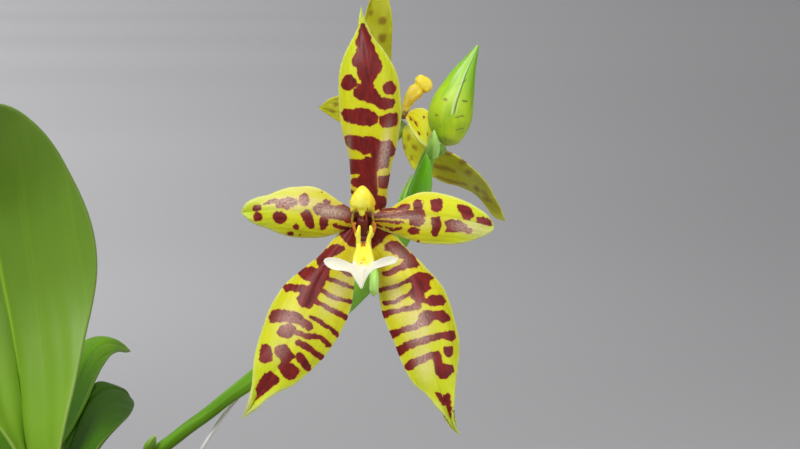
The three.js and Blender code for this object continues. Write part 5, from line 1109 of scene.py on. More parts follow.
make_stem()
for i, (name, pts) in enumerate(ROOTS.items()):
    C, L = catmull(pts, 40)
    line = [(*p, 1.9 * (1 - 0.144 * k / 39), 1.9 * (1 - 0.144 * k / 39)) for k, p in enumerate(C)]

    def wob(s, a, length, i=i):
        return 1 + 0.045 * fbm(np.cos(a) * 0.8 + 7 * i, np.sin(a) * 0.8, s / 3.2, seed=61 + i) + 0.012 * vnoise(np.cos(a) * 3, np.sin(a) * 3, s / 0.7, seed=71 + i) - 0.02

    v, f, at_ = sweep(line, 170, 32, depth_axis=(0, 0, 1), wobble=wob)
    place(mesh_object(name + "_fine", v, f, at_), name, M_ROOT)
wf, wb, we = (np.array(p, float) for p in WIRE)
wl = [tuple(wf + (wb - wf) * t + np.array([dx, 0, dz])) for t, dx, dz in ((0, 0, 0), (0.33, 0, 0), (0.66, 0, 0), (0.86, 0.45, 0), (0.97, 1.35, 0.4))] + [tuple(we + np.array([1.7, 0, 0.6]))]
v, f, at_ = sweep([(*p, 0.27, 0.27) for p in wl], 160, 20, depth_axis=(0, 1, 0))
place(mesh_object("support_wire_fine", v, f, at_), "support_wire", M_WIRE)


# ------------------------------------------------------------------ leaves
def make_leaf(name, P, u, v, mat, edge_t=0.55, mid_t=1.75, toward=None, waves=1.0, seed=0, groove=0.5):
    N = grid_normals(P)
    if toward is None:
        if N[..., 2].mean() < 0:
            N = -N
    elif (N @ np.asarray(toward)).mean() < 0:
        N = -N
    H, e = half_thickness(P, u, v, mid_t, edge_t, reach=7.0)
    half, _ = width_profile(P, u)
    x = u * half
    L = np.concatenate([[0], np.cumsum(np.linalg.norm(np.diff(P[:, P.shape[1] // 2], axis=0), axis=1))])
    Y = np.broadcast_to(L[:, None], x.shape)
    # midrib channel, soft undulation and a slight corrugation along the veins
    ends = smoothstep(0, 0.08, v)[:, None] * smoothstep(1, 0.9, v)[:, None]
    D = -groove * np.exp(-((x / 1.0) ** 2)) * ends
    D += 0.16 * np.exp(-((np.abs(x) - 1.9) / 1.0) ** 2) * ends
    D += waves * 0.35 * fbm(x / 16 + seed, Y / 30, octaves=2, seed=seed + 3) * ends
    D += 0.05 * np.sin(x * 2 * math.pi / 2.7 + 0.6 * fbm(x / 9, Y / 30, seed=seed + 5)) * ends * smoothstep(0.6, 2.0, e)
    P = P + N * D[..., None]
    ob = shell(name + "_fine", P, grid_normals(P) * np.sign((grid_normals(P) * N).sum(-1, keepdims=True) + 1e-9), H, u, v,
               {"edge": e, "loc": np.stack([x, Y, np.full_like(x, 7.0 * seed)], -1)})
    place(ob, name, mat)
    return ob


LEAF_PX = {
    "leaf_1": ([(34, 519), (31, 505), (24, 482), (14, 449), (0, 430), (-24, 400), (-60, 350), (-88, 300), (-103, 250), (-106, 205), (-97, 165), (-80, 135), (-55, 113), (-22, 102)],
               [(40, 521), (38.5, 506), (33, 482), (26.4, 450), (21.8, 393), (16.1, 349.4), (10.3, 315), (4.6, 287.4), (0, 264.5), (-6, 230), (-11, 190), (-16, 150), (-22, 102)],
               [(46.5, 519), (48, 505), (56, 478), (60.8, 450), (67.7, 418.3), (74.6, 390.7), (80.3, 363.2), (84.9, 340.2), (90.7, 315), (95.3, 292), (97.6, 269.1), (96.4, 246.1),
                (91.8, 223.1), (82.6, 197.9), (71.2, 174.9), (57.4, 149.7), (43.6, 131.3), (27.5, 116.4), (13.8, 107.2), (-2, 103), (-22, 102)],
               [(0, 41), (0.2, 45), (0.45, 49), (0.7, 47), (0.88, 40), (1, 33)],
               [(0, [-2.5, -0.9, 0, -0.9, -2.5]), (0.2, [-4, -1.6, 0, -1.6, -4]), (0.5, [-3.4, -1.5, 0, -1.3, -3]), (0.8, [-1.6, -0.7, 0, -0.6, -1.2]), (1, [0, 0, 0, 0, 0])]),
    "leaf_2": ([(44, 508), (42, 480), (44, 449), (50, 415), (58, 385), (68, 360), (84, 342), (100, 337.4), (116, 341), (130.5, 352)],
               [(50, 510), (54, 482), (60, 449), (70, 418), (80, 390), (90, 364), (101, 349), (114, 345.5), (130.5, 352)],
               [(56, 508), (58, 480), (58.5, 452), (71, 431), (86, 401), (97, 376), (103.5, 365), (113, 353.5), (121, 351.5), (130.5, 352)],
               [(0, 46), (0.2, 51), (0.45, 59), (0.7, 69), (0.88, 80), (1, 92)],
               [(0, [-2, -0.8, 0, -0.8, -2]), (0.25, [3, 1.4, 0, -2.2, -5]), (0.6, [8, 4, 0, -4.2, -8.5]), (0.85, [8, 4, 0, -3.5, -6.5]), (1, [0, 0, 0, 0, 0])]),
    "leaf_3": ([(54, 512), (56, 490), (62, 460), (72, 430), (84, 404), (97, 382), (108, 383.5), (119, 388), (127, 393.5), (133, 402)],
               [(60, 514), (64, 492), (72.5, 452), (81, 428), (90, 405), (101, 394), (112, 391.5), (123, 394.5), (133, 402)],
               [(67, 512), (82, 482), (98, 450), (106, 440), (120, 425.5), (129, 416), (132.6, 409), (133.4, 405), (133, 402)],
               [(0, 41), (0.2, 44), (0.45, 50), (0.7, 58), (0.88, 67), (1, 75)],
               [(0, [-2, -0.8, 0, -0.5, -1.4]), (0.25, [1.2, 0.5, 0, -2.6, -6.5]), (0.6, [3.5, 2, 0, -5.2, -11]), (0.85, [4, 2.2, 0, -4, -8]), (1, [0, 0, 0, 0, 0])]),
}
for name, mat, sd in (("leaf_1", M_LEAF_A, 1), ("leaf_2", M_LEAF_B, 2), ("leaf_3", M_LEAF_C, 3)):
    px, py, dep, u, v = px_blade(*LEAF_PX[name], rows=150, cols=57, sigma=7)
    make_leaf(name, W(px, py, dep), u, v, mat, toward=-AFW, waves=0.8 if sd == 1 else 0.35, seed=sd, groove=0.75 if sd == 1 else 0.5)

HW = [(0, 3.2), (0.1, 4.6), (0.25, 8), (0.5, 14.5), (0.7, 15.6), (0.85, 12.5), (0.94, 8), (1, 0.8)]
FREE = {
    "leaf_4": ([(-6.0, 3.1, 86.3), (-14, 5, 95), (-32, 9, 107), (-56, 13, 110), (-80, 16, 100), (-99, 18, 82)], HW,
               [(0, [0.15, -1, 0]), (1, [0.1, -1, 0.15])], [(0, 2.2), (0.3, 4), (0.7, 2.4), (1, 0.2)], M_LEAF_B),
    "leaf_5": ([(-2.3, -6.5, 84), (-7, -17, 91), (-17, -37, 97), (-28, -58, 92), (-37, -76, 76)], [(a, b * 0.92) for a, b in HW],
               [(0, [1, -0.35, 0]), (1, [1, -0.45, 0.1])], [(0, 2.0), (0.3, 3.6), (0.7, 2.2), (1, 0.2)], M_LEAF_A),
    "leaf_6": ([(-1.6, 7.0, 82.5), (-8, 20, 89), (-20, 40, 94), (-33, 58, 89), (-43, 71, 78)], [(a, b * 0.86) for a, b in HW],
               [(0, [1, 0.4, 0]), (1, [1, 0.55, 0.1])], [(0, 2.0), (0.3, 3.4), (0.7, 2.0), (1, 0.2)], M_LEAF_C),
}
for k, (name, (mid, hw, side, fold, mat)) in enumerate(FREE.items()):
    P, u, v = free_blade(mid, hw, side, fold, 140, 49)
    make_leaf(name, P, u, v, mat, waves=0.8, seed=10 + k, groove=0.5)


# ------------------------------------------------------------------ flower spike
def tube(pts):
    return [(*W(p[0], p[1], p[2]), p[3], p[4]) for p in pts]


SPIKE = tube([(62, 500, 42.5, .85, .85), (78, 490, 42.5, .86, .84), (105, 477, 41.5, .86, .82), (137, 462, 39, .86, .82), (165, 445.5, 36.5, .86, .82), (188, 428, 34, .86, .82),
              (209, 412.7, 32, .88, .82), (228, 397.5, 30, .92, .82), (250, 381.5, 28, 1.08, .84), (276, 361, 26, 1.18, .86), (300, 341.5, 24, 1.22, .86), (325, 321, 22, 1.24, .86),
              (348, 301, 20.5, 1.26, .86), (368, 280, 19, 1.28, .86), (385, 259, 17.6, 1.28, .86), (400, 238, 16.2, 1.28, .86), (409, 216, 15, 1.24, .84), (416, 195, 14, 1.16, .8),
              (423, 174, 13, 1.02, .74), (429, 155, 12.2, .78, .62), (433.5, 143, 11.7, .5, .42)])
PEDICELS = {
    "front_pedicel": tube([(386, 256, 15.4, .9, .9), (381, 250, 13.2, .85, .85), (376, 243, 10, .85, .85), (371, 236, 6.5, .95, .95), (368, 230.5, 3.4, 1.15, 1.15)]),
    "rear_pedicel": tube([(400.5, 238.5, 16.8, .7, .7), (399, 236.5, 16.9, .78, .78), (391, 226.5, 17.6, .76, .76), (381, 214, 18.3, .76, .76), (374.5, 200, 19, .76, .76), (373.5, 184, 19.8, .78, .78), (377, 166, 21, .8, .8),
                          (383.5, 150, 22.8, .85, .85), (391.5, 137.5, 24.8, .95, .95), (398, 129, 26.4, 1.05, 1.05), (402.8, 123.2, 27.4, 1.1, 1.1)]),
    "bud_pedicel": tube([(436.8, 153, 11.9, .62, .62), (440, 150, 12.4, .7, .7), (443.5, 147.6, 13.0, .95, .95)]),
}
BUD = tube([(444.6, 145.6, 13.3, .85, .8), (446.2, 140.5, 13.4, 1.6, 1.45), (447.6, 134, 13.4, 2.15, 2.0), (448.8, 125, 13.4, 2.66, 2.4), (450.2, 115.5, 13.3, 2.86, 2.55), (453.4, 103, 13.1, 2.68, 2.4), (458.2, 90, 12.9, 2.2, 2.0),
            (463.5, 76, 12.7, 1.62, 1.5), (470, 62, 12.6, .92, .86), (474.8, 52, 12.5, .46, .44), (478, 45, 12.4, .14, .14)])


def spike_wobble(s, a, length):
    t = s / length
    k = 1 + 0.02 * fbm(np.cos(a) * 1.2, np.sin(a) * 1.2, s / 6, seed=91)
    for c in (0.06, 0.2, 0.47, 0.75, 0.88):
        k = k + 0.05 * np.exp(-((t - c) / 0.008) ** 2)
    # shallow facets on the flowering part
    k = k + 0.03 * smoothstep(0.5, 0.75, t) * np.cos(3 * a + 5 * t)
    return np.minimum(k, 1.09)


v, f, at_ = sweep(SPIKE, 420, 44, wobble=spike_wobble)
place(mesh_object("flower_spike_fine", v, f, at_), "flower_spike", M_SPIKE)
for i, (name, pts) in enumerate(PEDICELS.items()):
    def wob(s, a, length, i=i):
        t = s / length
        # six shallow grooves down the ovary
        return 1 + 0.05 * np.cos(6 * a) * smoothstep(0.35, 0.8, t) + 0.02 * fbm(np.cos(a), np.sin(a), s / 2, seed=95 + i) - 0.03
    v, f, at_ = sweep(pts, 120, 48, wobble=wob)
    place(mesh_object(name + "_fine", v, f, at_), name, M_PEDICEL)

BRACTS = {
    "bract_1": ([(409, 206), (408.5, 196), (412, 182), (418, 168), (426.5, 153)], [(419, 207), (420, 193), (423, 178), (426, 164), (426.5, 153)],
                [(430.5, 205), (431, 194), (432, 180), (430.5, 164), (426.5, 153)], [(0, 14.6), (.4, 11.3), (.75, 10.3), (1, 9.9)], [(0, [1.2, 0, 0, 0, 1.2]), (.5, [1.5, .1, 0, .1, 1.3]), (1, [0] * 5)]),
    "bract_2": ([(427.5, 157), (426, 152), (429, 142), (434, 129.5)], [(432.5, 158), (433, 150), (434.5, 141), (434, 129.5)], [(438, 157), (440, 149), (438, 139), (434, 129.5)],
                [(0, 11.9), (.4, 9.6), (.75, 9.1), (1, 9.3)], [(0, [1.0, 0, 0, 0, 1.0]), (.5, [1.0, .1, 0, .1, 1.0]), (1, [0] * 5)]),
    "bract_3": ([(396, 216), (396.5, 206), (402, 192), (411.5, 173.5)], [(401.5, 217), (402.5, 206), (406.5, 191), (411.5, 173.5)], [(408, 218), (410, 206), (411.5, 190), (411.5, 173.5)],
                [(0, 19.5), (.4, 19.2), (.75, 18.6), (1, 17.6)], [(0, [-.4, 0, 0, 0, .4]), (.5, [-.5, 0, 0, 0, .5]), (1, [0] * 5)]),
    "bract_4": ([(372, 262), (370.2, 272), (369.4, 284), (370.0, 291.5), (373.4, 296.6)], [(376.5, 262), (375, 272), (374.4, 286), (373.4, 296.6)], [(381, 263), (380.4, 273), (380.2, 284), (378.6, 292), (373.4, 296.6)],
                [(0, 18.4), (.4, 16.9), (.75, 16.6), (1, 17.2)], [(0, [.9, 0, 0, 0, .9]), (.5, [1.0, .1, 0, .1, 1.0]), (1, [0] * 5)]),
    "bract_5": ([(306, 346), (303, 338), (306, 324), (318, 304)], [(312, 340), (309, 331), (310.5, 320), (318, 304)], [(320, 334), (317, 325), (316.5, 316), (318, 304)],
                [(0, 22.6), (.4, 20.9), (.75, 20.5), (1, 20.8)], [(0, [1.1, 0, 0, 0, 1.1]), (.5, [1.2, .1, 0, .1, 1.2]), (1, [0] * 5)]),
    "spike_sheath_1": ([(140, 461), (141.5, 455), (145, 444), (155.5, 434.5)], [(146, 456), (147, 449.5), (150, 442), (155.5, 434.5)], [(153, 451), (155.5, 445), (156.5, 440), (155.5, 434.5)],
                       [(0, 36.8), (.4, 35.3), (.75, 34.9), (1, 35.0)], [(0, [1.1, 0, 0, 0, .6]), (.5, [1.2, .1, 0, .1, .6]), (1, [0] * 5)]),
}
for k, (name, spec) in enumerate(BRACTS.items()):
    px, py, dep, u, v = px_blade(*spec, rows=64, cols=31, sigma=12)
    P = W(px, py, dep)
    N = grid_normals(P)
    if (N @ -AFW).mean() < 0:
        N = -N
    H, e = half_thickness(P, u, v, 0.42, 0.18, reach=1.0)
    half, _ = width_profile(P, u)
    x = u * half
    L = np.concatenate([[0], np.cumsum(np.linalg.norm(np.diff(P[:, 15], axis=0), axis=1))])
    Y = np.broadcast_to(L[:, None], x.shape)
    D = 0.07 * np.exp(-((x / 0.22) ** 2)) + 0.02 * np.sin(x * 14)
    P = P + N * (D * smoothstep(0, .1, v)[:, None] * smoothstep(1, .85, v)[:, None])[..., None]
    ob = shell(name + "_fine", P, N, H, u, v, {"edge": e, "loc": np.stack([x, Y, np.full_like(x, 3.0 * k)], -1)})
    place(ob, name, {"spike_sheath_1": M_SHEATH, "bract_4": M_BRACT_PALE, "bract_3": M_BRACT_PALE, "bract_2": M_BRACT_PALE}.get(name, M_BRACT))


SEAM = -1.72


def make_bud():
    def wob(s, a, length):
        t = s / length
        # the edges of the three outer sepals meet in raised seams
        k = np.ones_like(s)
        for c, w_ in ((SEAM, 1.0), (SEAM + 2.09, 0.8), (SEAM + 4.19, 0.8)):
            d = (a - c + math.pi) % (2 * math.pi) - math.pi
            k = k + w_ * smoothstep(0.24, 0.42, t) * (0.075 * np.exp(-((d - 0.13) / 0.12) ** 2) - 0.06 * np.exp(-(d / 0.05) ** 2))
            # the chins of the sepals bulge either side of a dip at the base
            k = k - w_ * 0.07 * np.exp(-(d / 0.35) ** 2) * smoothstep(0.26, 0.05, t)
        k = k + 0.035 * np.cos(3 * (a - SEAM)) * smoothstep(0.3, 0.7, t)
        k = k + 0.012 * fbm(np.cos(a) * 1.5, np.sin(a) * 1.5, s / 2.5, seed=97)
        return np.minimum(k, 1.1) - 0.03

    v, f, at_ = sweep(BUD, 220, 120, wobble=wob)
    px, py, d = project(v)
    ob = mesh_object("bud_fine", v, f, at_)
    # specks on every side: the near ones by place, the rest scattered
    s = markings(px, py, [("E", 445.5, 99.5, 1.9, 1.4), ("E", 436.5, 115, 1.5, 1.2), ("E", 465, 101, 2.6, 1.1, 10), ("S", [(455, 117.3, 0.5), (463, 116, 0.9)]),
                          ("S", [(456, 130, 0.5), (462, 128.5, 0.6)]), ("S", [(461, 84, 0.8), (466, 80, 0.9)]), ("E", 440, 126, 0.9, 0.7)], rough=0.8, seed=31, blend=0.3)
    al = at_["along"]
    ang = np.arctan2(at_["loc"][:, 1], at_["loc"][:, 0])
    far = fbm(np.cos(ang) * 2.4, np.sin(ang) * 2.4, al * 9, seed=33) * 8 - 3.6
    near = smoothstep(-0.2, 0.3, at_["toward"])
    put_attr(ob.data, "spot", s * near + np.minimum(far, 1.2) * (1 - near))
    g = Mat("bud_green", Coat_Weight=0.16, Coat_Roughness=0.34, Subsurface_Weight=0.12, Subsurface_Scale=0.001, Subsurface_Radius=(0.8, 1.0, 0.15))
    loc, along = g.vec("loc"), g.attr("along")
    c = g.ramp(along, [(0.0, lin(180, 194, 60)), (0.1, lin(182, 208, 8)), (0.42, lin(180, 214, 6)), (0.68, lin(138, 200, 4)), (1.0, lin(120, 190, 12))])
    blotch = g.noise(g.scaled(loc, (0.9, 0.9, 0.35)), 1.0, 2.0)
    c = g.mix(g.step(blotch, 0.4, 0.7, 0.0, 0.5), c, lin(108, 172, 10))
    vein = g.noise(g.scaled(loc, (3.2, 3.2, 0.12)), 1.0, 2.0)
    c = g.mix(g.step(vein, 0.5, 0.75, 0.0, 0.4), c, lin(196, 216, 70))
    sp = g.math("ADD", g.attr("spot"), g.math("MULTIPLY", g.math("SUBTRACT", g.noise(g.scaled(loc, (4, 4, 4)), 1.0, 3.0), 0.5), 1.4))
    c = g.mix(g.step(sp, -0.9, 0.9, 0.0, 0.8), c, lin(104, 84, 30))
    # painted sheen along the raised seam ridge and a broader patch beside it, and painted shade in the crease between
    # the sepals
    painted_seam_sheen = g.attr("painted_seam_sheen")
    c = g.mix(g.step(painted_seam_sheen, 0.15, 0.9, 0.0, 0.85), c, lin(222, 234, 176))
    c = g.mix(g.step(g.attr("painted_crease_shade"), 0.25, 0.9, 0.0, 0.85), c, lin(70, 120, 14))
    fine = g.noise(g.scaled(loc, (6, 6, 4)), 1.0, 2.0)
    g.set(Base_Color=c, Roughness=g.lerp(fine, 0.4, 0.54), Normal=g.bump(fine, 0.4, 0.03, g.bump(vein, 0.35, 0.05)))
    d = (ang - SEAM + math.pi) % (2 * math.pi) - math.pi
    up = smoothstep(0.26, 0.36, al)
    # painted sheen on the seam ridges and a broader patch to one side; painted shade in the crease where the sepals
    # meet
    put_attr(ob.data, "painted_seam_sheen", up * (np.exp(-((d - 0.10) / 0.06) ** 2) + 0.55 * np.exp(-((d + 0.09) / 0.05) ** 2) * smoothstep(0.62, 0.4, al) + 0.6 * np.exp(-((d - 0.75) / 0.22) ** 2) * smoothstep(0.45, 0.7, al)))
    put_attr(ob.data, "painted_crease_shade", up * np.exp(-(d / 0.045) ** 2))
    place(ob, "bud", g.m)


make_bud()


# ------------------------------------------------------------------ marks on the tepals, as drawn shapes
# P polygon, E ellipse (centre, half sizes, turn), S stroke of (x, y, half width)
def st(th, *pts):
    return ("S", [(x, y, th / 2) for x, y in pts])


MARKS = {
    "front_dorsal_sepal": [
        ("P", [(362.1, 23.8), (359.3, 32.7), (357.6, 41.3), (358.6, 49.9), (355.5, 54.2), (353.8, 58.5), (354.3, 65.4), (358.1, 68.9), (358.6, 75.8), (362.4, 80.9), (360.4, 84.4), (355.5, 89.5),
               (354.7, 95.6), (359, 99.9), (365.9, 101.6), (372.8, 103.3), (378.8, 107.6), (384.8, 109.9), (390.8, 107.6), (393.8, 103.3), (392.6, 99.5), (386.5, 98.5), (381.4, 98.2), (377.9, 93.9),
               (374.5, 87), (373.6, 82.3), (376.2, 77.5), (379.7, 72.3), (381, 66.3), (377.9, 60.3), (375.3, 53.4), (372.8, 46.5), (369.3, 36.2), (365.9, 28.4), (363.3, 24.1)]),
        ("E", 349.5, 83, 7.4, 8.0, 20), ("E", 388.3, 88.2, 6.7, 7.0, -30), ("S", [(355, 86, 1.4), (359, 84, 1.0)]),
        ("P", [(342.6, 112.8), (345.2, 108.5), (353.8, 109.4), (360.7, 108.1), (368.5, 108.8), (374.5, 111.9), (377.9, 117.1), (376.2, 122.3), (369.3, 125.7), (360.7, 124.9), (352.1, 122.6), (345.2, 119.7)]),
        ("P", [(379.3, 117.1), (384.8, 114.5), (395.2, 111.9), (397.2, 115.4), (396, 123.1), (390, 127.4), (383.1, 126.6), (378.8, 122.3)]),
        ("P", [(345.2, 137.8), (348.7, 134.3), (355.5, 135.2), (361.6, 136.9), (367.6, 136), (374.5, 136.4), (379.7, 140.4), (384.8, 142.1), (388.3, 139.8), (392, 142.1), (394.8, 149.8), (392.6, 155),
               (387.4, 157.1), (386.5, 161.9), (385.7, 166.7), (379.7, 167.9), (376.2, 169.6), (372.5, 168), (372.5, 157), (371, 152.4), (364.2, 153.3), (355.5, 149), (349.5, 146.4), (346.1, 142.9)]),
        ("P", [(349, 159.3), (355.5, 158.4), (361.6, 159.3), (365.9, 155.8), (372.8, 157.1), (376.2, 169.6), (366, 172), (355.5, 173.9), (350.7, 173.1), (349.5, 165.3)]),
        ("P", [(360, 171), (377.2, 169), (377.2, 189), (374.8, 198), (369.3, 196), (362, 192), (359.8, 180)]),
        ("P", [(352.6, 180.8), (355.5, 178.2), (361.6, 177.4), (361, 187.7), (353.8, 186)]),
        ("P", [(378.9, 175.7), (387.9, 173.1), (387.4, 182.5), (385.7, 188), (378.9, 186.8)]),
        ("P", [(369.3, 187.7), (377.2, 189), (377.5, 197), (374.5, 199), (370, 196)]),
        ("P", [(375.3, 196.3), (383.1, 194.6), (386.2, 199.8), (384.8, 206.6), (379.7, 209.2), (375.3, 204.9)]),
        ("E", 353.8, 191.1, 2, 2), ("E", 368, 206, 12, 6),
    ],
    "front_left_petal": [
        ("E", 257.4, 207.7, 4.6, 3.6), ("E", 258.2, 216.8, 4.4, 4.2), ("E", 286.7, 203.4, 12, 5, -6), ("E", 303.9, 200, 4.6, 6.5, 10), ("E", 280.1, 217.2, 8, 5.4, 8), ("E", 296.6, 225.8, 2.6, 3),
        ("E", 291, 232.4, 3.8, 2), ("E", 299.6, 234.4, 1, 1),
        ("P", [(300.5, 215.5), (305.3, 209.3), (311.6, 211), (313, 218.9), (313.3, 225.8), (309, 228.2), (306, 225)]), ("E", 323.2, 222.8, 4.5, 6.3), ("E", 326.3, 202.6, 4.6, 2.7, 12),
        ("P", [(313, 208), (318, 204.5), (330, 205.5), (341, 207.8), (350.5, 209.5), (353.5, 214), (351.5, 222), (345, 222.5), (336, 219), (325, 218), (317, 214.5)]),
        ("S", [(339, 206.6, 1.1), (346, 208.2, 1.5), (351, 209.8, 1.6)]), ("S", [(333.5, 225, 1.6), (340, 227.2, 1.9), (348.5, 228.2, 1.5)]),
        ("P", [(341.8, 212), (347, 210.5), (353.8, 212), (353.6, 224), (346, 223), (341.8, 219)]), ("E", 321, 192, .9, .9), ("S", [(264, 204.5, 1.2), (276, 201.5, 2.6)]),
    ],
    "front_right_petal": [
        ("S", [(381, 211.6, 1.2), (391, 210.2, 1.3), (403, 208.9, 1.5)]), ("P", [(374, 213.5), (393, 212.6), (409, 210.6), (425, 211), (425.5, 216.5), (412, 218.3), (396, 217.6), (386, 218.2), (374, 219)]),
        ("E", 406, 207.2, 5.4, 3, -10), ("E", 418.6, 206, 4.8, 5.3, 10), ("P", [(430.2, 201), (437, 200), (442.2, 201.5), (442, 210.5), (437.5, 212.4), (431.6, 210.4)]),
        ("P", [(409, 214), (424.4, 213.5), (424.6, 221), (420, 225.8), (411, 224.6)]), ("E", 414.2, 230.2, 5.6, 3.6), ("P", [(431, 217.5), (439.5, 216.6), (441.2, 223), (439.5, 231), (436.5, 236.2), (431.8, 233), (432.4, 226)]),
        ("P", [(456.8, 206.2), (462, 205.4), (470.5, 210.5), (473.2, 216.5), (470, 220), (463.5, 218.5), (459, 212.5)]),
        ("P", [(444.6, 220.6), (452, 219.6), (459, 221.4), (472, 228.2), (470.4, 232.2), (458, 231.2), (445.5, 232.4), (447, 227)]),
        ("P", [(475.6, 217.4), (480, 216.2), (487, 218), (491, 223), (489.6, 227.4), (483, 226), (477, 223)]), ("E", 418.4, 240.8, 1.2, 1.1), ("S", [(386, 226.6, .9), (393, 228.8, 1.4), (401.5, 226.8, 1.1)]),
        ("S", [(374, 221.4, 1.3), (384, 221.6, 1.1), (397, 222.0, 1.3), (404, 221.6, .7)]), ("S", [(374, 225, 1.5), (382, 226, 1.0)]),
    ],
    "front_left_lateral_sepal": [
        ("P", [(340.9, 234.4), (343, 229), (346, 222), (352, 217), (362, 219), (364, 230), (361, 241.3), (358.6, 249), (350.4, 246.5), (345.2, 242.2), (342.6, 237.9)]),
        ("P", [(315.9, 259.4), (324.5, 250.8), (331.4, 245.1), (343.5, 246.2), (344.4, 251.7), (338.3, 254.2), (333.2, 256.8), (328.9, 257.7), (325.4, 260.6)]),
        ("P", [(323.7, 263.7), (328, 268.9), (328.9, 275.8), (325.4, 282.7), (321.1, 289.5), (317.7, 298.2), (312.5, 306.8), (308.2, 310.2), (303, 306.8), (298.7, 303.3), (297, 299), (301.3, 295.6),
               (300.4, 293), (293.5, 291.3), (286.7, 293), (284.1, 287.8), (286.7, 284.4), (295.3, 286.1), (303.9, 287), (309, 286.1), (310.8, 282.7), (303.9, 280.9), (298.7, 274.9), (302.2, 269.7),
               (310.8, 268), (317.7, 270.6), (321.1, 268)]),
        ("P", [(315.9, 259.4), (326, 258.5), (331, 262), (330, 270), (324, 272), (319, 268)]), ("S", [(331, 263, 2.0), (338, 268, 2.2), (346, 273.5, 2.6), (350, 275, 2.2)]),
        st(4.3, (326.3, 278.4), (331.4, 281), (341.8, 284.4), (348.7, 286.1), (353.4, 287.5)), st(4.3, (316.8, 288.7), (324.5, 293), (331.4, 297.3), (341.8, 299.9), (351.6, 301.6)),
        st(5.2, (313.4, 301.6), (321.1, 305), (331.4, 311.1), (338.3, 313.7), (345.6, 317.1)), st(4.8, (310.8, 318), (317.7, 320.5), (326.3, 326.6), (331.4, 330), (336.6, 335.2)),
        st(5.6, (296.1, 332.6), (303.9, 335.2), (312.5, 336), (319.4, 336), (324.5, 341.2), (328.4, 344.7)), st(6.6, (298.7, 342.9), (305.6, 346.4), (312.5, 351.5), (320.5, 357)),
        st(8.4, (298.7, 355.8), (303.9, 363.6), (307.3, 367.4)), ("P", [(278, 365.3), (284.9, 361), (293.5, 363.6), (299.6, 370.5), (295.3, 377.4), (288.4, 380), (283.2, 375.6)]),
        ("P", [(270.3, 317.1), (273.7, 311.1), (284.9, 310.2), (291.8, 312.8), (297, 312.8), (303.9, 318.8), (310.8, 324), (313.4, 328.3), (307.3, 330), (300.4, 325.7), (295.3, 323.1), (286.7, 323.1), (278.9, 323.1), (272, 323.1)]),
        ("P", [(277.2, 332.6), (281.5, 326.6), (291.8, 324), (296.1, 328.3), (293.5, 335.2), (286.7, 337.8), (280.6, 336)]),
        ("P", [(260.5, 351.5), (263.4, 345.5), (271.2, 346.4), (273.7, 353.3), (272, 361), (262.6, 363.6), (260, 358.4)]),
        ("P", [(276.3, 348.1), (284.9, 344.7), (290.1, 349.8), (294.4, 355.8), (288.4, 361), (281.5, 361), (276.3, 355)]),
        ("P", [(258.2, 380.8), (263.4, 373.9), (271.2, 370.5), (278.9, 377.4), (279.8, 380.8), (269.4, 391.1), (260.8, 398), (254.8, 403.2), (253.1, 400.6), (256.5, 394.6), (254.8, 389.4)]),
    ],
    "front_right_lateral_sepal": [
        ("P", [(368, 248), (363, 238), (363, 222), (370, 216), (377, 218), (385, 226), (391, 230), (391, 233.6), (384.8, 239.6), (379.7, 243.9), (373, 249)]),
        ("P", [(384, 245.6), (391.7, 241.3), (397.7, 242.2), (405.5, 249.1), (414.1, 256.8), (418.4, 264.6), (415.8, 268.9), (407.2, 268.9), (400.3, 271.5), (390, 275.8), (384.8, 277.5), (383, 274), (393.4, 268.9),
               (401.2, 265.4), (404.6, 261.1), (400.3, 258.5), (396.9, 255.1), (390, 252.5), (384.8, 250.8)]),
        ("P", [(408.9, 278.4), (415.8, 274), (426.1, 274), (433.9, 278.4), (429.6, 282.7), (427, 287), (430.4, 289.5), (426.1, 293), (421, 293), (417.5, 287.8), (410.7, 282.7)]),
        st(4.3, (380.2, 290.4), (390, 288.7), (400.3, 284.4), (408.5, 280.6)), st(4.6, (384.8, 303.3), (395.2, 302.5), (405.5, 296.4), (412.9, 291.9)), ("P", [(413, 286), (419, 288), (424, 296), (424, 303), (417, 303), (412, 297)]),
        ("P", [(423.6, 301.6), (429.6, 296.4), (441.7, 296.4), (444.2, 301.6), (442.5, 305.9), (433, 307.6), (427, 305)]),
        ("S", [(383.2, 314.9, 4.2), (393.4, 311.9, 3), (407.2, 309.4, 2.8), (418, 306.5, 4)]), ("P", [(429.6, 312.8), (441.7, 311.9), (449.4, 317.1), (448.5, 321.4), (441.7, 323.1), (433, 320.5)]),
        ("P", [(419, 313), (430, 311), (432, 321), (425, 325), (419, 323)]), ("S", [(391.8, 334.3, 4.2), (402, 330, 3), (415.8, 326.6, 2.8), (428.1, 322.6, 3)]),
        ("P", [(441.7, 333.5), (452.8, 330.9), (453.7, 337.8), (450.3, 342.1), (441.7, 338.8)]), ("S", [(400.3, 350.5, 5), (410.7, 344.7, 3.8), (424.4, 339.5, 3.6), (443, 334.5, 3.4)]),
        ("P", [(442.5, 347.2), (450.3, 346.4), (451.1, 355.8), (446.8, 357.6), (442.5, 353.3)]), ("S", [(409.9, 366, 4.7), (421, 360.1, 4), (432.3, 355, 3.6)]),
        ("P", [(431.5, 353), (437.5, 350.6), (440.5, 358), (441.5, 365), (435.6, 367)]), ("P", [(435.3, 365.4), (444.2, 364.3), (452, 366.2), (452.3, 372.2), (446.8, 379.1), (439.9, 378.2), (435.6, 371.5)]),
        ("P", [(435.6, 392), (439.9, 392.9), (444.2, 403.2), (441.7, 405.8), (438.2, 399.8)]), ("P", [(443.4, 393.7), (448.5, 392.9), (450.3, 401.5), (452.3, 413.5), (451.1, 417.8), (447.7, 410.1), (444.2, 399.8)]),
    ],
    "rear_dorsal_sepal": [("E", 372, 12, 3.4, 3), ("E", 384, 20, 4, 4.4), ("E", 384, 37, 4, 4.6), ("E", 372, 33, 2.6, 3), ("E", 376, -8, 5, 4), ("E", 366, 52, 5, 4), ("E", 383, 60, 4, 5), ("E", 386, 80, 3, 6), ("E", 372, 74, 5, 4)],
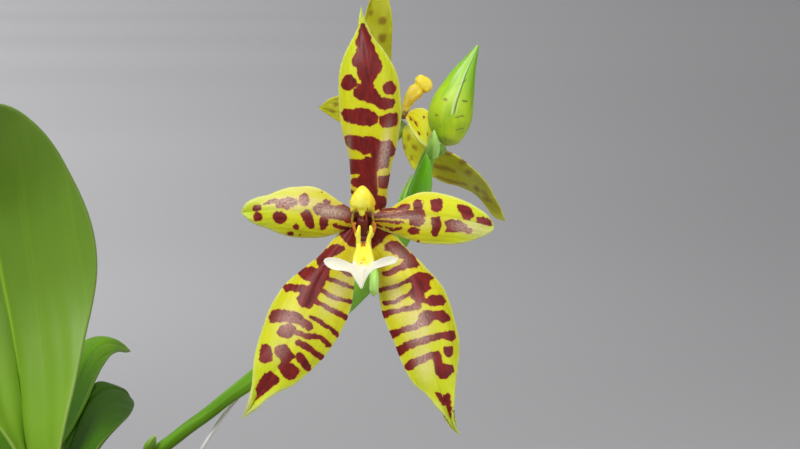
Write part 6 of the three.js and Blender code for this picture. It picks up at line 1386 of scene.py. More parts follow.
    "rear_left_petal": [("E", 337, 103.5, 2.6, 2.4), ("E", 333.6, 110.8, 3.2, 2.2), ("E", 346, 115, 4, 4), ("E", 352, 101, 4, 3), ("E", 362, 121, 5, 3), ("E", 370, 108, 5, 4)],
    "rear_right_petal": [("E", 411.5, 120, 1.1, 2.4, -30), ("E", 417, 125, 1.2, 3.4, -35), ("E", 419.5, 134.5, .9, 2.4, -30), ("E", 424, 119, .9, 1.7), ("E", 426.5, 136, .7, 1.6)],
    "rear_right_lateral_sepal": [("E", 449, 152, 4.4, 2.2, 28), ("E", 463.5, 161.5, 4, 1.8, 32), ("E", 409, 138, 2.4, 3.2), ("E", 416, 147, 3.6, 2.6, 30), ("S", [(424, 160, 1.6), (440, 165, 2.4), (456, 168, 1.6)]),
                                 ("S", [(438, 176, 2.2), (452, 180, 2.6), (466, 182, 1.6)]), ("E", 478, 186, 4, 3, 40), ("E", 487, 197, 3.2, 2.6, 40), ("E", 470, 170, 3.6, 2, 30), ("S", [(484, 188, 1.0), (492, 200, 1.2)]),
                                 ("E", 412, 158, 2, 2.2), ("E", 404.5, 147, 1.6, 2.2)],
    "rear_left_lateral_sepal": [("S", [(390, 140, 2), (398, 148, 2)]), ("S", [(380, 154, 2.2), (390, 162, 2)]), ("S", [(372, 168, 2.2), (382, 176, 2)]), ("S", [(366, 182, 2), (372, 188, 2)])],
}

TEPALS = {
    "front_dorsal_sepal": (
        [(356, 214), (353.2, 205), (352, 192.4), (351.8, 183.7), (350.8, 171.6), (349.4, 159.6), (345.7, 146.2), (342.7, 130.1), (340, 116.7), (339.9, 110.9), (338.8, 95.6), (338.3, 80.3), (339.6, 68.9), (343, 58.1), (350.7, 42.8), (356.4, 30.6), (359.5, 15.3), (361.2, 5.7)],
        [(367.5, 216), (369, 205), (369.8, 190), (370.5, 170), (371, 150), (370.6, 125), (369.8, 95.6), (368.5, 75), (366.5, 55), (363.8, 35), (362, 20), (361.2, 5.7)],
        [(380, 214), (384.6, 209.1), (386.9, 200.4), (387.9, 183.7), (390.3, 166.9), (394.3, 153.5), (397.6, 142.2), (400.3, 126.7), (401.7, 116.7), (402.3, 110.9), (400.8, 95.6), (399.2, 82.6), (395.8, 70.4), (390.4, 60.4), (383.6, 49.7), (375.1, 39.8), (368.3, 26), (362.9, 15.3), (361.2, 5.7)],
        [(0, 1.4), (.15, .7), (.4, -.7), (.65, -1.2), (.85, -.4), (1, 1.4)],
        [(0, [.5, 0, 0, 0, .5]), (.15, [1.0, -.15, 0, -.15, 1.0]), (.4, [1.3, .05, 0, .05, 1.3]), (.6, [1.5, .3, 0, .3, 1.5]), (.8, [1.0, .25, 0, .25, 1.0]), (1, [0, 0, 0, 0, 0])]),
    "front_left_lateral_sepal": (
        [(351, 221), (347.5, 227), (339.5, 233.2), (328, 245.3), (316.5, 257.4), (301.2, 270.8), (287.2, 282.3), (277, 295), (270, 307.8), (264.9, 323.1), (259.1, 338.4), (255.9, 351.2), (253.8, 367.8), (250.8, 389.4), (248.3, 405.3), (241.3, 420)],
        [(355, 224), (350.5, 234), (345, 243), (337, 252.5), (327, 267), (319, 281), (312.7, 298), (303.8, 316.7), (295.5, 331), (287.2, 348.6), (277, 369), (265.5, 385.6), (254, 401.6), (248, 410.5), (241.3, 420)],
        [(362, 229), (360, 240), (358.5, 252), (357, 264), (354.8, 273.4), (354.2, 283.6), (352.2, 301.4), (349, 314.2), (340.8, 333.3), (331.8, 347.3), (321.6, 360.1), (308.9, 372.9), (294.8, 384.3), (278.3, 392), (266.8, 399.6), (257.9, 407.3), (250.2, 412.4), (241.3, 420)],
        [(0, 1.2), (.12, .3), (.35, -1.7), (.6, -2.7), (.8, -2.4), (1, -.6)],
        [(0, [.4, 0, 0, 0, .3]), (.15, [1.0, .2, 0, .1, .6]), (.4, [1.9, .45, 0, .35, 1.3]), (.62, [1.7, .35, 0, .3, 1.2]), (.78, [.2, -.15, 0, -.1, .1]), (.9, [-.6, -.4, 0, -.4, -.6]), (1, [0, 0, 0, 0, 0])]),
    "front_right_lateral_sepal": (
        [(365, 229), (367, 240), (369, 252), (374, 262), (378, 272), (378.7, 281), (378.7, 290.3), (381.4, 310.4), (387.4, 326.4), (394.1, 342.5), (400.1, 358.6), (406.2, 372), (414.2, 385.3), (426.2, 394.7), (435.6, 405.4), (445, 417.5), (451.7, 426.9), (460.4, 436.2)],
        [(372, 224), (377, 233), (383, 241.5), (390.1, 250.1), (400.8, 266.2), (408.8, 280.9), (416.9, 297), (423.6, 315.7), (428.9, 337.1), (432.3, 354.5), (435.6, 373.3), (439.6, 388), (445, 402.8), (450.4, 417.5), (454.8, 427.5), (460.4, 436.2)],
        [(375, 221.5), (383, 227), (390, 231), (395.4, 234), (403.5, 244.7), (414.2, 255.4), (423.6, 264.8), (434.3, 276.9), (443.7, 288.9), (450.4, 302.3), (454.4, 315.7), (457.7, 331.8), (459.1, 345.2), (458.4, 358.6), (457, 374.6), (455.7, 390.7), (454.4, 408.1), (453.9, 417.5), (456.2, 426.9), (460.4, 436.2)],
        [(0, 1.2), (.12, .3), (.35, -1.6), (.6, -2.6), (.8, -2.3), (1, -.4)],
        [(0, [.3, 0, 0, 0, .4]), (.15, [.6, .1, 0, .2, 1.0]), (.4, [1.3, .3, 0, .5, 2.0]), (.62, [1.2, .3, 0, .4, 1.8]), (.78, [.1, -.1, 0, -.1, .3]), (.9, [-.6, -.4, 0, -.4, -.5]), (1, [0, 0, 0, 0, 0])]),
    "front_left_petal": (
        [(353, 212), (348.8, 208.1), (341.8, 203.9), (334.7, 198.2), (327.7, 193.3), (318.6, 188.4), (310.2, 186.3), (301.8, 186.3), (289.1, 187.4), (276.5, 191.2), (268.1, 194.7), (258.9, 196.8), (249.1, 201.8), (244.2, 206.7), (240.7, 212.3)],
        [(353.5, 219), (345.3, 217.9), (330, 216.5), (317.2, 215.1), (296.1, 212.3), (279.3, 210.2), (264.6, 210.9), (252, 211.8), (240.7, 212.3)],
        [(353, 226), (347.4, 229.1), (338.2, 232.3), (327.7, 235.4), (317.2, 237.5), (303.2, 237.9), (293.3, 236.8), (282.1, 234), (268.1, 228.4), (255.4, 223.5), (246.3, 217.2), (240.7, 212.3)],
        [(0, .6), (.2, 0), (.5, -.7), (.8, -.5), (1, .4)],
        [(0, [.3, 0, 0, 0, .3]), (.2, [.7, .1, 0, .1, .8]), (.5, [.9, .25, 0, .25, 1.3]), (.75, [.5, .1, 0, .15, .8]), (.9, [-.1, -.15, 0, -.1, .1]), (1, [0, 0, 0, 0, 0])]),
    "front_right_petal": (
        [(373.5, 212), (382.3, 209.2), (390.4, 207.9), (398.4, 203.4), (408.2, 197.6), (417.1, 194), (427, 192.5), (436.8, 192.9), (447.5, 195.4), (458.2, 198.9), (471.6, 204.7), (480.5, 209.6), (487.7, 215), (492.1, 221.3), (494.2, 226.5)],
        [(373, 219), (380, 218.5), (396, 217), (413.6, 215.9), (440.4, 216.8), (467.1, 221.3), (482, 224.6), (494.2, 226.5)],
        [(374, 226), (387.7, 232), (395.7, 234.2), (402.9, 237.3), (411.8, 240), (422.5, 243.1), (435.9, 244.5), (449.3, 244.5), (462.7, 242.7), (476.1, 239.1), (487.7, 234.6), (492.8, 231), (494.2, 226.5)],
        [(0, .6), (.2, 0), (.5, -.6), (.8, -.4), (1, .5)],
        [(0, [.3, 0, 0, 0, .3]), (.2, [.8, .1, 0, .1, .7]), (.5, [1.3, .25, 0, .2, .9]), (.75, [.9, .15, 0, .1, .5]), (.9, [.2, -.05, 0, -.1, .05]), (1, [0, 0, 0, 0, 0])]),
    "rear_dorsal_sepal": (
        [(396.5, 110), (383, 102), (369, 91), (358, 72), (354.5, 55), (357, 38), (361.5, 25), (365.4, 15), (367.5, 6.9), (371, -4), (373, -22), (374, -42)],
        [(400.8, 112.6), (391, 92), (379, 66), (374.5, 42), (377, 14), (377, -10), (374, -42)],
        [(405, 115.5), (400.5, 107), (396, 94), (392.5, 78), (391.2, 60.4), (391.6, 42.8), (392, 26.8), (391.2, 11.5), (388.6, -1), (382, -22), (374, -42)],
        [(0, 23), (.3, 19.5), (.6, 15), (.85, 12), (1, 11.2)],
        [(0, [0, 0, 0, 0, 0]), (.2, [.6, .7, 0, -.7, -1.6]), (.6, [1.0, .9, 0, -1.0, -2.6]), (.85, [.3, .4, 0, -.4, -1.2]), (1, [0, 0, 0, 0, 0])]),
    "rear_left_petal": (
        [(399, 117), (392, 107), (380, 99.5), (355, 93.5), (339, 95.6), (330, 98.4), (318.5, 108)], [(398.5, 118.5), (385, 115.5), (360, 111), (340, 108.5), (318.5, 108)],
        [(399, 120.5), (390, 128), (376, 131.5), (358, 130.5), (340, 122.4), (327, 114.3), (318.5, 108)], [(0, 25), (.3, 26.5), (.6, 28.5), (1, 32)],
        [(0, [-.2, 0, 0, 0, -.2]), (.5, [-1.8, -.7, 0, .5, .7]), (1, [0, 0, 0, 0, 0])]),
    "rear_right_petal": (
        [(406, 118), (409, 126.5), (416, 137.5), (422, 144.5), (428, 149)], [(408, 115.6), (414.5, 119.5), (421.5, 130), (426, 140.5), (428, 149)],
        [(409, 112.5), (413.5, 109.8), (419.5, 108.2), (427, 110.5), (431.5, 119), (432, 133), (428, 149)],
        [(0, 22.2), (.4, 19.5), (.7, 17.8), (1, 16.8)], [(0, [0, 0, 0, 0, .3]), (.5, [-.5, -.2, 0, .6, 1.6]), (1, [0, 0, 0, 0, 0])]),
    "rear_right_lateral_sepal": (
        [(405.5, 126), (402.2, 130), (401.7, 137.7), (403.9, 150), (408.4, 160.7), (414.2, 169.6), (433.9, 177.5), (443.5, 182.6), (459.4, 186.5), (475.4, 194.5), (486.5, 207.3), (494.5, 217.4), (505.7, 221.6)],
        [(408, 126.5), (414, 138), (424, 152), (440, 163.5), (460, 172.5), (478, 185), (493, 204), (505.7, 221.6)],
        [(411.5, 126.5), (422, 133), (432, 141.5), (441.4, 148.2), (457.5, 157.1), (475.4, 171.4), (491.3, 191.3), (500.9, 208.9), (505.7, 221.6)],
        [(0, 25.5), (.3, 24.5), (.6, 25), (.85, 28), (1, 31)],
        [(0, [-.2, 0, 0, 0, -.2]), (.25, [1.0, .8, 0, -1.0, -2.6]), (.6, [1.6, 1.2, 0, -1.4, -3.6]), (.85, [.8, .5, 0, -.5, -1.4]), (1, [0, 0, 0, 0, 0])]),
    "rear_left_lateral_sepal": (
        [(400, 126), (388, 138), (371, 158), (361.5, 178), (362.5, 199)], [(401.5, 128), (390, 146), (378, 165), (369, 184), (362.5, 199)], [(403.5, 129), (397, 138), (390, 154), (380, 176), (362.5, 199)],
        [(0, 27.5), (.3, 31), (.6, 36.5), (1, 45)], [(0, [-.2, 0, 0, 0, -.2]), (.4, [-3.0, -1.0, 0, .8, 1.6]), (.7, [-2.4, -.8, 0, .6, 1.2]), (1, [0, 0, 0, 0, 0])]),
}
# groove (mm deep) along the midrib: table over the length
GROOVE = {"front_dorsal_sepal": [(0, .02), (.3, .03), (.7, .02), (1, 0)], "front_left_lateral_sepal": [(0, .05), (.4, .08), (.7, .09), (.86, .04), (.95, .0), (1, 0)],
          "front_right_lateral_sepal": [(0, .05), (.4, .08), (.7, .09), (.86, .04), (.95, .0), (1, 0)]}


# painted sheen, pale highlight patches laid into the colour: (x, y, half length, half width, turn, strength)
PAINTED_SHEEN = {
    "front_left_petal": [(296, 203, 34, 8, 3, .55), (330, 212, 17, 6, 8, .72), (300, 191, 22, 4, 0, .3)],
    "front_right_petal": [(404, 217, 24, 5, 0, .35), (424, 222, 10, 6, 0, .3), (470, 228, 20, 7, 12, .5)],
    "front_dorsal_sepal": [(384, 152, 4.5, 26, 8, .5), (350, 150, 3, 22, 0, .22)],
    "front_left_lateral_sepal": [(336, 292, 9, 26, 32, .4), (292, 326, 15, 16, 0, .32), (280, 350, 8, 14, 20, .2)],
    "front_right_lateral_sepal": [(398, 300, 8, 22, -16, .4), (418, 326, 12, 24, -14, .5), (424, 360, 9, 22, -10, .4), (400, 258, 8, 14, -40, .25)],
}


def make_tepal(name, k):
    front = name.startswith("front")
    rows, cols = (170, 61) if front else (110, 41)
    px, py, dep, u, v = px_blade(*TEPALS[name], rows=rows, cols=cols)
    P = W(px, py, dep)
    N = grid_normals(P)
    if (N @ -AFW).mean() < 0:
        N = -N
    H, e = half_thickness(P, u, v, 0.78, 0.34, reach=1.8)
    half, _ = width_profile(P, u)
    x = u * half
    L = np.concatenate([[0], np.cumsum(np.linalg.norm(np.diff(P[:, cols // 2], axis=0), axis=1))])
    Y = np.broadcast_to(L[:, None], x.shape)
    ends = smoothstep(0, 0.1, v)[:, None] * smoothstep(1, 0.93, v)[:, None]
    groove = hermite(GROOVE.get(name, [(0, .04), (.5, .07), (1, 0)]), v)[:, 0][:, None]
    side = 1 if front else -1
    gw = np.clip(0.13 * half, 0.08, 0.34)
    D = -side * groove * np.exp(-((x / gw) ** 2))
    D = D + side * 0.25 * groove * np.exp(-(((np.abs(x) - 2.2 * gw) / (1.2 * gw)) ** 2))
    D = D + (0.10 * fbm(x / 3.2 + 5 * k, Y / 4.5, octaves=2, seed=200 + k) + 0.012 * np.sin(x * 2 * math.pi / 0.62 + 0.8 * fbm(x / 3, Y / 9, seed=220 + k))) * ends
    # margins ripple a little
    D = D + 0.10 * vnoise(Y / 2.6, np.sign(x) * 3.0 + k, seed=240 + k) * smoothstep(1.6, 0.1, e) * ends
    P2 = P + N * D[..., None]
    spot = markings(px, py, MARKS.get(name, []), rough=1.35 if front else 1.0, seed=300 + k, blend=0.7)
    N2 = grid_normals(P2)
    N2 *= np.sign((N2 * N).sum(-1, keepdims=True) + 1e-9)
    # painted sheen: pale highlight patches laid into the colour, carried to the material as an attribute
    clay_bloom_and_painted_sheen = np.zeros_like(px)
    for bx, by, ra, rb, turn, power in PAINTED_SHEEN.get(name, []):
        c, sn = math.cos(math.radians(turn)), math.sin(math.radians(turn))
        dx, dy = px - bx, py - by
        clay_bloom_and_painted_sheen = np.maximum(clay_bloom_and_painted_sheen, power * np.exp(-(((dx * c + dy * sn) / ra) ** 2 + ((dy * c - dx * sn) / rb) ** 2) ** 1.3))
    ob = shell(name + "_fine", P2, N2, H, u, v, {"edge": e, "spot": spot, "clay_bloom_and_painted_sheen": clay_bloom_and_painted_sheen, "loc": np.stack([x, Y, np.full_like(x, 11.0 * k)], -1)})
    if not front and name != "rear_right_petal":
        # this flower turns its back to the view: the near side is the outer one
        fa = np.zeros(len(ob.data.vertices), np.float32)
        ob.data.attributes["face"].data.foreach_get("value", fa)
        put_attr(ob.data, "face", -fa)
    place(ob, name, M_TEPAL if front else M_TEPAL_REAR)
    return ob


for k, name in enumerate(TEPALS):
    make_tepal(name, k)


# ------------------------------------------------------------------ column, cap and lip, in a flower's own frame
def img(a, b, c):
    return a * AX + b * AUP - c * AFW


def frame_matrix(c, R, U, F):
    M = np.eye(4)
    M[:3, 0], M[:3, 1], M[:3, 2], M[:3, 3] = R, U, F, np.asarray(c) * MM
    return M


FRONT = frame_matrix(W(363, 222, 0), img(1, 0, 0), img(0, 1, 0), img(0, 0, 1))
REAR_LIP = frame_matrix(np.asarray(W(404, 120, 25)) + 0.4 * np.asarray(img(2.4625, -2.2225, -5.856)), 0.6 * img(-0.799, 0.369, -0.476), 0.6 * img(0.0475, 0.827, 0.561), 0.6 * img(0.6, 0.425, -0.678))
REAR = frame_matrix(W(404, 120, 25), img(-0.799, 0.369, -0.476), img(0.0475, 0.827, 0.561), img(0.6, 0.425, -0.678))


def loft(pts, axis=(0, 0, 1), n=None, sides=40, wobble=None):
    L = sum(math.dist(a[:3], b[:3]) for a, b in zip(pts, pts[1:]))
    v, f, _ = sweep(pts, n or max(24, int(L / 0.07)), sides, depth_axis=axis, wobble=wobble)
    return v, f


def plate(poly, z0, z1, n=260, smooth=3):
    C = catmull(poly + [poly[0]], n)[0][:-1, :2]
    m = len(C)
    v = np.vstack([np.c_[C, np.full(m, z0)], np.c_[C, np.full(m, z1)]])
    f = [[i, (i + 1) % m, m + (i + 1) % m, m + i] for i in range(m)]
    f.append(list(range(m))[::-1])
    f.append(list(range(m, 2 * m)))
    return v, f


def ball(c, r, seg=24):
    bm = bmesh.new()
    bmesh.ops.create_icosphere(bm, subdivisions=3, radius=1)
    v = np.array([w.co[:] for w in bm.verts]) * np.array(r) + np.array(c)
    f = [[w.index for w in q.verts] for q in bm.faces]
    bm.free()
    return v, f


def finish_organ(ob, masks):
    co = co_mm(ob)
    for k, fn in masks.items():
        put_attr(ob.data, k, np.clip(fn(co[:, 0], co[:, 1], co[:, 2]), 0, 1))
    put_attr(ob.data, "loc", co)
    return ob


def gauss(x, s):
    return np.exp(-((x / s) ** 2))


def seg_dist(x, y, chain):
    return sd_stroke(x, y, [(a, b, 0.0) for a, b in chain])


COLUMN = [(.2, -.7, -1.9, .95, .95), (.1, -.5, -1, 1.3, 1.3), (0, .1, .6, 1.32, 1.18), (0, 1.1, 2.2, 1.28, 1.05), (0, 2, 3.2, 1.3, 1.05), (0, 2.35, 3.55, 1.05, .85)]
COLUMN_FOOT = [(0, -.4, -.6, .9, .6), (0, -1.5, .3, .8, .55), (0, -2.2, 1.2, .6, .45)]
CAP = [(0, 1.32, 4.05, 1.0, .36), (0, 1.5, 4.2, 1.3, .55), (0, 1.9, 4.4, 1.5, .72), (0, 2.3, 4.55, 1.53, .8), (0, 2.9, 4.7, 1.32, .84), (0, 3.4, 4.76, 1.02, .76), (0, 3.9, 4.76, .64, .56), (0, 4.15, 4.7, .36, .36), (0, 4.32, 4.66, .14, .16)]
BEAK = [(-.08, 1.7, 4.5, .55, .4), (-.08, 1.3, 4.3, .42, .32), (-.06, .95, 4.05, .34, .26), (-.04, .72, 3.8, .22, .18)]


def make_column():
    wings = []
    for s in (-1, 1):
        wings.append(loft([(s * .45, 1.2, 3.35, .2, .3), (s * .75, .95, 3.3, .17, .3), (s * 1.05, .7, 3.15, .16, .34), (s * 1.22, .3, 2.75, .18, .38), (s * 1.15, -.3, 2.0, .2, .4), (s * .95, -.9, 1.2, .22, .34)]))
    hood = loft([(0, .75, 3.1, .8, .3), (0, .2, 2.8, .75, .3), (0, -.6, 2.1, .62, .3), (0, -1.5, 1.2, .5, .3)])
    ob = fuse("front_column_fine", [loft(COLUMN, (0, 1, 0), sides=56), loft(COLUMN_FOOT, sides=40), hood] + wings, 0.07, 5)
    co = co_mm(ob)
    x, y, z = co.T
    # the hollow under the cap, between the wings
    d = gauss(x, .42) * gauss(y - .55, .55) * smoothstep(2.2, 3.0, z) * 0.5
    co[:, 2] -= d
    ob.data.vertices.foreach_set("co", (co * MM).ravel())
    return finish_organ(ob, {
        "maroon": lambda x, y, z: smoothstep(1.5, .9, y) * smoothstep(.2, 1.2, z) * smoothstep(1.22, .95, np.abs(x)),
        "orange": lambda x, y, z: 0.9 * (gauss(x - .42, .1) + gauss(x + .02, .08)) * smoothstep(1.3, .9, y) * smoothstep(-.1, .3, y) * smoothstep(1.5, 2.2, z) + .8 * smoothstep(2.2, .6, z) * smoothstep(-1.2, -.6, y) * .5,
        "olive": lambda x, y, z: np.maximum(smoothstep(1.0, 1.12, np.abs(x)), gauss(seg_dist(np.abs(x), y, [(.45, 1.2), (.75, .95), (1.05, .7), (1.22, .3)]), .14)) * smoothstep(-.2, .3, y) * smoothstep(2.2, 1.4, y) * smoothstep(2.4, 2.8, z),
    })


def make_cap():
    def wob(s, a, length):
        t = s / length
        return 1 + 0.03 * np.cos(2 * a) * smoothstep(.1, .4, t) - 0.02
    side = [loft([(s * 1.14, 1.85, 4.3, .32, .36), (s * 1.25, 1.5, 4.1, .2, .28), (s * 1.38, 1.2, 3.9, .07, .1)]) for s in (-1, 1)]
    ob = fuse("front_anther_cap_fine", [loft(CAP, sides=56, wobble=wob), loft(BEAK, sides=28)] + side, 0.055, 4)
    co = co_mm(ob)
    x, y, z = co.T
    # a faint keel, and the two dimples over the pollen either side of the beak
    co[:, 2] += 0.10 * gauss(x, .3) * smoothstep(1.2, 2.6, y) * smoothstep(4.4, 3.4, y) * smoothstep(4.6, 5.2, z)
    for s in (-1, 1):
        co[:, 2] -= 0.2 * gauss(x + .08 - s * .66, .16) * gauss(y - 1.5, .3) * smoothstep(4.0, 4.5, z)
    co[:, :3] += 0.02 * np.stack([fbm(co[:, 1], co[:, 2], co[:, 0], seed=51), np.zeros(len(co)), fbm(co[:, 0], co[:, 1], seed=52)], 1)
    ob.data.vertices.foreach_set("co", (co * MM).ravel())
    return finish_organ(ob, {
        # painted highlight on the front of the dome, left of centre, and a pale band across the beak
        "painted_highlight": lambda x, y, z: 0.9 * gauss(x + .25, .7) * gauss(y - 2.5, .9) * smoothstep(4.4, 5.0, z) + .7 * gauss(y - 1.0, .35) * gauss(x, .4),
        # painted shade: deeper yellow down the right side, on the far left edge and where the sides turn away at the
        # back
        "deep_yellow_and_painted_shade": lambda x, y, z: smoothstep(.5, 1.3, x) * .9 + smoothstep(-1.0, -1.5, x) * .5 + smoothstep(4.6, 4.0, z) * .4 * smoothstep(.6, .9, np.abs(x)),
        # painted shade in the two dimples either side of the beak
        "gap_and_painted_shade": lambda x, y, z: (gauss(x + .08 - .66, .13) + gauss(x + .08 + .66, .13)) * gauss(y - 1.42, .3) * smoothstep(4.0, 4.4, z) * .85,
    })


LEGS = [
    [(-.36, -.36, 4.05, .12, .15), (-.42, -.7, 4.0, .2, .28), (-.5, -1.2, 3.8, .27, .4), (-.52, -1.9, 3.45, .28, .45), (-.5, -2.6, 3.1, .3, .5), (-.5, -3.3, 3.2, .36, .55), (-.68, -4.0, 3.8, .42, .55), (-.78, -4.6, 4.3, .42, .45), (-.82, -5.15, 4.62, .3, .25)],
    [(.9, -.36, 4.05, .12, .15), (.98, -.7, 4.0, .2, .28), (1.0, -1.2, 3.8, .25, .4), (.82, -1.75, 3.5, .28, .45), (.7, -2.4, 3.15, .3, .5), (.74, -3.2, 3.2, .36, .55), (.88, -3.9, 3.8, .4, .55), (.98, -4.5, 4.3, .4, .45), (.98, -5.1, 4.62, .3, .25)],
]
HOOKS = [
    [(-.62, -1.9, 3.2, .22, .24), (-.82, -1.2, 3.15, .2, .24), (-1.0, -.65, 3.2, .18, .22), (-.98, -.25, 3.3, .17, .2), (-.74, -.05, 3.35, .13, .16)],
    [(.95, -1.9, 3.2, .22, .24), (1.24, -1.2, 3.15, .2, .24), (1.46, -.65, 3.2, .18, .22), (1.42, -.25, 3.3, .17, .2), (1.16, -.05, 3.35, .13, .16)],
]
ANCHOR = [(-.18, -7.95), (-.36, -7.72), (-.6, -7.3), (-.86, -6.9), (-1.05, -6.5), (-1.3, -6.15), (-1.6, -5.95), (-2.1, -5.82), (-2.6, -5.76), (-3.1, -5.72), (-3.55, -5.6), (-3.95, -5.42), (-4.15, -5.3), (-4.28, -5.12), (-4.48, -5.0), (-4.5, -4.82),
          (-4.62, -4.66), (-4.52, -4.5), (-4.45, -4.36), (-4.2, -4.25), (-3.8, -4.18), (-3.3, -4.2), (-2.8, -4.3), (-2.3, -4.48), (-1.8, -4.68), (-1.35, -4.92), (-.9, -4.86), (-.5, -4.72), (0, -4.66), (.4, -4.7), (.95, -4.92), (1.35, -4.72), (1.8, -4.5),
          (2.3, -4.28), (2.8, -4.12), (3.25, -4.06), (3.7, -4.08), (3.98, -4.18), (4.12, -4.2), (4.28, -4.38), (4.18, -4.5), (4.2, -4.62), (4.02, -4.72), (3.95, -4.86), (3.7, -4.95), (3.1, -5.12), (2.55, -5.26), (2.0, -5.42), (1.5, -5.6), (1.1, -5.84),
          (.78, -6.2), (.5, -6.65), (.3, -7.1), (.1, -7.6), (0, -7.86)]


def make_lip():
    parts = [loft(p, sides=28) for p in LEGS + HOOKS]
    parts.append(loft([(0.05, -2.75, 1.6, .5, .4), (.08, -3.1, 2.45, .75, .5), (.1, -3.9, 3.5, .9, .5), (.08, -4.7, 4.3, 1.2, .42), (.08, -5.3, 4.6, 1.1, .26)], sides=40))
    parts.append(loft([(.08, -2.3, 2.7, .35, .25), (.1, -3.0, 2.75, .4, .3), (.1, -3.8, 3.4, .5, .3)], sides=24))
    parts.append(ball((.06, -4.42, 4.35), (.42, .34, .42)))
    parts.append(ball((-.14, -4.8, 4.6), (.2, .16, .25)))
    parts.append(plate(ANCHOR, 4.45, 4.95))
    ob = fuse("front_lip_fine", parts, 0.055, 5)
    co = co_mm(ob)
    x, y, z = co.T
    w = smoothstep(-4.1, -4.9, y) + smoothstep(1.2, 1.9, np.abs(x)) * smoothstep(-3.9, -4.1, y)
    w = np.clip(w, 0, 1)
    # arms lift towards their ends and are slightly cupped; the point turns back
    bend = 0.045 * np.clip(np.abs(x) - 1.2, 0, None) ** 2 - 0.05 * np.clip(-6.2 - y, 0, None) ** 2 * 2
    line = np.where(np.abs(x) > 1.4, -4.62 - 0.55 * np.clip(1 - (np.abs(x) - 1.4) / 2.2, 0, 1) - 0.1, y)
    cup = 0.16 * ((y - line) / .6) ** 2 * smoothstep(1.2, 2.2, np.abs(x))
    keel = 0.16 * gauss(x - .1 + (y + 5.5) * -.1, .28) * smoothstep(-5.0, -5.6, y) * (z > 4.7)
    co[:, 2] = z + w * (bend + cup) + keel + 0.02 * fbm(x * 1.5, y * 1.5, seed=61)
    ob.data.vertices.foreach_set("co", (co * MM).ravel())
    return finish_organ(ob, {
        "yellow": lambda x, y, z: np.maximum(smoothstep(-4.9, -4.3, y) * smoothstep(1.9, 1.25, np.abs(x - .1)), smoothstep(-5.9, -4.4, y) * smoothstep(1.5, .5, np.abs(x - .1))),
        "deep_yellow_and_painted_shade": lambda x, y, z: gauss(x - .06, .34) * gauss(y + 4.4, .34) * smoothstep(3.9, 4.4, z) * 1.1,
        "orange": lambda x, y, z: np.maximum.reduce([gauss(seg_dist(x, y, [(-.74, -.05), (-.98, -.25), (-1.0, -.65), (-.85, -1.1)]), .3) * smoothstep(3.7, 3.4, z) * smoothstep(-.55, -.75, x),
                                                     gauss(seg_dist(x, y, [(1.16, -.05), (1.42, -.25), (1.46, -.65), (1.27, -1.1)]), .3) * smoothstep(3.7, 3.4, z) * smoothstep(1.08, 1.2, x),
                                                     gauss(x - .1, .3) * smoothstep(-3.5, -3.0, y) * smoothstep(3.3, 3.0, z)]),
        "pink": lambda x, y, z: gauss(x + .14, .2) * gauss(y + 4.85, .14) * smoothstep(4.4, 4.7, z) * .8,
        "shade": lambda x, y, z: smoothstep(4.5, 4.2, z) * smoothstep(-4.4, -5.0, y),
    })


M_COLUMN = painted_material("column_yellow", lin(206, 172, 30), [("olive", lin(168, 156, 30)), ("maroon", lin(112, 20, 20)), ("orange", lin(214, 92, 18))], rough=0.4, coat=0.2)
M_CAP = painted_material("cap_yellow", lin(253, 236, 14), [("deep_yellow_and_painted_shade", lin(238, 208, 6)), ("painted_highlight", lin(255, 248, 96)), ("gap_and_painted_shade", lin(196, 120, 10))], rough=0.42, sss=0.2, coat=0.12)
M_LIP = painted_material("lip_cream", lin(243, 240, 218), [("shade", lin(226, 220, 176)), ("yellow", lin(255, 246, 78)), ("deep_yellow_and_painted_shade", lin(252, 220, 30)), ("orange", lin(206, 116, 34)), ("pink", lin(232, 168, 150))],
                         rough=0.42, sss=0.25, coat=0.18)
for maker, node, slot, mat in ((make_column, "column", "column_yellow", M_COLUMN), (make_cap, "anther_cap", "cap_yellow", M_CAP), (make_lip, "lip", "lip_cream", M_LIP)):
    src = maker()
    far = None
    if node == "lip":
        far = moved(src, "rear_lip_fine", REAR_LIP)
    src.data.transform(Matrix(FRONT.tolist()))
    place(src, "front_" + node, mat)
    if far is not None:
        place(decimate(far, 0.6), "rear_" + node, mat)


def px_sweep(rows, sides=48, wobble=None):
    pts = [tuple(W(a, b, c)) + (rx, ry) for a, b, c, rx, ry in rows]
    v, f, _ = sweep(pts, 70, sides, round_ends=True, wobble=wobble)
    return v, f


def lobed(s, a, length):
    return 1 + 0.07 * np.cos(3 * a + 0.6) * smoothstep(0.1, 0.5, s / length)


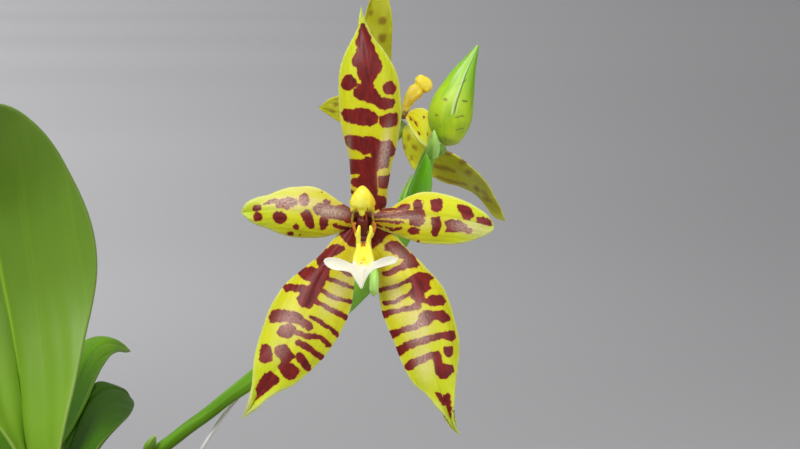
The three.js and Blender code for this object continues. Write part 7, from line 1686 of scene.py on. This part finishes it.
M_TONGUE = painted_material("column_far", lin(255, 222, 4), [("base", lin(170, 90, 24)), ("rim", lin(244, 196, 4))], rough=0.42, coat=0.12)
M_TONGUE_CAP = painted_material("cap_far", lin(255, 226, 4), [("rim", lin(244, 192, 2)), ("painted_highlight", lin(255, 236, 50))], rough=0.42, coat=0.12)
far = fuse("rear_column_fine", [px_sweep([(402.5, 119, 25.4, .8, .75), (404.6, 111.5, 25.6, .55, .6), (407.4, 104, 25.9, .62, .62), (411.6, 96.5, 26.1, .86, .68), (416.4, 91.0, 26.3, 1.06, .72), (421.0, 87.0, 26.5, 1.14, .7)]),
                            px_sweep([(408, 107, 25.2, .16, .2), (412, 100.5, 25.3, .28, .3), (416.5, 95.8, 25.5, .34, .34), (421.5, 92.6, 25.8, .3, .3)], 28)], 0.07, 5)
co = co_mm(far)
q = np.stack(project(co), 1)
put_attr(far.data, "base", smoothstep(107, 115, q[:, 1]))
put_attr(far.data, "rim", gauss(sd_stroke(q[:, 0], q[:, 1], [(411, 104, 0), (416, 98, 0), (422, 94.5, 0)]), 2.2))
put_attr(far.data, "loc", co - np.asarray(W(410, 100, 26)))
place(far, "rear_column", M_TONGUE)
far = fuse("rear_anther_cap_fine", [px_sweep([(417.6, 89.8, 26.35, .96, .66), (420.6, 87.0, 26.5, 1.17, .76), (424.4, 83.4, 26.6, 1.24, .74), (427.4, 80.4, 26.7, 1.12, .68), (429.2, 78.4, 26.8, .72, .5)], wobble=lobed),
                                px_sweep([(424.6, 89.4, 26.0, .3, .3), (427.2, 90.6, 26.0, .3, .28), (428.6, 92.4, 26.0, .16, .16)], 24)], 0.06, 4)
co = co_mm(far)
q = np.stack(project(co), 1)
put_attr(far.data, "rim", smoothstep(85, 92, q[:, 1]) * 0.6)
# painted highlight at the top of the far cap
put_attr(far.data, "painted_highlight", 0.8 * gauss(q[:, 0] - 425, 2.4) * gauss(q[:, 1] - 79.5, 2.4))
put_attr(far.data, "loc", co - np.asarray(W(425, 84, 26)))
place(far, "rear_anther_cap", M_TONGUE_CAP)
